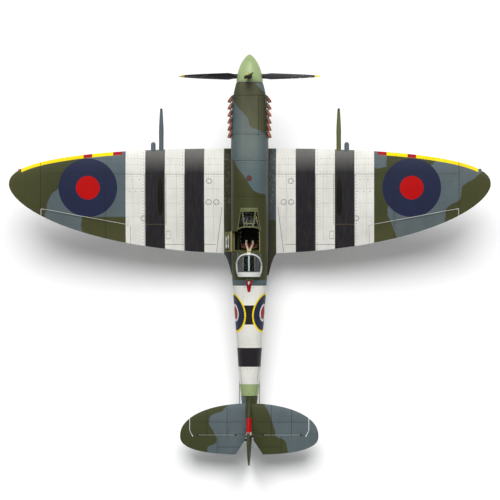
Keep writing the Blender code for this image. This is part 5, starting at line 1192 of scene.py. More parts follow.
def access_cover(f, out, y, spot, width):
    """The rim of a round cover, with short fasteners that point to its middle."""
    reach = f.reach(out, y, spot)
    turn = f.math("ARCTAN2", y - spot[1], out - spot[0])
    beside = turn.folded(math.pi / COVER_FASTENERS) * reach
    ticks = beside.under(width / 2) & reach.band(COVER_RADIUS / 2, COVER_RADIUS)
    return reach.line(COVER_RADIUS, width) | ticks


def wing_camouflage(place, marks, x, y):
    """One where the upper wing is grey."""
    wander = place.noise(26.0).ramp(0.3, 0.7, -EDGE_WANDER, EDGE_WANDER)
    wavy_x = x + wander
    start, soft = marks.stripe_start, PAINT_EDGE
    left = x.under(-start) & wavy_x.over(y.curve(LEFT_WING_EDGE), soft)
    left = left & (wavy_x.under(LEFT_WING_NOTCH[0], soft) | y.over(LEFT_WING_NOTCH[1], soft))
    corner = wavy_x.under(RIGHT_WING_CORNER[0], soft) & (y + wander).over(RIGHT_WING_CORNER[1], soft)
    inside = wavy_x.over(y.curve(RIGHT_WING_INNER_EDGE), soft)
    right = x.over(start) & (corner | (inside & wavy_x.under(y.curve(RIGHT_WING_OUTER_EDGE), soft)))
    left_root = x.band(-start, 0.0) & y.under(LEFT_ROOT_EDGE_Y, soft)
    right_root = x.band(0.0, start) & y.over(RIGHT_ROOT_EDGE_Y, soft)
    return left | right | left_root | right_root


def wing_lines(f, out, y, blister, width):
    """Panel lines of the wing, with fainter ones between them."""
    rear = (out + y * 0.125).line(0.0628, width) & y.band(-0.168, -0.055)
    bay_door = abs((out - BAY_DOOR[0]) * 1.9) | abs(y - BAY_DOOR[1])
    faint = (
        out.lines(FAINT_RIBS_X, width) & y.band(-0.14, SPAR_LINE_Y)
        | y.lines(FAINT_STRINGERS_Y, width) & out.band(0.075, 0.315)
        | out.lines(GUN_PANELS_X, width) & y.band(-0.045, 0.050)
    )
    return either(
        y.line(SPAR_LINE_Y, width) & out.band(0.052, OUTER_RIB_X),
        rear,
        out.lines(RIB_LINES_X, width) & y.under(SPAR_LINE_Y),
        out.line(OUTER_RIB_X, width),
        *[access_cover(f, out, y, spot, width) for spot in COVER_SPOTS],
        bay_door.line(0.0096, width),
        y.line(-0.1485, width) & out.band(0.086, 0.25),
        out.line(WING_ROOT_X + 0.0018, width),
        blister.line(1.0, 0.22),
        faint * 0.3,
    )


def wing_markings_group(colours, marks):
    """Camouflage, stripes, ringed markings and yellow leading edge of the wings, with panel lines, painted
    shade at the wing roots and a painted highlight along the aileron hinges.
    """
    f, given, result = new_group("wing_markings", {"Place": "Vector", "Up": "Float"}, MARKING_OUTPUTS)
    place = given["Place"]
    x, y, _ = place.split()
    out = abs(x)
    top = given["Up"].ramp(-0.15, 0.05)
    colour = f.tint(colours.dark_green, colours.sea_grey, wing_camouflage(place, marks, x, y))
    warm = out.ramp(0.48, 0.60) | y.ramp(-0.06, -0.13)
    colour = f.tint(colour, colours.worn_edge, warm * 0.06)
    root = out.under(marks.stripe_start)
    # Painted shade: the paint darkens near the fuselage, where shade falls at the wing roots.
    colour = f.tint(colour, colours.soot_and_shade, root & out.ramp(WING_ROOT_X, marks.stripe_start, 0.75, 0.40))
    scuffs = place.scaled(420.0, 130.0, 420.0).noise(1.0).over(0.57, 0.03) & root & y.band(-0.06, 0.085, 0.02)
    colour = f.tint(colour, colours.scuff_and_highlight, scuffs * 0.18)
    colour = f.tint(colours.under_grey, colour, top)
    edges = [marks.stripe_start + marks.stripe_width * index for index in range(6)]
    colour = f.tint(colour, colours.white, out.band(edges[0], edges[5]))
    dust = place.scaled(240.0, 18.0, 240.0).noise(1.0, 4.0).ramp(0.45, 0.75, 0.0, 0.02)
    dusty_black = f.tint(colours.black, colours.white, dust + y.ramp(0.03, 0.085, 0.0, 0.18))
    colour = f.tint(colour, dusty_black, out.band(edges[1], edges[2]) | out.band(edges[3], edges[4]))
    half, run = BLISTER_SIZE[0] / 2, BLISTER_SIZE[1] / 2
    blister = f.reach(out / half, y / run, (BLISTER_X / half, BLISTER_Y / run))
    # The blister's own gloss black, in the same near-black colour as the painted shade.
    colour = f.tint(colour, colours.shade_and_gloss_black, blister.under(1.0, 0.05) & top)
    bay_back = f.rivets(out, y - BAY_Y, 0.006, 0.0028)
    colour = f.tint(colour, colours.worn_edge, bay_back & out.band(BAY_X, edges[4]) & top & 0.35)
    reach = f.reach(out, y, (marks.wing_ring_x, marks.wing_ring_y)) / marks.wing_ring_radius
    paints = (colours.blue, colours.blue, colours.blue, colours.red)
    colour = f.ringed(colour, reach, paints, (0.9, 0.8, marks.wing_centre_share), 0.012)
    front = (1.0 - (out / WING_HALF_SPAN) ** 2.5) ** 0.4 * WING_FRONT_DEPTH
    leading = y.over(front - marks.yellow_depth)
    colour = f.tint(colour, colours.yellow, leading & out.band(*marks.yellow_ends))
    colour = f.tint(colour, colours.patch_red, leading & either(*[out.band(*ends) for ends in GUN_PATCHES_X]))
    inner, _, outer, _ = aileron_ends(1)
    hinge_y = out.ramp(inner.x, outer.x, inner.y, outer.y)
    # Painted highlight: a pale line along the aileron hinge, where its lip catches the light.
    hinge_highlight = (y - hinge_y).line(0.0034, 0.0010) & out.band(inner.x, outer.x) & top
    f.feed(result["Color"], f.tint(colour, colours.white, hinge_highlight * 0.8))
    f.feed(result["Line"], wing_lines(f, out, y, blister, marks.line_width))

    pitch, size = marks.rivet_pitch, marks.rivet_size
    rows = [f.rivets(out, y - row_y, pitch, size) for row_y in RIVET_ROWS_Y]
    rows += [f.rivets(y, out - row_x, pitch, size) for row_x in RIVET_ROWS_X]
    rows += [f.reach(out, y, spot).under(0.0012) for spot in FASTENER_SPOTS]
    rows.append(f.rivets(y, out - BAY_X, 0.0045, 0.0032) & y.band(BAY_Y, SPAR_LINE_Y))
    f.feed(result["Rivet"], either(*rows) & out.band(0.052, OUTER_RIB_X))


def body_camouflage(f, colours, place, x, y, z):
    """Camouflage of the fuselage with its pale belly, exhaust stains and dark deck, a painted highlight on
    top of the nose, and painted shade under the windscreen.
    """
    soft = PAINT_EDGE
    above = z.over(0.0)
    wander = place.noise(30.0).ramp(0.3, 0.7, -0.003, 0.003)
    wavy_y = y + (wander + (z - 0.045) * 0.5)
    nose_band = wavy_y.under(x.curve(NOSE_FRONT_EDGE), soft) & wavy_y.over(x.curve(NOSE_BACK_EDGE), soft)
    corner = (x + y * 1.03).over(0.2735, soft) & y.over(0.2)
    spine = y.band(-0.2600, -0.2372, soft) & above
    tail = y.under(TAIL_JOINT_Y) & (x + wander).under(0.0, soft)
    colour = f.tint(colours.olive, colours.body_grey, nose_band | corner | spine | tail)
    # Painted highlight: a pale tint on top of the nose, standing in for the light on the cowling.
    crown = y.ramp(0.0, 0.10) & abs(x).ramp(0.038, 0.018) & above
    colour = f.tint(colour, colours.scuff_and_highlight, crown * 0.19)
    colour = f.tint(colour, colours.under_grey, (z + wander).under(y.curve(BELLY_EDGE), soft))
    streaks = place.scaled(60.0, 6.0, 160.0).noise(1.0).ramp(0.30, 0.6)
    stain = z.line(-0.004, 0.044) & y.ramp(-0.24, -0.10) & y.under(0.115) & streaks
    colour = f.tint(colour, colours.stain, stain * 0.8)
    deck = y.band(HOOD_FRONT_Y - HOOD_LENGTH, HOOD_FRONT_Y) & abs(x).under(0.0255) & above
    colour = f.tint(colour, colours.deck, deck)
    # Painted shade: near-black on the fuselage top under the windscreen.
    coaming = y.band(BOW_Y, SCREEN_FRONT_Y - 0.009) & above
    coaming = coaming & abs(x).under(y.ramp(BOW_Y, SCREEN_FRONT_Y, 0.0288, 0.0200))
    return f.tint(colour, colours.shade_and_gloss_black, coaming)


def height_round_body(f, x, y, z):
    """The length round the fuselage's side from its middle, near the side markings."""
    share = y.ramp(-0.370, -0.270)
    half, tall, middle = (share.ramp(0.0, 1.0, *ends)
                          for ends in ((0.0333, 0.0408), (0.0503, 0.0610), (0.0040, 0.0004)))
    turn = f.math("ARCTAN2", (z - middle) / tall, abs(x) / half)
    return turn * (tall - (tall - half) / math.pi * turn)


def body_markings_group(colours, marks):
    """Camouflage, bands and side markings of the fuselage, with panel lines."""
    f, given, result = new_group("body_markings", {"Place": "Vector"}, MARKING_OUTPUTS)
    x, y, z = given["Place"].split()
    above = z.over(0.0)
    colour = body_camouflage(f, colours, given["Place"], x, y, z)
    edges = marks.band_edges
    colour = f.tint(colour, colours.white, y.band(edges[5], edges[0]))
    colour = f.tint(colour, colours.black, y.band(edges[2], edges[1]) | y.band(edges[4], edges[3]))
    colour = f.tint(colour, colours.sky, y.band(TAIL_JOINT_Y, edges[5]))
    around = height_round_body(f, x, y, z) * marks.side_ring_stretch
    reach = f.reach(y, around, (marks.side_ring_y, marks.side_ring_height)) / marks.side_ring_radius
    paints = (colours.yellow, colours.blue, colours.white, colours.side_red)
    colour = f.ringed(colour, reach, paints, (0.90, 0.45, 0.337), 0.02)
    tongue = abs(x).under(y.ramp(-0.268, -0.240, 0.003, 0.0085)) & y.band(-0.267, -0.2385) & above
    f.feed(result["Color"], f.tint(colour, colours.patch_red, tongue))

    width = marks.line_width
    f.feed(result["Line"], either(
        y.lines(FRAME_LINES_Y, width),
        z.line(0.030, width) & y.band(-0.5253, -0.245),
        z.line(-0.012, width) & y.under(COWL_JOINT_Y),
        x.line(0.0235, width) & y.band(0.120, HATCH_FRONT_Y) & above,
        f.reach(x, y, (0.0, FUEL_CAP_Y)).line(0.0062, 1.4 * width) & above,
    ))
    pitch, size = marks.rivet_pitch, marks.rivet_size
    rows = [f.rivets(abs(x) + z, y - row_y, pitch, size) for row_y in FRAME_RIVETS_Y]
    sill = f.rivets(y, z - (HATCH_SILL_Z - 0.004), pitch, size)
    f.feed(result["Rivet"], either(*rows, sill))


def tail_markings_group(colours, marks):
    """Camouflage of the tail surfaces and the three-colour flash on the fin, with a painted highlight along
    the elevator hinge.
    """
    f, given, result = new_group("tail_markings", {"Place": "Vector", "Up": "Float"}, MARKING_OUTPUTS)
    x, y, z = given["Place"].split()
    out = abs(x)
    level = out.over(FIN_SIDE_X)
    wavy_x = x + given["Place"].noise(26.0).ramp(0.3, 0.7, -0.003, 0.003)
    left = x.under(0.0) & wavy_x.over(y.curve(LEFT_TAIL_EDGE), PAINT_EDGE) & wavy_x.under(-0.008)
    right = wavy_x.over(y.curve(RIGHT_TAIL_EDGE), PAINT_EDGE)
    colour = f.tint(colours.dark_green, colours.sea_grey, left | right)
    colour = f.tint(colour, colours.under_grey, given["Up"].ramp(0.05, -0.15) & level)
    # Painted highlight: a pale line along the elevator hinge, on upward faces.
    hinge = y.line(ELEVATOR_Y + 0.0032, 0.0009) & out.band(ELEVATOR_ROOT_X, BALANCE_X - BALANCE_STEP)
    colour = f.tint(colour, colours.white, hinge & given["Up"].ramp(0.0, 0.1, 0.0, 0.4))
    knuckles = y.line(ELEVATOR_Y + 0.003, 0.0045) & out.lines((0.0338, 0.129), 0.0045)
    colour = f.tint(colour, colours.soot_and_shade, knuckles)
    red_y, blue_y, back_y = marks.flash_ends
    flash = out.under(0.0105) & z.over(0.054) & y.band(back_y, red_y)
    flash = flash & (z.under(RUDDER_BALANCE_Z) | y.over(blue_y + 0.0070))
    paint = f.tint(colours.red, colours.white, y.under(blue_y + 0.0075))
    paint = f.tint(paint, colours.blue, y.under(blue_y))
    f.feed(result["Color"], f.tint(colour, paint, flash))

    width = marks.line_width
    f.feed(result["Line"], either(
        out.line(TAB_X, width) & y.under(ELEVATOR_Y),
        y.line(-0.652, width) & out.band(FIN_SIDE_X, TAB_X),
        out.lines(TAIL_RIBS_X, width) & y.over(ELEVATOR_Y),
        y.line(-0.590, width) & level,
        out.under(0.012) & z.lines((0.050, 0.095), width),
    ))
    rows = [f.rivets(out, y - row_y, marks.rivet_pitch, marks.rivet_size) for row_y in TAIL_RIVETS_Y]
    f.feed(result["Rivet"], either(*rows) & level)


# Finishes
class Finish(Formula):
    """One material, whose formulas start from places on the piece and end in its main shader."""

    def __init__(self, name, **plain):
        material = bpy.data.materials.new(name)
        material.use_nodes = True
        super().__init__(material.node_tree)
        self.shader = self.tree.nodes["Principled BSDF"]
        self.give(**plain)
        places = self.place("ShaderNodeTexCoord").outputs
        self.spot = Value(self, places["Object"])
        self.x, self.y, self.z = self.spot.split()
        self.up = Value(self, places["Normal"]).split()[2]

    def give(self, **values):
        for label, value in values.items():
            socket = label.replace("_", " ").title().replace("Ior", "IOR")
            self.feed(self.shader.inputs[socket], value)

    def texture(self, kind, scale, output):
        node = self.place(kind)
        node.inputs["Scale"].default_value = scale
        self.feed(node.inputs["Vector"], self.spot)
        return Value(self, node.outputs[output])

    def weather(self, colour, wear, scale=1.0, roughness=None, lines=None, rivets=None):
        """Puts fading, grime and fine grain over a colour, with panel lines and rivets where given."""
        worn = self.group("weathering", Place=self.spot, Scale=scale)
        colour = self.brightened(colour, worn["Fade"].ramp(0.0, 1.0, 1 - wear.fading, 1 + wear.fading))
        colour = self.tint(colour, wear.grime, worn["Grime"] * wear.grime_amount)
        height = worn["Grain"] * 0.10
        if lines is not None:
            colour = self.tint(colour, wear.grime, lines * wear.line_darkness)
            height = height - lines
        if rivets is not None:
            colour = self.tint(colour, wear.grime, rivets * (wear.line_darkness * 0.8))
            height = height + rivets * 0.5
        middle = wear.roughness if roughness is None else roughness
        rough = worn["Fade"].ramp(0.0, 1.0, middle - 0.06, middle + 0.10)
        self.give(base_color=colour, roughness=rough, normal=height.bump(0.55, 0.0003))
        return colour, worn


def paint_finishes(colours, marks, wear):
    for name in ("wing", "body", "tail"):
        f = Finish(f"{name}_paint", specular_ior_level=0.10)
        places = {"Place": f.spot} if name == "body" else {"Place": f.spot, "Up": f.up}
        painted = f.group(f"{name}_markings", **places)
        f.weather(painted["Color"], wear, lines=painted["Line"], rivets=painted["Rivet"])
    for name, colour, scale in (
        ("under_paint", colours.under_grey, 1.0),
        ("frame_paint", colours.frame_olive, 2.0),
        ("hood_frame_paint", colours.hood_frame, 3.0),
        ("worn_edge", colours.worn_edge, 3.0),
        ("mast_paint", colours.hood_frame, 4.0),
        ("cap_paint", colours.burnt, 4.0),
    ):
        Finish(name, specular_ior_level=0.25).weather(colour, wear, scale)

    # Painted shade: the cockpit paint turns near-black lower down in the cockpit.
    f = Finish("cockpit_paint", specular_ior_level=0.06)
    f.weather(f.tint(colours.shade_and_gloss_black, colours.cockpit_green, f.z.ramp(0.006, 0.040)), wear, 3.0, 0.7)
    # A near-black finish that stands in for shade, on the deck well and the door lining.
    Finish("well_paint", specular_ior_level=0.06).weather(colours.well, wear, 3.0, 0.7)

    f = Finish("spinner_paint", specular_ior_level=0.3, coat_weight=0.1)
    f.weather(colours.sky, wear, 2.0, 0.33, lines=f.y.line(SPINNER_BASE_Y + 0.004, 0.0007))

    f = Finish("propeller_paint", specular_ior_level=0.2)
    radius = f.reach(f.x, f.z, (0.0, 0.0))
    chips = f.spot.noise(260.0).over(0.64, 0.02) & radius.ramp(0.07, 0.16)
    colour = f.tint(colours.propeller, colours.yellow, radius.over(BLADE_RADIUS - marks.blade_tip, 0.0006))
    f.weather(f.tint(colour, colours.bare_metal, chips), wear, 2.0, 0.40)

    f = Finish("cannon_paint", specular_ior_level=0.2)
    right_barrel = f.x.band(0.0, CANNON_X + STUB_OFFSET_X / 2)
    colour = f.tint(colours.sea_grey, colours.frame_olive, right_barrel)
    colour = f.tint(colour, colours.soot_and_shade, f.y.ramp(CANNON_MUZZLE_Y - 0.008, CANNON_MUZZLE_Y - 0.003))
    f.weather(colour, wear, 3.0)


def metal_finishes(colours, wear):
    for name, colour, roughness, scratches in (
        ("alloy", colours.bare_metal, 0.34, 0.5),
        ("steel", colours.steel, 0.26, 0.3),
        ("gunmetal", colours.soot_and_shade, 0.38, 0.3),
    ):
        f = Finish(name, metallic=0.7)
        f.weather(colour, wear, 4.0, roughness)
        brushed = f.spot.scaled(300.0, 2600.0, 300.0).noise(1.0, 2.0)
        f.give(normal=brushed.bump(0.12 * scratches, 0.0002))

    f = Finish("exhaust_metal", metallic=0.3)
    out = abs(f.x)
    heat = f.spot.noise(180.0, 5.0, 0.65)
    colour = f.tint(colours.copper, colours.burnt, heat.ramp(0.42, 0.62))
    colour = f.tint(colour, colours.soot_and_shade, out.ramp(EXHAUST_TIP_X + 0.0008, EXHAUST_TIP_X + 0.0030))
    # Painted shade: the stacks turn near-black at their inner ends, where the shade falls between them.
    colour = f.tint(colour, colours.soot_and_shade, out.ramp(0.0464, 0.0440))
    f.weather(colour, wear, 5.0, 0.5)
    f.give(normal=heat.bump(0.4, 0.0004))


def moulded_finishes(colours, wear):
    f = Finish("black_plastic", specular_ior_level=0.15)
    f.weather(colours.plastic, wear, 4.0, 0.42)
    f.give(normal=f.spot.noise(2400.0, 1.0).bump(0.25, 0.0002))

    f = Finish("tyre_rubber", specular_ior_level=0.3)
    colour, worn = f.weather(colours.rubber, wear, 5.0, 0.72)
    f.give(base_color=f.tint(colour, colours.dust, worn["Fade"] * 0.25))

    f = Finish("plywood")
    grain = f.spot.scaled(140.0, 9.0, 140.0).noise(1.0, 5.0, 0.6)
    plies = f.z.folded(0.0005).ramp(0.00035, 0.00045, 0.0, 0.35)
    colour = f.tint(colours.wood, colours.dark_wood, grain.ramp(0.35, 0.75))
    colour = f.tint(colour, colours.dark_wood, plies)
    f.give(base_color=colour, roughness=grain.ramp(0.2, 0.8, 0.5, 0.75), normal=grain.bump(0.3, 0.0003))

    f = Finish("battery_wrap", specular_ior_level=0.5)
    band = (f.y + 0.02).folded(0.03).band(0.010, 0.016)
    f.weather(f.tint(colours.wrap, colours.yellow, band), wear, 4.0, 0.25)
    f.give(normal=f.spot.scaled(40.0, 260.0, 260.0).noise(1.0, 3.0).bump(0.35, 0.0006))

    f = Finish("carbon_weave", specular_ior_level=0.5, coat_weight=0.4)
    weave = f.texture("ShaderNodeTexChecker", 420.0, 1)
    f.weather(f.tint(colours.soot_and_shade, colours.plastic, weave), wear, 4.0, 0.3)
    f.give(normal=weave.bump(0.3, 0.0002))

    f = Finish("coil_copper", metallic=0.8)
    f.weather(colours.copper, wear, 4.0, 0.4)
    f.give(normal=(f.z.folded(0.0006) * 1600.0).bump(0.5, 0.0004))

    f = Finish("radiator_core", specular_ior_level=0.3)
    cells = (f.x.folded(0.0009) | f.z.folded(0.0009)).ramp(0.0004, 0.0008)
    colour = f.tint(colours.soot_and_shade, colours.bare_metal, cells)
    f.give(base_color=colour, roughness=cells.ramp(0, 1, 0.7, 0.4), normal=cells.bump(0.6, 0.0005))


def soft_finishes(colours, wear):
    f = Finish("seat_leather", specular_ior_level=0.4)
    f.weather(colours.leather, wear, 5.0, 0.45)
    f.give(normal=f.texture("ShaderNodeTexVoronoi", 900.0, "Distance").bump(0.4, 0.0004))

    f = Finish("webbing", specular_ior_level=0.2, sheen_weight=0.2)
    weave = (f.x.folded(0.0003) | (f.y + f.z).folded(0.0003)).ramp(0.0, 0.0003)
    f.weather(f.tint(colours.webbing_shade, colours.webbing, weave), wear, 5.0, 0.8)
    f.give(normal=weave.bump(0.5, 0.0003))


def glass_finishes(colours):
    f = Finish("clear_glass", base_color=rgba(colours.glass), transmission_weight=1.0, metallic=0.0, ior=1.12)
    f.give(roughness=f.spot.scaled(60.0, 20.0, 60.0).noise(1.0, 4.0).ramp(0.4, 0.8, 0.0, 0.05))

    for name, colour in (("lamp_left", colours.patch_red), ("lamp_right", colours.lamp_green)):
        f = Finish(name, specular_ior_level=0.5, coat_weight=0.6)
        ridges = f.z.folded(0.0005)
        f.give(base_color=f.tint(colour, colours.soot_and_shade, ridges.ramp(0.0, 0.0005, 0.0, 0.4)))
        f.give(roughness=ridges.ramp(0.0, 0.0005, 0.15, 0.3))

    f = Finish("dial_face", specular_ior_level=0.2, coat_weight=0.1)
    speckle = f.spot.noise(900.0, 2.0)
    f.give(base_color=f.tint(colours.soot_and_shade, colours.plastic, speckle.ramp(0.4, 0.6)))
    f.give(roughness=speckle.ramp(0.3, 0.7, 0.2, 0.35))

    f = Finish("dial_white", specular_ior_level=0.3)
    speckle = f.spot.noise(900.0, 2.0)
    f.give(base_color=f.tint(colours.white, colours.webbing_shade, speckle.ramp(0.5, 0.8)))
    f.give(roughness=speckle.ramp(0.3, 0.7, 0.4, 0.6))


# Wings
def gear_places(name, side):
    """The leg's pivot and foot, its axes down, and the turn that folds it."""
    joint = f"leg_{name}_retract"
    pivot, foot = place_of(joint), at(side * LEG_FOOT[0], LEG_FOOT[1], LEG_FOOT[2])
    along = (foot - pivot).normalized()
    towards = RIGHT * -side
    wheelward = (towards - along * towards.dot(along)).normalized()
    turn = Matrix.Rotation(math.radians(JOINTS[joint]["range_deg"][1]), 3, axis_of(joint))
    return pivot, foot, along, wheelward, turn


def gear_hollows(name, side):
    """The slot and the round well that take the folded leg and its wheel."""
    pivot, foot, along, wheelward, turn = gear_places(name, side)
    length = (foot - pivot).length
    along, wheelward = turn @ along, turn @ wheelward
    axes = frame_axes(along, wheelward, along.cross(wheelward), pivot)
    slot = box((-0.010, -0.0042, -0.0145), (length + 0.006, 0.05, 0.0145), axes)
    middle = pivot + along * length + wheelward * WHEEL_OFFSET
    return slot, rod(middle - wheelward * 0.0081, middle + wheelward * 0.05, WELL_RADIUS, sides=64)


def make_wing(name, side):
    wing = piece_from(f"wing_skin_{name}", wing_form(side))
    cuts = [aileron_block(side, 0.0), aileron_nose(side, HINGE_GAP), flap_form(side, SEAM, 0.02)]
    combine(wing, "DIFFERENCE", *cuts, *gear_hollows(name, side))
    height = wing_heights(BLISTER_X, BLISTER_Y)[1] - BLISTER_SIZE[2] / 6
    add_shapes(wing, ellipsoid((side * BLISTER_X, BLISTER_Y, height), BLISTER_SIZE))
    settle(wing, "green_paint", "wing_paint", f"wing_{name}")
    front, height = wing_nose(LAMP_X)
    lamp = ellipsoid((side * LAMP_X, front - 0.001, height), LAMP_SIZE, 12)
    dress(f"tip_lamp_{name}", lamp, "clear", f"lamp_{name}")


def make_aileron(name, side):
    aileron = piece_from(f"aileron_skin_{name}", wing_form(side))
    combine(aileron, "INTERSECT", aileron_block(side, HINGE_GAP))
    combine(aileron, "UNION", aileron_nose(side, 0.0))
    places = node_places(f"aileron_rod_{name}")
    rod_x, rod_z = (sum(pick(place[i] for place in places) for pick in (min, max)) / 2 for i in (0, 2))
    inner, _, outer, _ = aileron_ends(side)
    hinge = inner.lerp(outer, (rod_x - inner.x) / (outer.x - inner.x))
    tip_z = rod_z - 0.0025
    corners = ((hinge.y + 0.004, hinge.z), (hinge.y + 0.002, tip_z), (hinge.y - 0.002, tip_z),
               (hinge.y - 0.009, hinge.z))
    add_shapes(aileron, horn_plate(corners, rod_x - side * 0.004))
    settle(aileron, "green_paint", "wing_paint", f"aileron_{name}", body=f"aileron_{name}")


def make_flap(name, side):
    flap = piece_from(f"flap_skin_{name}", flap_form(side, 0.0, 0.0))
    for x in spread(FLAP_ENDS_X[0] + 0.010, FLAP_ENDS_X[1] - 0.010, 8):
        front, back = flap_front_y(x) - 0.004, chord_place(x, FLAP_SHARES[1]) + 0.003
        floor, end_floor = (wing_heights(x, y)[0] + FLAP_THICKNESS * 0.5 for y in (front, back))
        corners = ((front, floor), (front, floor + 0.0022), (back, end_floor + 0.0012), (back, end_floor))
        add_shapes(flap, prism(corners, side * x - RIB_HALF, side * x + RIB_HALF, upright=True))
    settle(flap, "grey_paint", "wing_paint", f"flap_{name}", body=f"flap_{name}")


def make_radiator(name, side):
    low_x, high_x = RADIATOR_X - RADIATOR_WIDTH / 2, RADIATOR_X + RADIATOR_WIDTH / 2
    front, back = RADIATOR_ENDS_Y
    skin = wing_heights(RADIATOR_X, (front + back) / 2)[0]
    bottom, roof = skin - RADIATOR_DEPTH, skin + 0.010
    rings = []
    for y, lift in ((front, 0.0018), (front - 0.0015, 0.0004), (front - 0.005, 0.0), (back + 0.012, 0.0),
                    (back + 0.004, 0.0015), (back, 0.004)):
        floor = bottom + lift
        corners = [(low_x, roof), (low_x, floor + 0.003), (low_x + 0.0009, floor + 0.0009),
                   (low_x + 0.003, floor)]
        corners += [(2 * RADIATOR_X - x, z) for x, z in reversed(corners)]
        rings.append([at(side * x, y, z) for x, z in corners])
    radiator = piece_from(f"radiator_skin_{name}", loft(rings))
    near, far = low_x + RADIATOR_WALL, high_x - RADIATOR_WALL
    duct = side_box(side, (near, back - 0.01, bottom + 0.0055), (far, front + 0.01, roof + 0.01))
    combine(radiator, "DIFFERENCE", duct)
    combine(radiator, "DIFFERENCE", wing_form(side))
    settle(radiator, "grey_paint", "wing_paint", f"radiator_{name}")
    cores = [side_box(side, (near, y - 0.0015, bottom + 0.005), (far, y + 0.0015, skin + 0.004), edge=0.0004)
             for y in (front - 0.010, back + 0.012)]
    dress(f"radiator_core_{name}", cores, "black_plastic", "radiator_core")


# Fuselage
def hull_studs(places, radius, height):
    """Small round fasteners on the fuselage, at pairs of station and angle."""
    studs = []
    for y, angle in places:
        foot = hull_point(y, angle)
        out = (hull_point(y, angle, 0.01) - foot).normalized() * height
        studs.append(round_rod(foot - out, foot + out, radius, height * 0.8, 16))
    return studs


def make_body():
    skin = hull_form(COWL_JOINT_Y - SEAM, TAIL_JOINT_Y + SEAM, caps=False)
    body = walled_piece("body_skin", skin, HULL_WALL)
    outline = [(OPENING_FRONT_HALF, OPENING_FRONT_Y), (OPENING_BACK_HALF, BOW_Y),
               (OPENING_BACK_HALF, OPENING_BACK_Y)]
    outline += [(-x, y) for x, y in reversed(outline)]
    opening = prism(outline, DOOR_BOTTOM_Z, HOOD_TOP_Z)
    deck = box((-DECK_HALF, DECK_ENDS_Y[1], DOOR_BOTTOM_Z), (DECK_HALF, DECK_ENDS_Y[0], HOOD_TOP_Z))
    combine(body, "DIFFERENCE", opening, deck, door_block(0.0))
    inner, outer = HOOD_HALF - GLASS - RAIL_WIDTH / 2, HOOD_HALF + RAIL_WIDTH / 2
    low = (inner, HOOD_FRONT_Y - HOOD_LENGTH, HOOD_RAIL_Z - SEAM - RAIL_DEPTH)
    high = (outer, OPENING_BACK_Y - HULL_WALL, HOOD_RAIL_Z - SEAM)
    rails = [side_box(side, low, high, edge=0.0005) for _, side in SIDES]
    studs = hull_studs([(0.0019, math.pi / 2 + turn) for turn in (-0.13, 0.13)], 0.0011, 0.0005)
    add_shapes(body, *rails, *studs)
    settle(body, "green_paint", "body_paint", "fuselage_shell")

    top = hull_top(FUEL_CAP_Y)
    profile = [(0.0, 0.0072), (0.0009, 0.0072), (0.0012, 0.0068), (0.0012, 0.0056), (0.0007, 0.0053),
               (0.0007, 0.0014), (0.0014, 0.0010)]
    cap = turned(profile, Matrix.Translation((0, FUEL_CAP_Y, top - 0.0004)))
    bar = box((-0.0045, FUEL_CAP_Y - 0.0006, top), (0.0045, FUEL_CAP_Y + 0.0006, top + 0.0012), edge=0.0003)
    dress("fuel_cap", (cap, bar), "green_paint", "cap_paint")


def make_cowling():
    cowl = walled_piece("cowl_skin", hull_form(NOSE_Y, COWL_JOINT_Y, caps=False), HULL_WALL)
    half, top = (size + HULL_WALL for size in hull_size(COWL_JOINT_Y)[:2])
    low = (-half, COWL_JOINT_Y - HULL_WALL, HATCH_SILL_Z)
    combine(cowl, "DIFFERENCE", box(low, (half, HATCH_FRONT_Y, top)))
    lip = [hull_point(NOSE_Y + 0.0002, angle, -LIP_RADIUS) for angle in spread(0.0, 2 * math.pi, 64)]
    places = [(y, angle) for y in spread(0.075, 0.215, 7) for angle in (-0.05, math.pi + 0.05)]
    places += [(0.238, angle) for angle in spread(0.35, math.pi - 0.35, 6)]
    add_shapes(cowl, tube(lip, LIP_RADIUS, sides=10), *hull_studs(places, 0.0011, 0.0004))
    settle(cowl, "green_paint", "body_paint", "engine_cowling")

    skin = hull_form(HATCH_FRONT_Y - SEAM, COWL_JOINT_Y + SEAM, caps=False)
    hatch = walled_piece("hatch_skin", skin, HULL_WALL)
    combine(hatch, "DIFFERENCE", box((-half, 0.0, -half * 2), (half, NOSE_Y, HATCH_SILL_Z + SEAM)))
    places = [(y, math.pi / 2 + turn) for y in (0.070, 0.213) for turn in (-0.75, -0.25, 0.25, 0.75)]
    top = hull_top(0.066)
    latch = box((-0.004, 0.0645, top - 0.001), (0.004, 0.0675, top + 0.0007), edge=0.0004)
    add_shapes(hatch, latch, *hull_studs(places, 0.0012, 0.0004))
    settle(hatch, "green_paint", "body_paint", "battery_hatch", body="battery_hatch")


def make_intake():
    rings = []
    front, back = INTAKE_ENDS_Y
    for share in (0.0, 0.02, 0.06, 0.15, 0.3, 0.5, 0.7, 0.85, 0.95, 1.0):
        y = blend(front, back, share)
        lip = min(1.0, share / 0.06)
        deep = INTAKE_DEPTH * (0.86 + 0.14 * lip) * (1 - 0.72 * share**1.8)
        half = INTAKE_HALF * (0.94 + 0.06 * lip) * (1 - share / 3)
        middle = hull_size(y)[2] - deep / 2 + 0.002
        rings.append([at(bulged(u, 0.6) * half, y, middle + bulged(v, 0.6) * (deep / 2 + 0.002))
                      for u, v in round_steps(40)])
    intake = piece_from("intake_skin", loft(rings))
    middle = hull_size(front)[2] - INTAKE_DEPTH * 0.43
    mouth = [at(p.x * 0.82, front + 0.002, blend(middle, p.z, 0.8)) for p in rings[0]]
    throat = [at(p.x * 0.9, front - 0.014, p.z) for p in mouth]
    combine(intake, "DIFFERENCE", loft([mouth, throat]))
    settle(intake, "grey_paint", "under_paint", "carburettor_intake")


# Tail
def rod_end(node):
    """The rear end of a pushrod, in airframe axes."""
    places = node_places(node)
    back = min(place.y for place in places)
    ends = [place for place in places if place.y < back + 0.004]
    return sum(ends, Vector()) / len(ends)


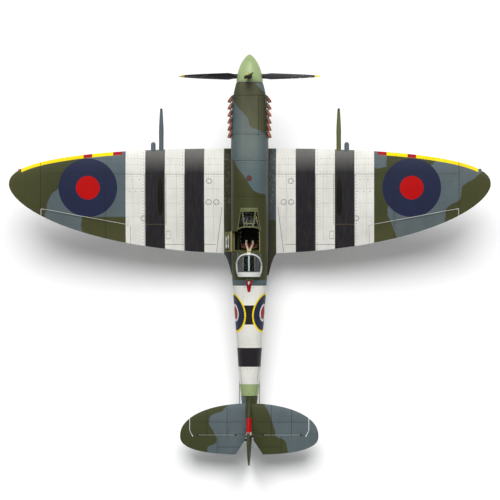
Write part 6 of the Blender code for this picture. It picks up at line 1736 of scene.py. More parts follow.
def make_elevator():
    tailplane = piece_from("tailplane_skin", tail_form())
    half, back = ELEVATOR_CUT_X + HINGE_GAP, TAIL_TIP_Y - 2 * TAIL_BACK_DEPTH
    front = ELEVATOR_Y + TORQUE_TUBE_RADIUS + HINGE_GAP
    cuts = [box((-half, back, TAILPLANE_Z - 0.05), (half, front, TAILPLANE_Z + 0.05))]
    for _, side in SIDES:
        cuts += [elevator_block(side, 0.0), elevator_nose(side, HINGE_GAP)]
    combine(tailplane, "DIFFERENCE", *cuts)
    settle(tailplane, "green_paint", "tail_paint", "tailplane")

    centre, reach = at(0, ELEVATOR_Y, TAILPLANE_Z), RIGHT * ELEVATOR_CUT_X
    elevator = piece_from("elevator_skin", rod(centre - reach, centre + reach, TORQUE_TUBE_RADIUS))
    for _, side in SIDES:
        half_piece = piece_from("elevator_half", tail_form())
        combine(half_piece, "INTERSECT", elevator_block(side, HINGE_GAP))
        combine(half_piece, "UNION", elevator_nose(side, 0.0))
        add_shapes(elevator, shape_from(half_piece))
    end = rod_end("elevator_rod")
    tip_z = end.z - 0.002
    corners = ((centre.y, centre.z), (end.y + 0.002, tip_z), (end.y - 0.002, tip_z),
               (centre.y - 0.005, centre.z))
    add_shapes(elevator, horn_plate(corners, end.x - math.copysign(0.0015, end.x)))
    settle(elevator, "green_paint", "tail_paint", "elevator", body="elevator")


def make_rudder():
    fin = piece_from("fin_skin", hull_form(TAIL_JOINT_Y - SEAM, TAIL_END_Y))
    combine(fin, "UNION", fin_form(TAILPLANE_Z - FIN_ROOT_WIDTH))
    combine(fin, "DIFFERENCE", rudder_block(0.0, 2 * HINGE_GAP), rudder_nose(HINGE_GAP))
    settle(fin, "green_paint", "tail_paint", "fin")

    rudder = piece_from("rudder_skin", fin_form(FIN_ROWS[0][0]))
    combine(rudder, "INTERSECT", rudder_block(HINGE_GAP))
    combine(rudder, "UNION", rudder_nose(0.0))
    end = rod_end("rudder_rod")
    low = end.z + 0.0016
    horn = box((end.x - 0.002, RUDDER_Y - 0.003, low), (0.0, RUDDER_Y + 0.003, low + 0.0014), edge=0.0004)
    pin = at(end.x, RUDDER_Y, low + 0.0016)
    add_shapes(rudder, horn, round_rod(pin, pin - UP * 0.0034, 0.0006, 0.0002, 12))
    settle(rudder, "green_paint", "tail_paint", "rudder", body="rudder")
    height, _, back = FIN_ROWS[3]
    lamp = ellipsoid((0, back + 0.0010, height), (0.0050, 0.0070, 0.0060), 12)
    dress("tail_lamp", lamp, "black_plastic", "dial_face", body="rudder")


# Propeller and exhausts
def spinner_radius(y):
    share = within((SPINNER_TIP_Y - y) / (SPINNER_TIP_Y - SPINNER_BASE_Y))
    return SPINNER_RADIUS * (1 - (1 - share) ** 1.75) ** 0.66


def blade_ring(radius, sides=28):
    """One section across a blade: a thin twisted lens, round at the shank."""
    run = within((radius - SPINNER_RADIUS) / (BLADE_RADIUS - SPINNER_RADIUS))
    swell = min(1.0, run / 0.15)
    swell = swell * swell * (3 - 2 * swell)
    end = max(0.0, 1 - run**5) ** 0.5
    half_chord = blend(BLADE_SHANK, BLADE_HALF_CHORD, swell) * max(0.22, end) * (1 - 0.25 * run)
    half_depth = BLADE_SHANK * (1 - swell) + 0.0024 * (1 - 0.6 * run) * swell
    pitch = Matrix.Rotation(math.radians(blend(BLADE_ROOT_PITCH, BLADE_TIP_PITCH, run)), 3, "Z")
    centre = at(0, HUB_Y, radius)
    return [centre + pitch @ at(half_chord * u, half_depth * v, 0) for u, v in round_steps(sides)]


def make_propeller():
    base = SPINNER_BASE_Y + SEAM
    length = SPINNER_TIP_Y - base
    drops = [length * (step / 30) ** 1.6 for step in range(1, 31)]
    profile = [(drop, spinner_radius(SPINNER_TIP_Y - drop)) for drop in drops]
    profile += [(length, SPINNER_RADIUS - 0.0015), (length - 0.03, SPINNER_RADIUS * 0.72)]
    nose_axes = axes_along((0, SPINNER_TIP_Y, 0), (0, SPINNER_BASE_Y, 0))
    spinner = piece_from("spinner_shell", turned(profile, nose_axes, 72))
    blade_turns = turns(BLADE_COUNT, "Y")
    inside, outside = at(0, HUB_Y, HUB_RADIUS), at(0, HUB_Y, 2 * SPINNER_RADIUS)
    holes = [rod(turn @ inside, turn @ outside, BLADE_SHANK + 0.0012, sides=32) for turn in blade_turns]
    combine(spinner, "DIFFERENCE", *holes)
    stud_y = SPINNER_BASE_Y + 0.0045
    reach = spinner_radius(stud_y)
    for turn in turns(SPINNER_STUDS, "Y", 0.5):
        ends = [turn @ at(0, stud_y, reach + lift) for lift in (-0.001, 0.0003)]
        add_shapes(spinner, round_rod(*ends, 0.0009, 0.0003, 12))
    settle(spinner, "pale_paint", "spinner_paint", "spinner", body="propeller_unit")

    shapes = [rod((0, SPINNER_BASE_Y, 0), (0, HUB_FRONT_Y, 0), HUB_RADIUS, sides=32)]
    radii = [HUB_RADIUS * 0.7] + [blend(SPINNER_RADIUS, BLADE_RADIUS, share) for share in section_shares(30)]
    for turn in blade_turns:
        blade = loft([blade_ring(radius) for radius in radii])
        bmesh.ops.transform(blade, matrix=turn, verts=blade.verts)
        shapes.append(blade)
    dress("propeller_blades", shapes, "black_plastic", "propeller_paint", "propeller",
          body="propeller_unit", smooth=40)


def make_exhaust(name, side):
    back = EXHAUST_FRONT_Y - EXHAUST_PITCH * EXHAUST_COUNT
    inside = min(hull_half_width(y, EXHAUST_Z) for y in (EXHAUST_FRONT_Y, back)) - 0.0048
    shapes = []
    for index in range(EXHAUST_COUNT):
        y = EXHAUST_FRONT_Y - EXHAUST_PITCH * index
        wall = hull_half_width(y, EXHAUST_Z)
        stack = ((wall - 0.004, 0.50, 0.0046), (wall + 0.0012, 0.34, 0.0046),
                 ((wall + EXHAUST_TIP_X) / 2 + 0.001, 0.0, 0.0043), (EXHAUST_TIP_X - 0.0008, -0.30, 0.0040),
                 (EXHAUST_TIP_X, -0.50, 0.0037))
        path = [at(side * x, y + EXHAUST_SWEEP * share, EXHAUST_Z) for x, share, _ in stack]
        shapes.append(tube(path, [radius for _, _, radius in stack], bore=0.0009, flatten=1.15))
        foot = at(side * (wall - 0.003), y + EXHAUST_SWEEP * 0.38, EXHAUST_Z)
        shapes.append(rod(foot, foot + RIGHT * (side * 0.0042), 0.0056))
    outside = hull_half_width((EXHAUST_FRONT_Y + back) / 2, EXHAUST_Z) + 0.0004
    high = (outside, EXHAUST_FRONT_Y + 0.0048, EXHAUST_Z + 0.0046)
    shapes.append(side_box(side, (inside, back, EXHAUST_Z - 0.0046), high, edge=0.0006))
    dress(f"exhaust_stacks_{name}", shapes, "burnt_steel", "exhaust_metal", f"exhaust_{name}", smooth=40)


# Glazing
def glass_piece(name, form, steps):
    skin = loft([form(share) for share in spread(0.0, 1.0, steps)], closed=False)
    return walled_piece(name, skin, GLASS)


def hull_behind_hood():
    """The fuselage as the hood meets it when it is shut, drawn around the open hood."""
    hull = hull_form(BOW_Y + 2 * HULL_WALL, REAR_GLASS_BACK_Y, SILL_RADIUS)
    hull.transform(Matrix.Translation((0, -JOINTS["canopy_slide"]["range_m"][1], 0)))
    return hull


def make_windscreen(sizes):
    bar, proud = sizes.frame_bar, sizes.frame_proud
    settle(glass_piece("windscreen_glass", screen_arch, 14), "clear", "clear_glass", "windscreen")
    frames = [
        arch_band(screen_arch, 0.94, 1.0, proud, GLASS),
        arch_band(screen_arch, 0.0, 0.10, proud),
        arch_band(screen_arch, 0.12, 0.19, proud),
        arch_band(screen_arch, 0.77, 0.84, proud, reach=0.0118),
    ]
    for _, side in SIDES:
        pane = [(share, side * (0.0172 - 0.0066 * share)) for share in spread(0.15, 0.97, 10)]
        foot = [(share, side * (SCREEN_FRONT_HALF - 0.0016 + (HOOD_HALF - SCREEN_FRONT_HALF) * share))
                for share in spread(0.05, 1.0, 10)]
        frames += [arch_bar(screen_arch, path, bar, proud) for path in (pane, foot)]
    shape = trimmed(frames, hull_form, COWL_JOINT_Y, OPENING_BACK_Y, -SEAM)
    dress("windscreen_frame", shape, "green_paint", "frame_paint")


def make_hood(sizes):
    proud = sizes.frame_proud
    hood = glass_piece("hood_glass", hood_arch, 16)
    combine(hood, "DIFFERENCE", hull_behind_hood())
    settle(hood, "clear", "clear_glass", "canopy_hood", body="canopy_hood")
    # The hoop is a painted reflection, pale in place of the bright rim on the glass.
    rims = [arch_band(hood_highlight_hoop, 0.0, 1.0, proud, 2 * GLASS),
            arch_band(hood_arch, 0.80, 1.0, proud, GLASS * 0.9)]
    for foot, side in ((0, 1), (-1, -1)):
        rail = [hood_arch(share)[foot] + at(-side * GLASS / 2, 0, 0.0016) for share in spread(0.4, 1, 8)]
        rims.append(ribbon(rail, UP, 0.0030, 2 * GLASS + 2 * proud))
    shape = trimmed(rims, hull_behind_hood)
    dress("hood_frame", shape, "pale_paint", "hood_frame_paint", body="canopy_hood")
    low = (-0.0048, HOOD_FRONT_Y - 0.0045, HOOD_TOP_Z)
    catch = box(low, (0.0048, HOOD_FRONT_Y + 0.0021, HOOD_TOP_Z + 0.0035), edge=0.0006)
    dress("hood_catch", catch, "pale_paint", "dial_white", body="canopy_hood")


def make_rear_glass():
    rear = glass_piece("rear_glass", rear_arch, 14)
    combine(rear, "DIFFERENCE", hull_form(BOW_Y, TAIL_JOINT_Y, SEAM))
    settle(rear, "clear", "clear_glass", "rear_glazing")
    bands = [arch_band(rear_arch, 0.93, 1.0, 0.0003), arch_band(rear_arch, 0.0, 0.05, 0.0003)]
    shape = trimmed(bands, hull_form, BOW_Y, TAIL_JOINT_Y, -SEAM)
    dress("rear_glass_frame", shape, "green_paint", "frame_paint")


# Cockpit
def door_block(gap):
    low = (-2 * WING_ROOT_X, OPENING_BACK_Y + gap, DOOR_BOTTOM_Z + gap)
    return box(low, (-OPENING_BACK_HALF + HULL_WALL, DOOR_FRONT_Y - gap, HOOD_RAIL_Z))


def make_door():
    """The door and its fittings are shaped shut, then turned open about the hinge."""
    hinge = Matrix.Translation(place_of("cockpit_door_hinge"))
    angle = -math.radians(JOINTS["cockpit_door_hinge"]["range_deg"][1])
    opened = hinge @ Matrix.Rotation(angle, 4, "Y") @ hinge.inverted()
    skin = hull_form(BOW_Y + HULL_WALL, OPENING_BACK_Y - HULL_WALL, caps=False)
    door = walled_piece("door_skin", skin, HULL_WALL)
    combine(door, "INTERSECT", door_block(0.0007))
    low = (-OPENING_BACK_HALF, OPENING_BACK_Y, DOOR_BOTTOM_Z - HULL_WALL)
    combine(door, "DIFFERENCE", box(low, (WING_ROOT_X, BOW_Y, HOOD_TOP_Z)))
    door.data.transform(opened)
    settle(door, "green_paint", "frame_paint", "cockpit_door", body="cockpit_door")

    back, front = OPENING_BACK_Y + 0.003, DOOR_FRONT_Y - 0.003
    middle = (back + front) / 2

    def wall(z, lift):
        return -hull_half_width(middle, z) + HULL_WALL + lift

    def wall_path(y, lift, low, high):
        heights = spread(DOOR_BOTTOM_Z + low, HOOD_RAIL_Z - high, 8)
        return [at(wall(z, lift), y, z) for z in heights]

    def fit(name, shapes, slot, finish):
        shape = joined(*shapes)
        shape.transform(opened)
        dress(name, shape, slot, finish, body="cockpit_door")

    ribs = []
    for z in (DOOR_BOTTOM_Z + 0.004, HOOD_RAIL_Z - 0.0045):
        x = wall(z, 0.0004)
        ribs.append(box((x - 0.001, back, z - 0.0014), (x + 0.0009, front, z + 0.0014), edge=0.0004))
    for y in (back + 0.001, front - 0.001):
        ribs.append(ribbon(wall_path(y, 0.0002, 0.003, 0.004), AHEAD, 0.0026, 0.0014))
    fit("door_ribs", ribs, "green_paint", "frame_paint")
    # The lining is near-black, standing in for the shade inside the door.
    lining = ribbon(wall_path(middle, 0.0001, 0.004, 0.005), AHEAD, front - back - 0.004, 0.0006)
    fit("door_lining", [lining], "green_paint", "well_paint")
    bars = []
    for z, end in ((0.029, front - 0.006), (0.041, front - 0.010)):
        x, start = wall(z, 0.0016), back + 0.006
        path = [at(x, blend(start, end, share), z + 0.0016 * math.sin(2.2 * share))
                for share in spread(0, 1, 8)]
        bars.append(tube(path, 0.0011, sides=12))
        bars += [box((x - 0.0024, y - 0.0012, z - 0.0012), (x + 0.0004, y + 0.0012, z + 0.0020), edge=0.0003)
                 for y in (start + 0.006, end - 0.006)]
    fit("door_crowbar", bars, "steel", "steel")


def make_lining():
    """The ribbed floor and walls of the cockpit, its sills with pale edges that are partly a painted
    highlight, and a near-black well under the rear deck that stands in for shade.
    """
    front, back = TUB_ENDS_Y
    floor = TUB_FLOOR_Z
    shapes = [
        box((-TUB_HALF, back, floor), (TUB_HALF, front, floor + TUB_WALL)),
        box((-TUB_HALF, back, floor), (TUB_HALF, back + TUB_WALL, TUB_TOP_Z + 0.010)),
        box((-TUB_HALF, front - TUB_WALL, floor), (TUB_HALF, front, TUB_TOP_Z)),
    ]
    face = TUB_HALF - TUB_WALL
    for _, side in SIDES:
        roof = TUB_TOP_Z if side > 0 else DOOR_BOTTOM_Z - SEAM
        shapes.append(side_box(side, (face, back, floor), (TUB_HALF, front, roof)))
        for y in spread(back + 0.012, front - 0.012, 4):
            rib = (face - TUB_WALL, y - 0.001, floor), (face, y + 0.001, roof)
            shapes.append(side_box(side, *rib, edge=0.0003))
    dress("cockpit_lining", shapes, "green_paint", "cockpit_paint", "cockpit_tub")

    # The deck well is a near-black sheet that stands in for the shade inside the fuselage under the deck
    # opening.
    top = hull_top(DECK_ENDS_Y[1])
    half = DECK_HALF + 0.001
    low = (-half, DECK_ENDS_Y[1] - 0.001, top - 0.014)
    well = box(low, (half, DECK_ENDS_Y[0] + 0.001, top - 0.012), edge=0.0004)
    dress("deck_well", well, "black_plastic", "well_paint")
    low = (-0.0412, OPENING_BACK_Y + 0.002, DOOR_BOTTOM_Z - 0.003)
    sill = box(low, (-0.0362, BOW_Y - 0.002, DOOR_BOTTOM_Z - 0.0012), edge=0.0004)
    dress("door_sill", sill, "green_paint", "frame_paint")

    # Pale edges of the sills, hinge and deck opening: partly wear, partly a painted highlight where the edges
    # catch the light.
    sill_x = OPENING_BACK_HALF - 0.0013
    corners = ((OPENING_FRONT_HALF, OPENING_FRONT_Y), (0.0213, (OPENING_FRONT_Y + BOW_Y) / 2),
               (sill_x, BOW_Y), (sill_x, OPENING_BACK_Y))
    rim = [at(x, y, hull_top(y, x) - SEAM) for x, y in corners]
    hinge = place_of("cockpit_door_hinge")
    ends = [at(hinge.x, y, hinge.z) for y in (OPENING_BACK_Y + 0.001, BOW_Y - 0.001)]
    edges = [tube(rim, SILL_RADIUS, sides=10), round_rod(*ends, 0.0021, 0.0004)]
    for _, side in SIDES:
        x = side * (DECK_HALF + 0.0007)
        path = [at(x, y, hull_top(y, x) + 0.0004) for y in spread(*DECK_ENDS_Y, 4)]
        edges.append(ribbon(path, RIGHT, 0.0014, 0.0010))
    dress("worn_and_lit_sills", edges, "green_paint", "worn_edge")


def make_panel(sizes):
    foot = Matrix.Translation((0, PANEL_Y, 0))
    axes = foot @ Matrix.Rotation(-PANEL_LEAN, 4, "X")
    half = PANEL_HALF
    hood = [at(x, PANEL_Y + 0.014 + 0.006 * (1 - (x / half) ** 2), 0.0300) for x in spread(-half, half, 12)]
    shapes = [
        box((-half, 0.0, 0.0), (half, 0.0015, 0.034), axes, edge=0.0005),
        box((-0.0252, 0.0, -0.0008), (0.0252, 0.0030, 0.0015), foot),
        tube(hood, 0.0016, sides=12),
    ]
    dress("dial_panel", shapes, "black_plastic", "black_plastic", "instrument_panel")

    radius = sizes.dial_radius
    rim = [(0.0, radius), (0.0010, radius), (0.0012, radius * 0.88), (0.0004, radius * 0.84)]
    rims, faces, marks = [], [], []
    for x, height in DIAL_SPOTS:
        spot = axes @ Matrix.Translation((x, 0.0, height)) @ Matrix.Rotation(math.pi / 2, 4, "X")
        rims.append(turned(rim, spot, 28, False))
        faces.append(turned([(0.0, radius * 0.9), (0.0005, radius * 0.86)], spot, 28))
        marks += [box((-DIAL_MARK, radius * 0.50, 0.0004), (DIAL_MARK, radius * 0.82, 0.0008), spot @ turn)
                  for turn in turns(8, "Z")]
        hand = spot @ Matrix.Rotation(0.9 + 40 * x, 4, "Z")
        marks.append(box((-DIAL_MARK, -radius * 0.15, 0.0005), (DIAL_MARK, radius * 0.6, 0.0009), hand))
    for x in (-0.0062, 0.0072):
        foot = at(x, PANEL_Y - 0.0022, 0.0)
        marks.append(round_rod(foot, foot + UP * 0.010, 0.0017, 0.0004, 16))
    dress("dial_rims", rims, "pale_paint", "dial_white")
    dress("dial_faces", faces, "black_plastic", "dial_face")
    dress("dial_marks", marks, "pale_paint", "dial_white")

    lens_y = PANEL_Y + 0.014
    sight = (box((-0.0030, lens_y - 0.004, 0.036), (0.0030, lens_y + 0.004, 0.043), edge=0.0006),
             round_rod((0, lens_y, 0.041), (0, lens_y, 0.0475), 0.0028, 0.0006))
    dress("gun_sight", sight, "black_plastic", "gunmetal")


def cushion(axes, half, low, high, depth, steps=20):
    """A crowned pad with sewn channels, whose sides pull in between its corners."""
    middle, tall = (low + high) / 2, (high - low) / 2
    skins = []
    for front in (True, False):
        skin = bmesh.new()
        bmesh.ops.create_grid(skin, x_segments=2 * steps, y_segments=steps, size=1.0)
        for vert in skin.verts:
            u, v = vert.co.x, vert.co.y
            crown = ((1 - u**6) * (1 - v**6)) ** 0.5
            channel = 1 - 0.35 * math.exp(-((math.sin(2.5 * math.pi * (u + 1) / 2)) / 0.22) ** 2) * crown
            x = u * half * (1 - 0.05 * (1 - v * v) * abs(u) ** 3)
            z = middle + v * tall * (1 - 0.07 * (1 - u * u) * abs(v) ** 3)
            rise = depth * crown * channel if front else -depth * 0.12 * crown
            vert.co = axes @ at(x, 0.0030 + rise, z)
        skins.append(skin)
    whole = joined(*skins)
    bmesh.ops.remove_doubles(whole, verts=whole.verts, dist=0.00005)
    return whole


def make_seat():
    lean = Matrix.Translation((0, -0.148, -0.012)) @ Matrix.Rotation(SEAT_LEAN, 4, "X")
    rings = []
    for share in spread(0.0, 1.0, 12):
        x = blend(-SEAT_HALF, SEAT_HALF, share)
        curl = 0.006 * abs(2 * share - 1) ** 4
        run = [at(x, -0.112 - curl * 0.3, -0.011 + curl), at(x, -0.130, -0.0125 + curl),
               at(x, -0.1465, -0.0105 + curl)]
        run += [lean @ at(x, 0.0014 + curl * 1.6, z) for z in (0.006, 0.02, 0.034, 0.043 - curl)]
        rings.append(run)
    seat = walled_piece("seat_bucket", loft(rings, closed=False), 0.0012)
    posts = [rod((x, -0.130, TUB_FLOOR_Z + TUB_WALL), (x, -0.130, -0.011), 0.0025) for x in (-0.014, 0.014)]
    add_shapes(seat, *posts)
    settle(seat, "seat_pad", "cockpit_paint", "pilot_seat")
    pad = piece_from("seat_back_pad", cushion(lean, 0.0205, 0.014, 0.0395, 0.0052))
    settle(pad, "seat_pad", "seat_leather")
    return lean


def make_straps(lean, width):
    """The harness from its block on the bulkhead down over the seat, and the strap that holds it behind."""
    block = at(0, STRAP_BLOCK_Y, STRAP_BLOCK_Z)
    straps = []
    for _, side in SIDES:
        path = [block + at(side * 0.0016, 0.002, 0.001), at(side * 0.0030, -0.1615, 0.0470),
                at(side * 0.0058, -0.1535, 0.0330), lean @ at(side * 0.0072, 0.0086, 0.0330),
                lean @ at(side * 0.0082, 0.0092, 0.0180), at(side * 0.0075, -0.1380, -0.0060)]
        straps.append(ribbon(smooth_path(path, 5), RIGHT, width, 0.0008))
    dress("shoulder_straps", straps, "seat_pad", "webbing")
    end = DECK_ENDS_Y[1]
    tail = [block, at(0, -0.178, STRAP_BLOCK_Z + 0.0015), at(0, -0.196, hull_top(-0.196) + 0.0016),
            at(0, end - 0.001, hull_top(end) + 0.0012)]
    dress("deck_strap", ribbon(smooth_path(tail, 5), RIGHT, width * 0.8, 0.0010), "seat_pad", "dial_white")
    catch = box((-0.0042, -0.0026, -0.0012), (0.0042, 0.0026, 0.0018), Matrix.Translation(block), edge=0.0006)
    dress("strap_block", catch, "pale_paint", "dial_white")
    low = (-0.0240, -0.1700, STRAP_BLOCK_Z - 0.0040)
    rim = box(low, (0.0240, -0.1662, STRAP_BLOCK_Z - 0.0016), edge=0.0006)
    dress("bulkhead_rim", rim, "green_paint", "cockpit_paint")


def make_cockpit_fittings():
    base = at(0, STICK_Y, TUB_FLOOR_Z + TUB_WALL)
    stem = [(0.0, 0.0040), (0.003, 0.0036), (0.006, 0.0022), (0.020, 0.0017), (0.040, 0.0015)]
    loop = [base + at(GRIP_RADIUS * math.cos(angle), 0, 0.040 + GRIP_RADIUS + GRIP_RADIUS * math.sin(angle))
            for angle in spread(-math.pi / 2, 1.5 * math.pi, 24)]
    stick = (turned(stem, Matrix.Translation(base)), tube(loop, 0.0014, sides=12))
    dress("stick_and_grip", stick, "black_plastic", "black_plastic", "control_stick")
    consoles = [side_box(side, (0.0195, -0.150, -0.004), (0.0253, -0.104, 0.006), edge=0.0010)
                for _, side in SIDES]
    dress("side_consoles", consoles, "green_paint", "cockpit_paint")
    knobs = []
    for _, side in SIDES:
        for step in range(4):
            spot = at(side * 0.0222, -0.110 - 0.010 * step, 0.006)
            knobs.append(round_rod(spot, spot + UP * (0.0025 + 0.001 * (step % 2)), 0.0014, 0.0005, 14))
    lever = at(-0.0215, -0.122, 0.006)
    knobs.append(rod(lever, lever + at(0, 0.004, 0.011), 0.0007, sides=10))
    knobs.append(ellipsoid(lever + at(0, 0.004, 0.0115), (0.0036, 0.0036, 0.0036), 10))
    dress("console_knobs", knobs, "black_plastic", "black_plastic")


# Guns and small fittings
def make_cannon(name, side):
    def nose_axes(x):
        front, z = wing_nose(x)
        return front, axes_along((side * x, front, z), (side * x, front + 1, z))

    front, axes = nose_axes(CANNON_X)
    reach = CANNON_MUZZLE_Y - front
    barrel = [(-0.0125, 0.0058), (0.030, 0.0058), (0.044, 0.0061), (0.060, 0.0055), (0.080, 0.0045),
              (reach - 0.009, 0.0036), (reach - 0.003, 0.0030), (reach, 0.0022), (reach, 0.0014),
              (reach - 0.010, 0.0012)]
    shapes = [turned(barrel, axes, 36)]
    for height in (0.012, 0.028):
        band = [(-0.0008, 0.0052), (-0.0004, 0.0061), (0.0004, 0.0061), (0.0008, 0.0052)]
        shapes.append(turned([(height + step, radius) for step, radius in band], axes, 36))
    front, axes = nose_axes(CANNON_X + STUB_OFFSET_X)
    dome = STUB_END_Y - front - 0.006
    stub = [(-0.0125, STUB_RADIUS)]
    stub += [(dome + 0.006 * math.sin(angle), STUB_RADIUS * math.cos(angle) + 0.0001)
             for angle in spread(0.0, math.pi / 2, 8)]
    shapes.append(turned(stub, axes, 32))
    dress(f"cannon_barrel_{name}", shapes, "alloy", "cannon_paint", f"cannon_{name}")


def make_small_fittings():
    foot = hull_top(MAST_Y)
    rings = []
    for share in spread(0.0, 1.0, 10):
        z = foot - 0.003 + (MAST_HEIGHT + 0.003) * share
        long, thin = blend(0.0030, 0.0015, share), blend(0.0016, 0.0009, share)
        rings.append([at(thin * u, MAST_Y - MAST_LEAN * share + long * v, z) for u, v in round_steps(20)])
    profile = [(0.0, 0.0034), (0.0008, 0.0032), (0.0012, 0.0024)]
    base = turned(profile, Matrix.Translation((0, MAST_Y, foot - 0.0008)))
    dress("mast_blade", (loft(rings), base), "pale_paint", "mast_paint", "aerial_mast")

    skin = wing_heights(PITOT_X, PITOT_Y)[0]
    level = skin - PITOT_DROP
    stem = [at(-PITOT_X, PITOT_Y + run, z) for run, z in (
        (0.0, skin + 0.002), (0.0, level + 0.004), (0.0012, level + 0.001), (0.004, level))]
    head = [(0.0, 0.0015), (0.012, 0.0015), (0.013, 0.0011), (PITOT_LENGTH, 0.0009), (PITOT_LENGTH, 0.0004),
            (PITOT_LENGTH - 0.006, 0.0003)]
    axes = axes_along((-PITOT_X, PITOT_Y - 0.001, level), (-PITOT_X, PITOT_Y + 1, level))
    pitot = (tube(smooth_path(stem, 4), 0.0011, sides=14), turned(head, axes, 20))
    dress("pitot_head", pitot, "steel", "steel", "pitot_tube")


# Undercarriage
def make_leg(name, side):
    pivot, foot, along, wheelward, _ = gear_places(name, side)
    across = along.cross(wheelward)
    length = (foot - pivot).length
    axes = frame_axes(across, wheelward, along, pivot)
    boss = axis_of(f"leg_{name}_retract") * BOSS_HALF
    collar, collar_end = length * 0.66, length * 0.69
    strut = [(0.0, 0.0036), (0.010, 0.0036), (0.014, 0.0032), (collar, 0.0032), (collar, 0.0035),
             (collar_end, 0.0035), (collar_end, 0.0023), (length - 0.009, 0.0023), (length - 0.008, 0.0033),
             (length - 0.002, 0.0036), (length + 0.0022, 0.0030)]
    aft = math.copysign(1.0, -across.y)
    bend = axes @ at(aft * 0.0085, 0, length * 0.80)
    shapes = [
        turned(strut, axes, 28),
        round_rod(pivot - boss, pivot + boss, BOSS_RADIUS, 0.0006),
        round_rod(foot, foot + wheelward * AXLE_LENGTH, 0.0014, 0.0003),
        round_rod(bend - wheelward * 0.0024, bend + wheelward * 0.0024, 0.0009, 0.0002, 14),
    ]
    for reach, run in ((0.0032, 0.70), (0.0026, 0.90)):
        shapes.append(ribbon([axes @ at(aft * reach, 0, length * run), bend], wheelward, 0.0036, 0.0011))
    for run in (COVER_START + 0.008, length - 0.043):
        shapes.append(rod(axes @ at(0, 0, run), axes @ at(0, COVER_OFFSET + 0.0006, run), 0.0014))
    dress(f"leg_strut_{name}", shapes, "alloy", "alloy", f"main_leg_{name}", body=f"main_leg_{name}")

    rings = []
    for share in spread(0.0, 1.0, 12):
        run = blend(COVER_START, length - 0.035, share)
        half = COVER_HALF * (0.86 + 0.14 * math.sin(math.pi * min(1.0, share * 1.4 + 0.2) / 2))
        section = [at(half * u, COVER_OFFSET - 0.0008 * u * u, run) for u in spread(-1, 1, 8)]
        outer = [place + AHEAD * COVER_THICKNESS for place in section]
        rings.append([axes @ place for place in outer + section[::-1]])
    dress(f"leg_cover_{name}", loft(rings), "grey_paint", "under_paint", body=f"main_leg_{name}")


def wheel_shapes(axes, radius, width, treads):
    """A tyre with grooves round its tread, and a hub with a pressed disc and bolts."""
    half, rim = width / 2, radius * 0.62

    def both_sides(profile, middle=()):
        return profile + list(middle) + [(-height, reach) for height, reach in reversed(profile)]

    edge = [(half * 0.80, rim * 0.97), (half * 0.95, rim * 1.03), (half, radius * 0.76),
            (half * 0.93, radius * 0.86), (half * 0.76, radius * 0.94), (half * 0.55, radius * 0.983)]
    gap, groove = half * 0.40 / treads, radius * 0.978
    tread = []
    for index in range(treads):
        middle = half * 0.48 * (1 - 2 * (index + 0.5) / treads)
        tread += [(middle + gap, radius), (middle - gap, radius), (middle - gap, groove)]
        if index < treads - 1:
            tread.append((middle - 1.25 * gap, groove))
    bead = [(-half * 0.6, rim * 0.9), (half * 0.6, rim * 0.9), edge[0]]
    tyre = turned(both_sides(edge, tread) + bead, axes, 56, caps=False)
    face = [(half * 0.72, 0.0016), (half * 0.72, rim * 0.30), (half * 0.55, rim * 0.40),
            (half * 0.42, rim * 0.62), (half * 0.46, rim * 0.82), (half * 0.84, rim * 0.90),
            (half * 0.90, rim * 0.99)]
    hub = [turned(both_sides(face) + [face[0]], axes, 48, caps=False)]
    for turn in turns(8, "Z"):
        for end in (-half, half):
            ends = [axes @ turn @ at(rim * 0.70, 0, end * share) for share in (0.40, 0.54)]
            hub.append(round_rod(*ends, rim * 0.06, rim * 0.02, 12))
    return tyre, joined(*hub)


def make_wheel(place, axis, size, title, body):
    tyre, hub = wheel_shapes(axes_along(place, place + axis), *size)
    dress(title.format("tyre"), tyre, "tyre", "tyre_rubber", body, body=body)
    dress(title.format("hub"), hub, "alloy", "alloy", body=body)


def make_wheels():
    for name, side in SIDES:
        _, foot, _, wheelward, _ = gear_places(name, side)
        size = (WHEEL_RADIUS, WHEEL_WIDTH, 5)
        place = foot + wheelward * WHEEL_OFFSET
        make_wheel(place, wheelward, size, f"main_{{}}_{name}", f"main_wheel_{name}")
    size = (TAIL_WHEEL_RADIUS, TAIL_WHEEL_WIDTH, 3)
    make_wheel(place_of("tail_wheel_spin"), RIGHT, size, "tail_{}", "tail_wheel")


def make_tail_leg():
    axle = place_of("tail_wheel_spin")
    steer = place_of("tail_wheel_steer")
    top = hull_size(steer.y)[2] + 0.004 - steer.z
    stem = [(0.0, 0.0030), (0.002, 0.0034), (0.004, 0.0026), (top, 0.0026)]
    shapes = [turned(stem, Matrix.Translation(steer))]
    for _, side in SIDES:
        path = [steer + at(side * 0.0010, 0.001, 0.0008), steer + at(side * 0.0050, -0.0010, 0.0006),
                at(side * 0.0059, axle.y + 0.005, steer.z - 0.003),
                at(side * 0.0059, axle.y, axle.z - 0.0018)]
        shapes.append(ribbon(smooth_path(path, 5), at(0, 1, 0.25), 0.0046, 0.0020))
        end = RIGHT * (side * 0.0072)
        shapes.append(round_rod(axle + end * 0.6, axle + end, 0.0020, 0.0004, 16))
    dress("tail_fork", shapes, "alloy", "alloy", "tail_wheel_leg", body="tail_wheel_fork")


# Carried-over nodes of the frame
CARRIED_FINISHES = {
    "plywood": ("equipment_tray",),
    "carbon_weave": ("wing_spar_tube",),
    "battery_wrap": ("battery_pack",),
    "coil_copper": ("motor_stator",),
    "alloy": ("motor_rotor",),
    "steel": ("aileron_rod_left", "aileron_rod_right"),
    "black_plastic": (
        "elevator_rod", "rudder_rod", "spinner_backplate", "speed_controller", "receiver", "elevator_servo",
        "rudder_servo", "aileron_servo_left", "aileron_servo_right", "elevator_arm", "rudder_arm",
        "aileron_arm_left", "aileron_arm_right", "retract_unit_left", "retract_unit_right",
    ),
}


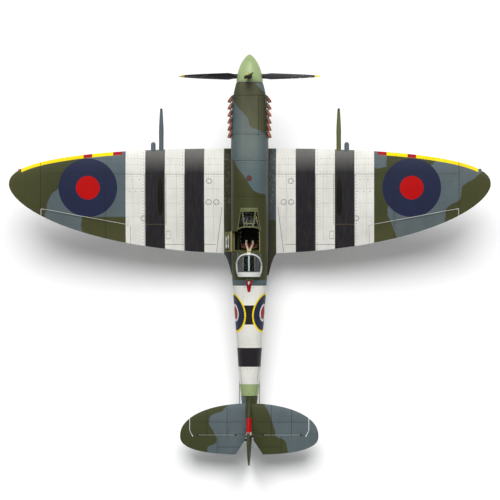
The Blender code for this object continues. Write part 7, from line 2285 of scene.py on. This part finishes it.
def finish_carried_nodes():
    for finish, nodes in CARRIED_FINISHES.items():
        for node in nodes:
            piece = frame["nodes"][node]
            if not piece.material_slots:
                piece.data.materials.append(None)
            for slot in piece.material_slots:
                slot.material = bpy.data.materials[finish]
            soften = piece.modifiers.new("soft_edges", "BEVEL")
            soften.width = 0.0003
            soften.segments = 2
            soften.limit_method = "ANGLE"


# Stage
def make_stage(stage):
    scene = bpy.context.scene
    scene.view_settings.view_transform = "Standard"
    world = bpy.data.worlds.new("studio_air")
    world.use_nodes = True
    air = Formula(world.node_tree)
    background = world.node_tree.nodes["Background"]
    background.inputs["Color"].default_value = (1, 1, 1, 1)
    air.feed(background.inputs["Strength"], air.background_rays().ramp(0.0, 1.0, stage.air_strength, 1.0))
    scene.world = world

    mesh = bpy.data.meshes.new("studio_floor")
    reach = stage.floor_size / 2
    corners = [(-reach, -reach, 0), (reach, -reach, 0), (reach, reach, 0), (-reach, reach, 0)]
    mesh.from_pydata(corners, [], [(0, 1, 2, 3)])
    floor = bpy.data.objects.new("studio_floor", mesh)
    scene.collection.objects.link(floor)
    floor.location.z = CAD_BOX[0][2] - 0.0002
    material = bpy.data.materials.new("studio_floor")
    material.use_nodes = True
    f = Formula(material.node_tree)
    f.tree.nodes.remove(f.tree.nodes["Principled BSDF"])
    matt = f.place("ShaderNodeBsdfDiffuse")
    matt.inputs["Color"].default_value = (stage.floor_tone, stage.floor_tone, stage.floor_tone, 1)
    glow = f.place("ShaderNodeEmission")
    f.feed(glow.inputs["Strength"], f.background_rays() * stage.floor_glow)
    both = f.place("ShaderNodeAddShader")
    f.tree.links.new(both.inputs[0], matt.outputs[0])
    f.tree.links.new(both.inputs[1], glow.outputs[0])
    f.tree.links.new(f.tree.nodes["Material Output"].inputs["Surface"], both.outputs[0])
    mesh.materials.append(material)

    sun = bpy.data.lights.new("studio_key", "SUN")
    sun.energy = stage.key_strength
    sun.angle = stage.key_spread
    key = bpy.data.objects.new("studio_key", sun)
    scene.collection.objects.link(key)
    key.matrix_world = AIRFRAME.to_3x3().to_4x4() @ Matrix.Rotation(-stage.key_tilt, 4, "X")

    lens = bpy.data.cameras.new("studio_camera")
    lens.sensor_width = 36.0
    lens.lens = lens.sensor_width * stage.camera_distance / stage.picture_width
    lens.clip_end = 4 * stage.camera_distance
    camera = bpy.data.objects.new("studio_camera", lens)
    scene.collection.objects.link(camera)
    aim = Matrix.Translation(stage.picture_centre) @ Matrix.Rotation(stage.camera_tilt, 4, "Y")
    camera.matrix_world = AIRFRAME @ aim @ Matrix.Translation((0, 0, stage.camera_distance))
    scene.camera = camera


# Settings
def srgb(red, green, blue):
    """A colour as it is seen on a screen, from 0 to 255, in Blender's linear numbers."""
    linear = []
    for value in (red / 255, green / 255, blue / 255):
        linear.append(value / 12.92 if value <= 0.04045 else ((value + 0.055) / 1.055) ** 2.4)
    return tuple(linear)


def colour_property(label, description, *screen):
    return FloatVectorProperty(
        name=label, description=description, subtype="COLOR", size=3, min=0.0, max=1.0, default=srgb(*screen)
    )


def length_property(label, description, default):
    return FloatProperty(name=label, description=description, default=default, unit="LENGTH", precision=4)


def share_property(label, description, default):
    return FloatProperty(
        name=label, description=description, default=default, subtype="FACTOR", min=0.0, max=1.0
    )


def strength_property(label, description, default):
    return FloatProperty(name=label, description=description, default=default, min=0.0)


def angle_property(label, description, degrees):
    return FloatProperty(name=label, description=description, default=math.radians(degrees), subtype="ANGLE")


def places_property(label, description, *places):
    return FloatVectorProperty(
        name=label, description=description, size=len(places), default=places, unit="LENGTH"
    )


class FighterColours(bpy.types.PropertyGroup):
    """Colours of the paints and materials"""

    dark_green: colour_property("Dark green", "Camouflage green of the wings and tail", 62, 66, 39)
    olive: colour_property("Olive", "Camouflage green of the fuselage", 60, 63, 36)
    sea_grey: colour_property("Sea grey", "Camouflage grey of the wings and tail", 89, 101, 105)
    body_grey: colour_property("Body grey", "Camouflage grey of the fuselage", 84, 100, 104)
    # Pale tint: scuffs at the wing roots, and a painted highlight on top of the nose.
    scuff_and_highlight: colour_property("Faded", "Sun-bleached paint on top of the nose", 168, 166, 142)
    # Near-black that stands in for shade in the well behind the seat and inside the door.
    well: colour_property("Well", "Dark well behind the seat", 14, 14, 26)
    lamp_green: colour_property("Lamp green", "Lamp of the right wing tip", 20, 92, 60)
    frame_olive: colour_property("Frame olive", "Bars of the windscreen and the door's frame", 94, 98, 60)
    # Brownish wear at the wing tips, trailing edges and rivets behind the gun bay, and pale sill edges that
    # are partly a painted highlight.
    worn_edge: colour_property("Worn edge", "Rubbed sills and door hinge", 160, 142, 96)
    stain: colour_property("Stain", "Exhaust stains along the body", 122, 114, 98)
    deck: colour_property("Deck", "Deck under the hood", 84, 82, 88)
    under_grey: colour_property("Under grey", "Paint of the undersides", 152, 162, 166)
    white: colour_property("White", "White stripes and bands", 228, 227, 220)
    black: colour_property("Black", "Black stripes and bands", 32, 30, 33)
    blue: colour_property("Blue", "Blue of the ringed markings", 34, 40, 66)
    red: colour_property("Red", "Centres of the wing markings", 186, 10, 12)
    side_red: colour_property("Side red", "Centres of the side markings", 156, 38, 44)
    patch_red: colour_property("Patch red", "Taped gun ports", 160, 22, 36)
    yellow: colour_property("Yellow", "Leading edges, rings and blade tips", 246, 218, 8)
    sky: colour_property("Sky", "Spinner and tail band", 156, 175, 122)
    # Also the hoop in the hood, which is a painted reflection.
    hood_frame: colour_property("Hood frame", "Pale frame of the sliding hood", 218, 220, 216)
    cockpit_green: colour_property("Cockpit green", "Paint inside the cockpit", 88, 98, 52)
    # Painted shade in the cockpit and under the windscreen, and the gloss black of the wing blisters.
    shade_and_gloss_black: colour_property("Cockpit shade", "Dark depth of the cockpit", 14, 15, 12)
    propeller: colour_property("Propeller", "Blades", 24, 22, 26)
    plastic: colour_property("Plastic", "Moulded black parts", 40, 40, 42)
    rubber: colour_property("Rubber", "Tyres", 38, 37, 36)
    dust: colour_property("Dust", "Dust on the tyres", 120, 112, 100)
    bare_metal: colour_property("Bare metal", "Alloy and paint chips", 186, 188, 190)
    steel: colour_property("Steel", "Wires and polished steel", 198, 200, 204)
    copper: colour_property("Copper", "Exhausts and motor coils", 164, 98, 68)
    burnt: colour_property("Burnt", "Heat marks of the exhausts", 84, 50, 40)
    # Soot and gun metal, also painted shade at the wing roots and between the exhaust stacks.
    soot_and_shade: colour_property("Soot", "Soot and gun metal", 34, 32, 32)
    wood: colour_property("Wood", "Plywood", 206, 172, 126)
    dark_wood: colour_property("Dark wood", "Grain of the plywood", 150, 112, 70)
    wrap: colour_property("Wrap", "Battery wrap", 34, 70, 120)
    leather: colour_property("Leather", "Seat back pad", 92, 24, 24)
    webbing: colour_property("Webbing", "Harness straps", 226, 204, 170)
    webbing_shade: colour_property("Webbing shade", "Gaps in the weave", 170, 146, 112)
    glass: colour_property("Glass", "Clear glazing", 236, 242, 242)


class FighterMarkings(bpy.types.PropertyGroup):
    """Sizes of the painted markings"""

    stripe_start: length_property("Stripe start", "Place of the first wing stripe", 0.0653)
    stripe_width: length_property("Stripe width", "Width of each wing stripe", 0.0489)
    wing_ring_x: length_property("Wing marking across", "Place of the wing marking across the span", 0.4035)
    wing_ring_y: length_property("Wing marking along", "Place of the wing marking along the chord", -0.0073)
    wing_ring_radius: length_property("Wing marking radius", "Radius of the wing marking", 0.073)
    wing_centre_share: share_property("Wing marking centre", "Centre of the wing marking", 0.403)
    yellow_depth: length_property("Yellow depth", "Depth of the yellow leading edge", 0.0087)
    yellow_ends: places_property("Yellow ends", "Ends of the yellow leading edge", 0.321, 0.569)
    band_edges: places_property(
        "Band edges", "Edges of the bands round the body, from the front",
        -0.2509, -0.2999, -0.3475, -0.4055, -0.4523, -0.4961,
    )
    side_ring_y: length_property("Side marking along", "Place of the side marking along the body", -0.3181)
    side_ring_height: length_property("Side marking height", "Height round the body's side", 0.0263)
    side_ring_radius: length_property("Side marking radius", "Radius of the side marking", 0.0492)
    side_ring_stretch: FloatProperty(
        name="Side marking stretch", description="How much longer than tall the side marking is", default=1.17
    )
    flash_ends: places_property(
        "Fin flash ends", "Front of the red, front of the blue and back of the flash",
        -0.5783, -0.6207, -0.632,
    )
    blade_tip: length_property("Blade tip", "Length of the yellow blade tips", 0.013)
    line_width: length_property("Panel line", "Width of the panel lines", 0.0011)
    rivet_pitch: length_property("Rivet pitch", "Distance between rivets", 0.0080)
    rivet_size: length_property("Rivet size", "Diameter of the rivets", 0.0020)


class FighterWear(bpy.types.PropertyGroup):
    """Fading and grime of the finishes"""

    fading: share_property("Fading", "Change of brightness over the paint", 0.10)
    grime_amount: share_property("Grime amount", "Strength of the grime streaks", 0.22)
    line_darkness: share_property("Line darkness", "Darkness of the panel lines", 0.8)
    roughness: share_property("Roughness", "Roughness of the paint", 0.5)
    grime: colour_property("Grime", "Colour of the grime", 36, 32, 27)


class FighterFittings(bpy.types.PropertyGroup):
    """Sizes of the small fittings"""

    frame_bar: length_property("Frame bar", "Width of the glazing bars", 0.0026)
    frame_proud: length_property("Frame height", "Height of the frames above the glass", 0.0006)
    dial_radius: length_property("Dial radius", "Radius of the dials", 0.0042)
    strap_width: length_property("Strap width", "Width of the shoulder straps", 0.0048)


class FighterStage(bpy.types.PropertyGroup):
    """Light, floor and camera"""

    camera_distance: length_property("Camera distance", "Distance of the camera", 14.0)
    picture_width: length_property("Picture width", "Width that the picture shows", 1.245)
    picture_centre: FloatVectorProperty(
        name="Picture centre", description="Place in the middle of the picture", subtype="TRANSLATION",
        default=(0.001, -0.1625, 0.0),
    )
    camera_tilt: angle_property("Camera tilt", "Lean of the camera to the right", 1.5)
    key_strength: strength_property("Key strength", "Strength of the key light", 2.95)
    key_spread: angle_property("Key spread", "Softness of the key light", 44)
    key_tilt: angle_property("Key tilt", "Lean of the key light to the nose", 38)
    air_strength: strength_property("Air strength", "Light from all round", 0.26)
    floor_size: length_property("Floor size", "Length of the floor's sides", 12.0)
    floor_tone: share_property("Floor tone", "Tone of the floor", 0.95)
    floor_glow: strength_property("Floor glow", "Glow that whitens the floor", 0.06)


# Operators
class FIGHTER_OT_stage(bpy.types.Operator):
    """Sets the floor, light and camera"""

    bl_idname = "fighter.stage"
    bl_label = "Stage"

    def execute(self, context):
        make_stage(context.scene.fighter_stage)
        return {"FINISHED"}


class FIGHTER_OT_finishes(bpy.types.Operator):
    """Makes the shared effects and the finish of every piece"""

    bl_idname = "fighter.finishes"
    bl_label = "Finishes"

    def execute(self, context):
        scene = context.scene
        colours, marks, wear = scene.fighter_colours, scene.fighter_markings, scene.fighter_wear
        weathering_group()
        rivet_group()
        ringed_group()
        wing_markings_group(colours, marks)
        body_markings_group(colours, marks)
        tail_markings_group(colours, marks)
        paint_finishes(colours, marks, wear)
        metal_finishes(colours, wear)
        moulded_finishes(colours, wear)
        soft_finishes(colours, wear)
        glass_finishes(colours)
        return {"FINISHED"}


class FIGHTER_OT_wings(bpy.types.Operator):
    """Makes the wing skins with their ailerons, flaps and radiators"""

    bl_idname = "fighter.wings"
    bl_label = "Wings"

    def execute(self, context):
        for name, side in SIDES:
            make_wing(name, side)
            make_aileron(name, side)
            make_flap(name, side)
            make_radiator(name, side)
        return {"FINISHED"}


class FIGHTER_OT_fuselage(bpy.types.Operator):
    """Makes the fuselage skin, the engine cowling with its hatch, and the intake"""

    bl_idname = "fighter.fuselage"
    bl_label = "Fuselage"

    def execute(self, context):
        make_body()
        make_cowling()
        make_intake()
        return {"FINISHED"}


class FIGHTER_OT_tail(bpy.types.Operator):
    """Makes the tailplane, elevator, fin and rudder"""

    bl_idname = "fighter.tail"
    bl_label = "Tail"

    def execute(self, context):
        make_elevator()
        make_rudder()
        return {"FINISHED"}


class FIGHTER_OT_power(bpy.types.Operator):
    """Makes the spinner, the propeller and the exhaust stacks"""

    bl_idname = "fighter.power"
    bl_label = "Propeller and exhausts"

    def execute(self, context):
        make_propeller()
        for name, side in SIDES:
            make_exhaust(name, side)
        return {"FINISHED"}


class FIGHTER_OT_glazing(bpy.types.Operator):
    """Makes the windscreen, the sliding hood and the rear glazing with their frames"""

    bl_idname = "fighter.glazing"
    bl_label = "Glazing"

    def execute(self, context):
        sizes = context.scene.fighter_fittings
        make_windscreen(sizes)
        make_hood(sizes)
        make_rear_glass()
        return {"FINISHED"}


class FIGHTER_OT_cockpit(bpy.types.Operator):
    """Makes the seat with its harness, the instruments, the stick and the door"""

    bl_idname = "fighter.cockpit"
    bl_label = "Cockpit"

    def execute(self, context):
        sizes = context.scene.fighter_fittings
        make_door()
        make_lining()
        make_panel(sizes)
        make_straps(make_seat(), sizes.strap_width)
        make_cockpit_fittings()
        return {"FINISHED"}


class FIGHTER_OT_fittings(bpy.types.Operator):
    """Makes the cannons, the mast and the pitot head"""

    bl_idname = "fighter.fittings"
    bl_label = "Guns and fittings"

    def execute(self, context):
        for name, side in SIDES:
            make_cannon(name, side)
        make_small_fittings()
        return {"FINISHED"}


class FIGHTER_OT_undercarriage(bpy.types.Operator):
    """Makes the legs with their covers, the wheels and the tail wheel"""

    bl_idname = "fighter.undercarriage"
    bl_label = "Undercarriage"

    def execute(self, context):
        for name, side in SIDES:
            make_leg(name, side)
        make_wheels()
        make_tail_leg()
        return {"FINISHED"}


class FIGHTER_OT_equipment(bpy.types.Operator):
    """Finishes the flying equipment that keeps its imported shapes"""

    bl_idname = "fighter.equipment"
    bl_label = "Flying equipment"

    def execute(self, context):
        finish_carried_nodes()
        return {"FINISHED"}


SETTINGS = {
    "fighter_colours": FighterColours,
    "fighter_markings": FighterMarkings,
    "fighter_wear": FighterWear,
    "fighter_fittings": FighterFittings,
    "fighter_stage": FighterStage,
}
OPERATORS = (
    FIGHTER_OT_stage, FIGHTER_OT_finishes, FIGHTER_OT_wings, FIGHTER_OT_fuselage, FIGHTER_OT_tail,
    FIGHTER_OT_power, FIGHTER_OT_glazing, FIGHTER_OT_cockpit, FIGHTER_OT_fittings, FIGHTER_OT_undercarriage,
    FIGHTER_OT_equipment,
)


class FIGHTER_PT_panel(bpy.types.Panel):
    """Lists the pieces and settings of the model"""

    bl_idname = "FIGHTER_PT_panel"
    bl_label = "Fighter model"
    bl_space_type = "VIEW_3D"
    bl_region_type = "UI"
    bl_category = "Fighter model"

    def draw(self, context):
        for operator in OPERATORS:
            self.layout.operator(operator.bl_idname)
        for label in SETTINGS:
            settings = getattr(context.scene, label)
            section = self.layout.box()
            for key in settings.__annotations__:
                section.prop(settings, key)


def register():
    for settings in SETTINGS.values():
        bpy.utils.register_class(settings)
    for label, settings in SETTINGS.items():
        setattr(bpy.types.Scene, label, PointerProperty(type=settings))
    for operator in OPERATORS:
        bpy.utils.register_class(operator)
    bpy.utils.register_class(FIGHTER_PT_panel)


def unregister():
    bpy.utils.unregister_class(FIGHTER_PT_panel)
    for operator in reversed(OPERATORS):
        bpy.utils.unregister_class(operator)
    for label, settings in SETTINGS.items():
        delattr(bpy.types.Scene, label)
        bpy.utils.unregister_class(settings)


def main():
    register()
    for operator in OPERATORS:
        group, name = operator.bl_idname.split(".")
        getattr(getattr(bpy.ops, group), name)()


if __name__ == "__main__":
    main()
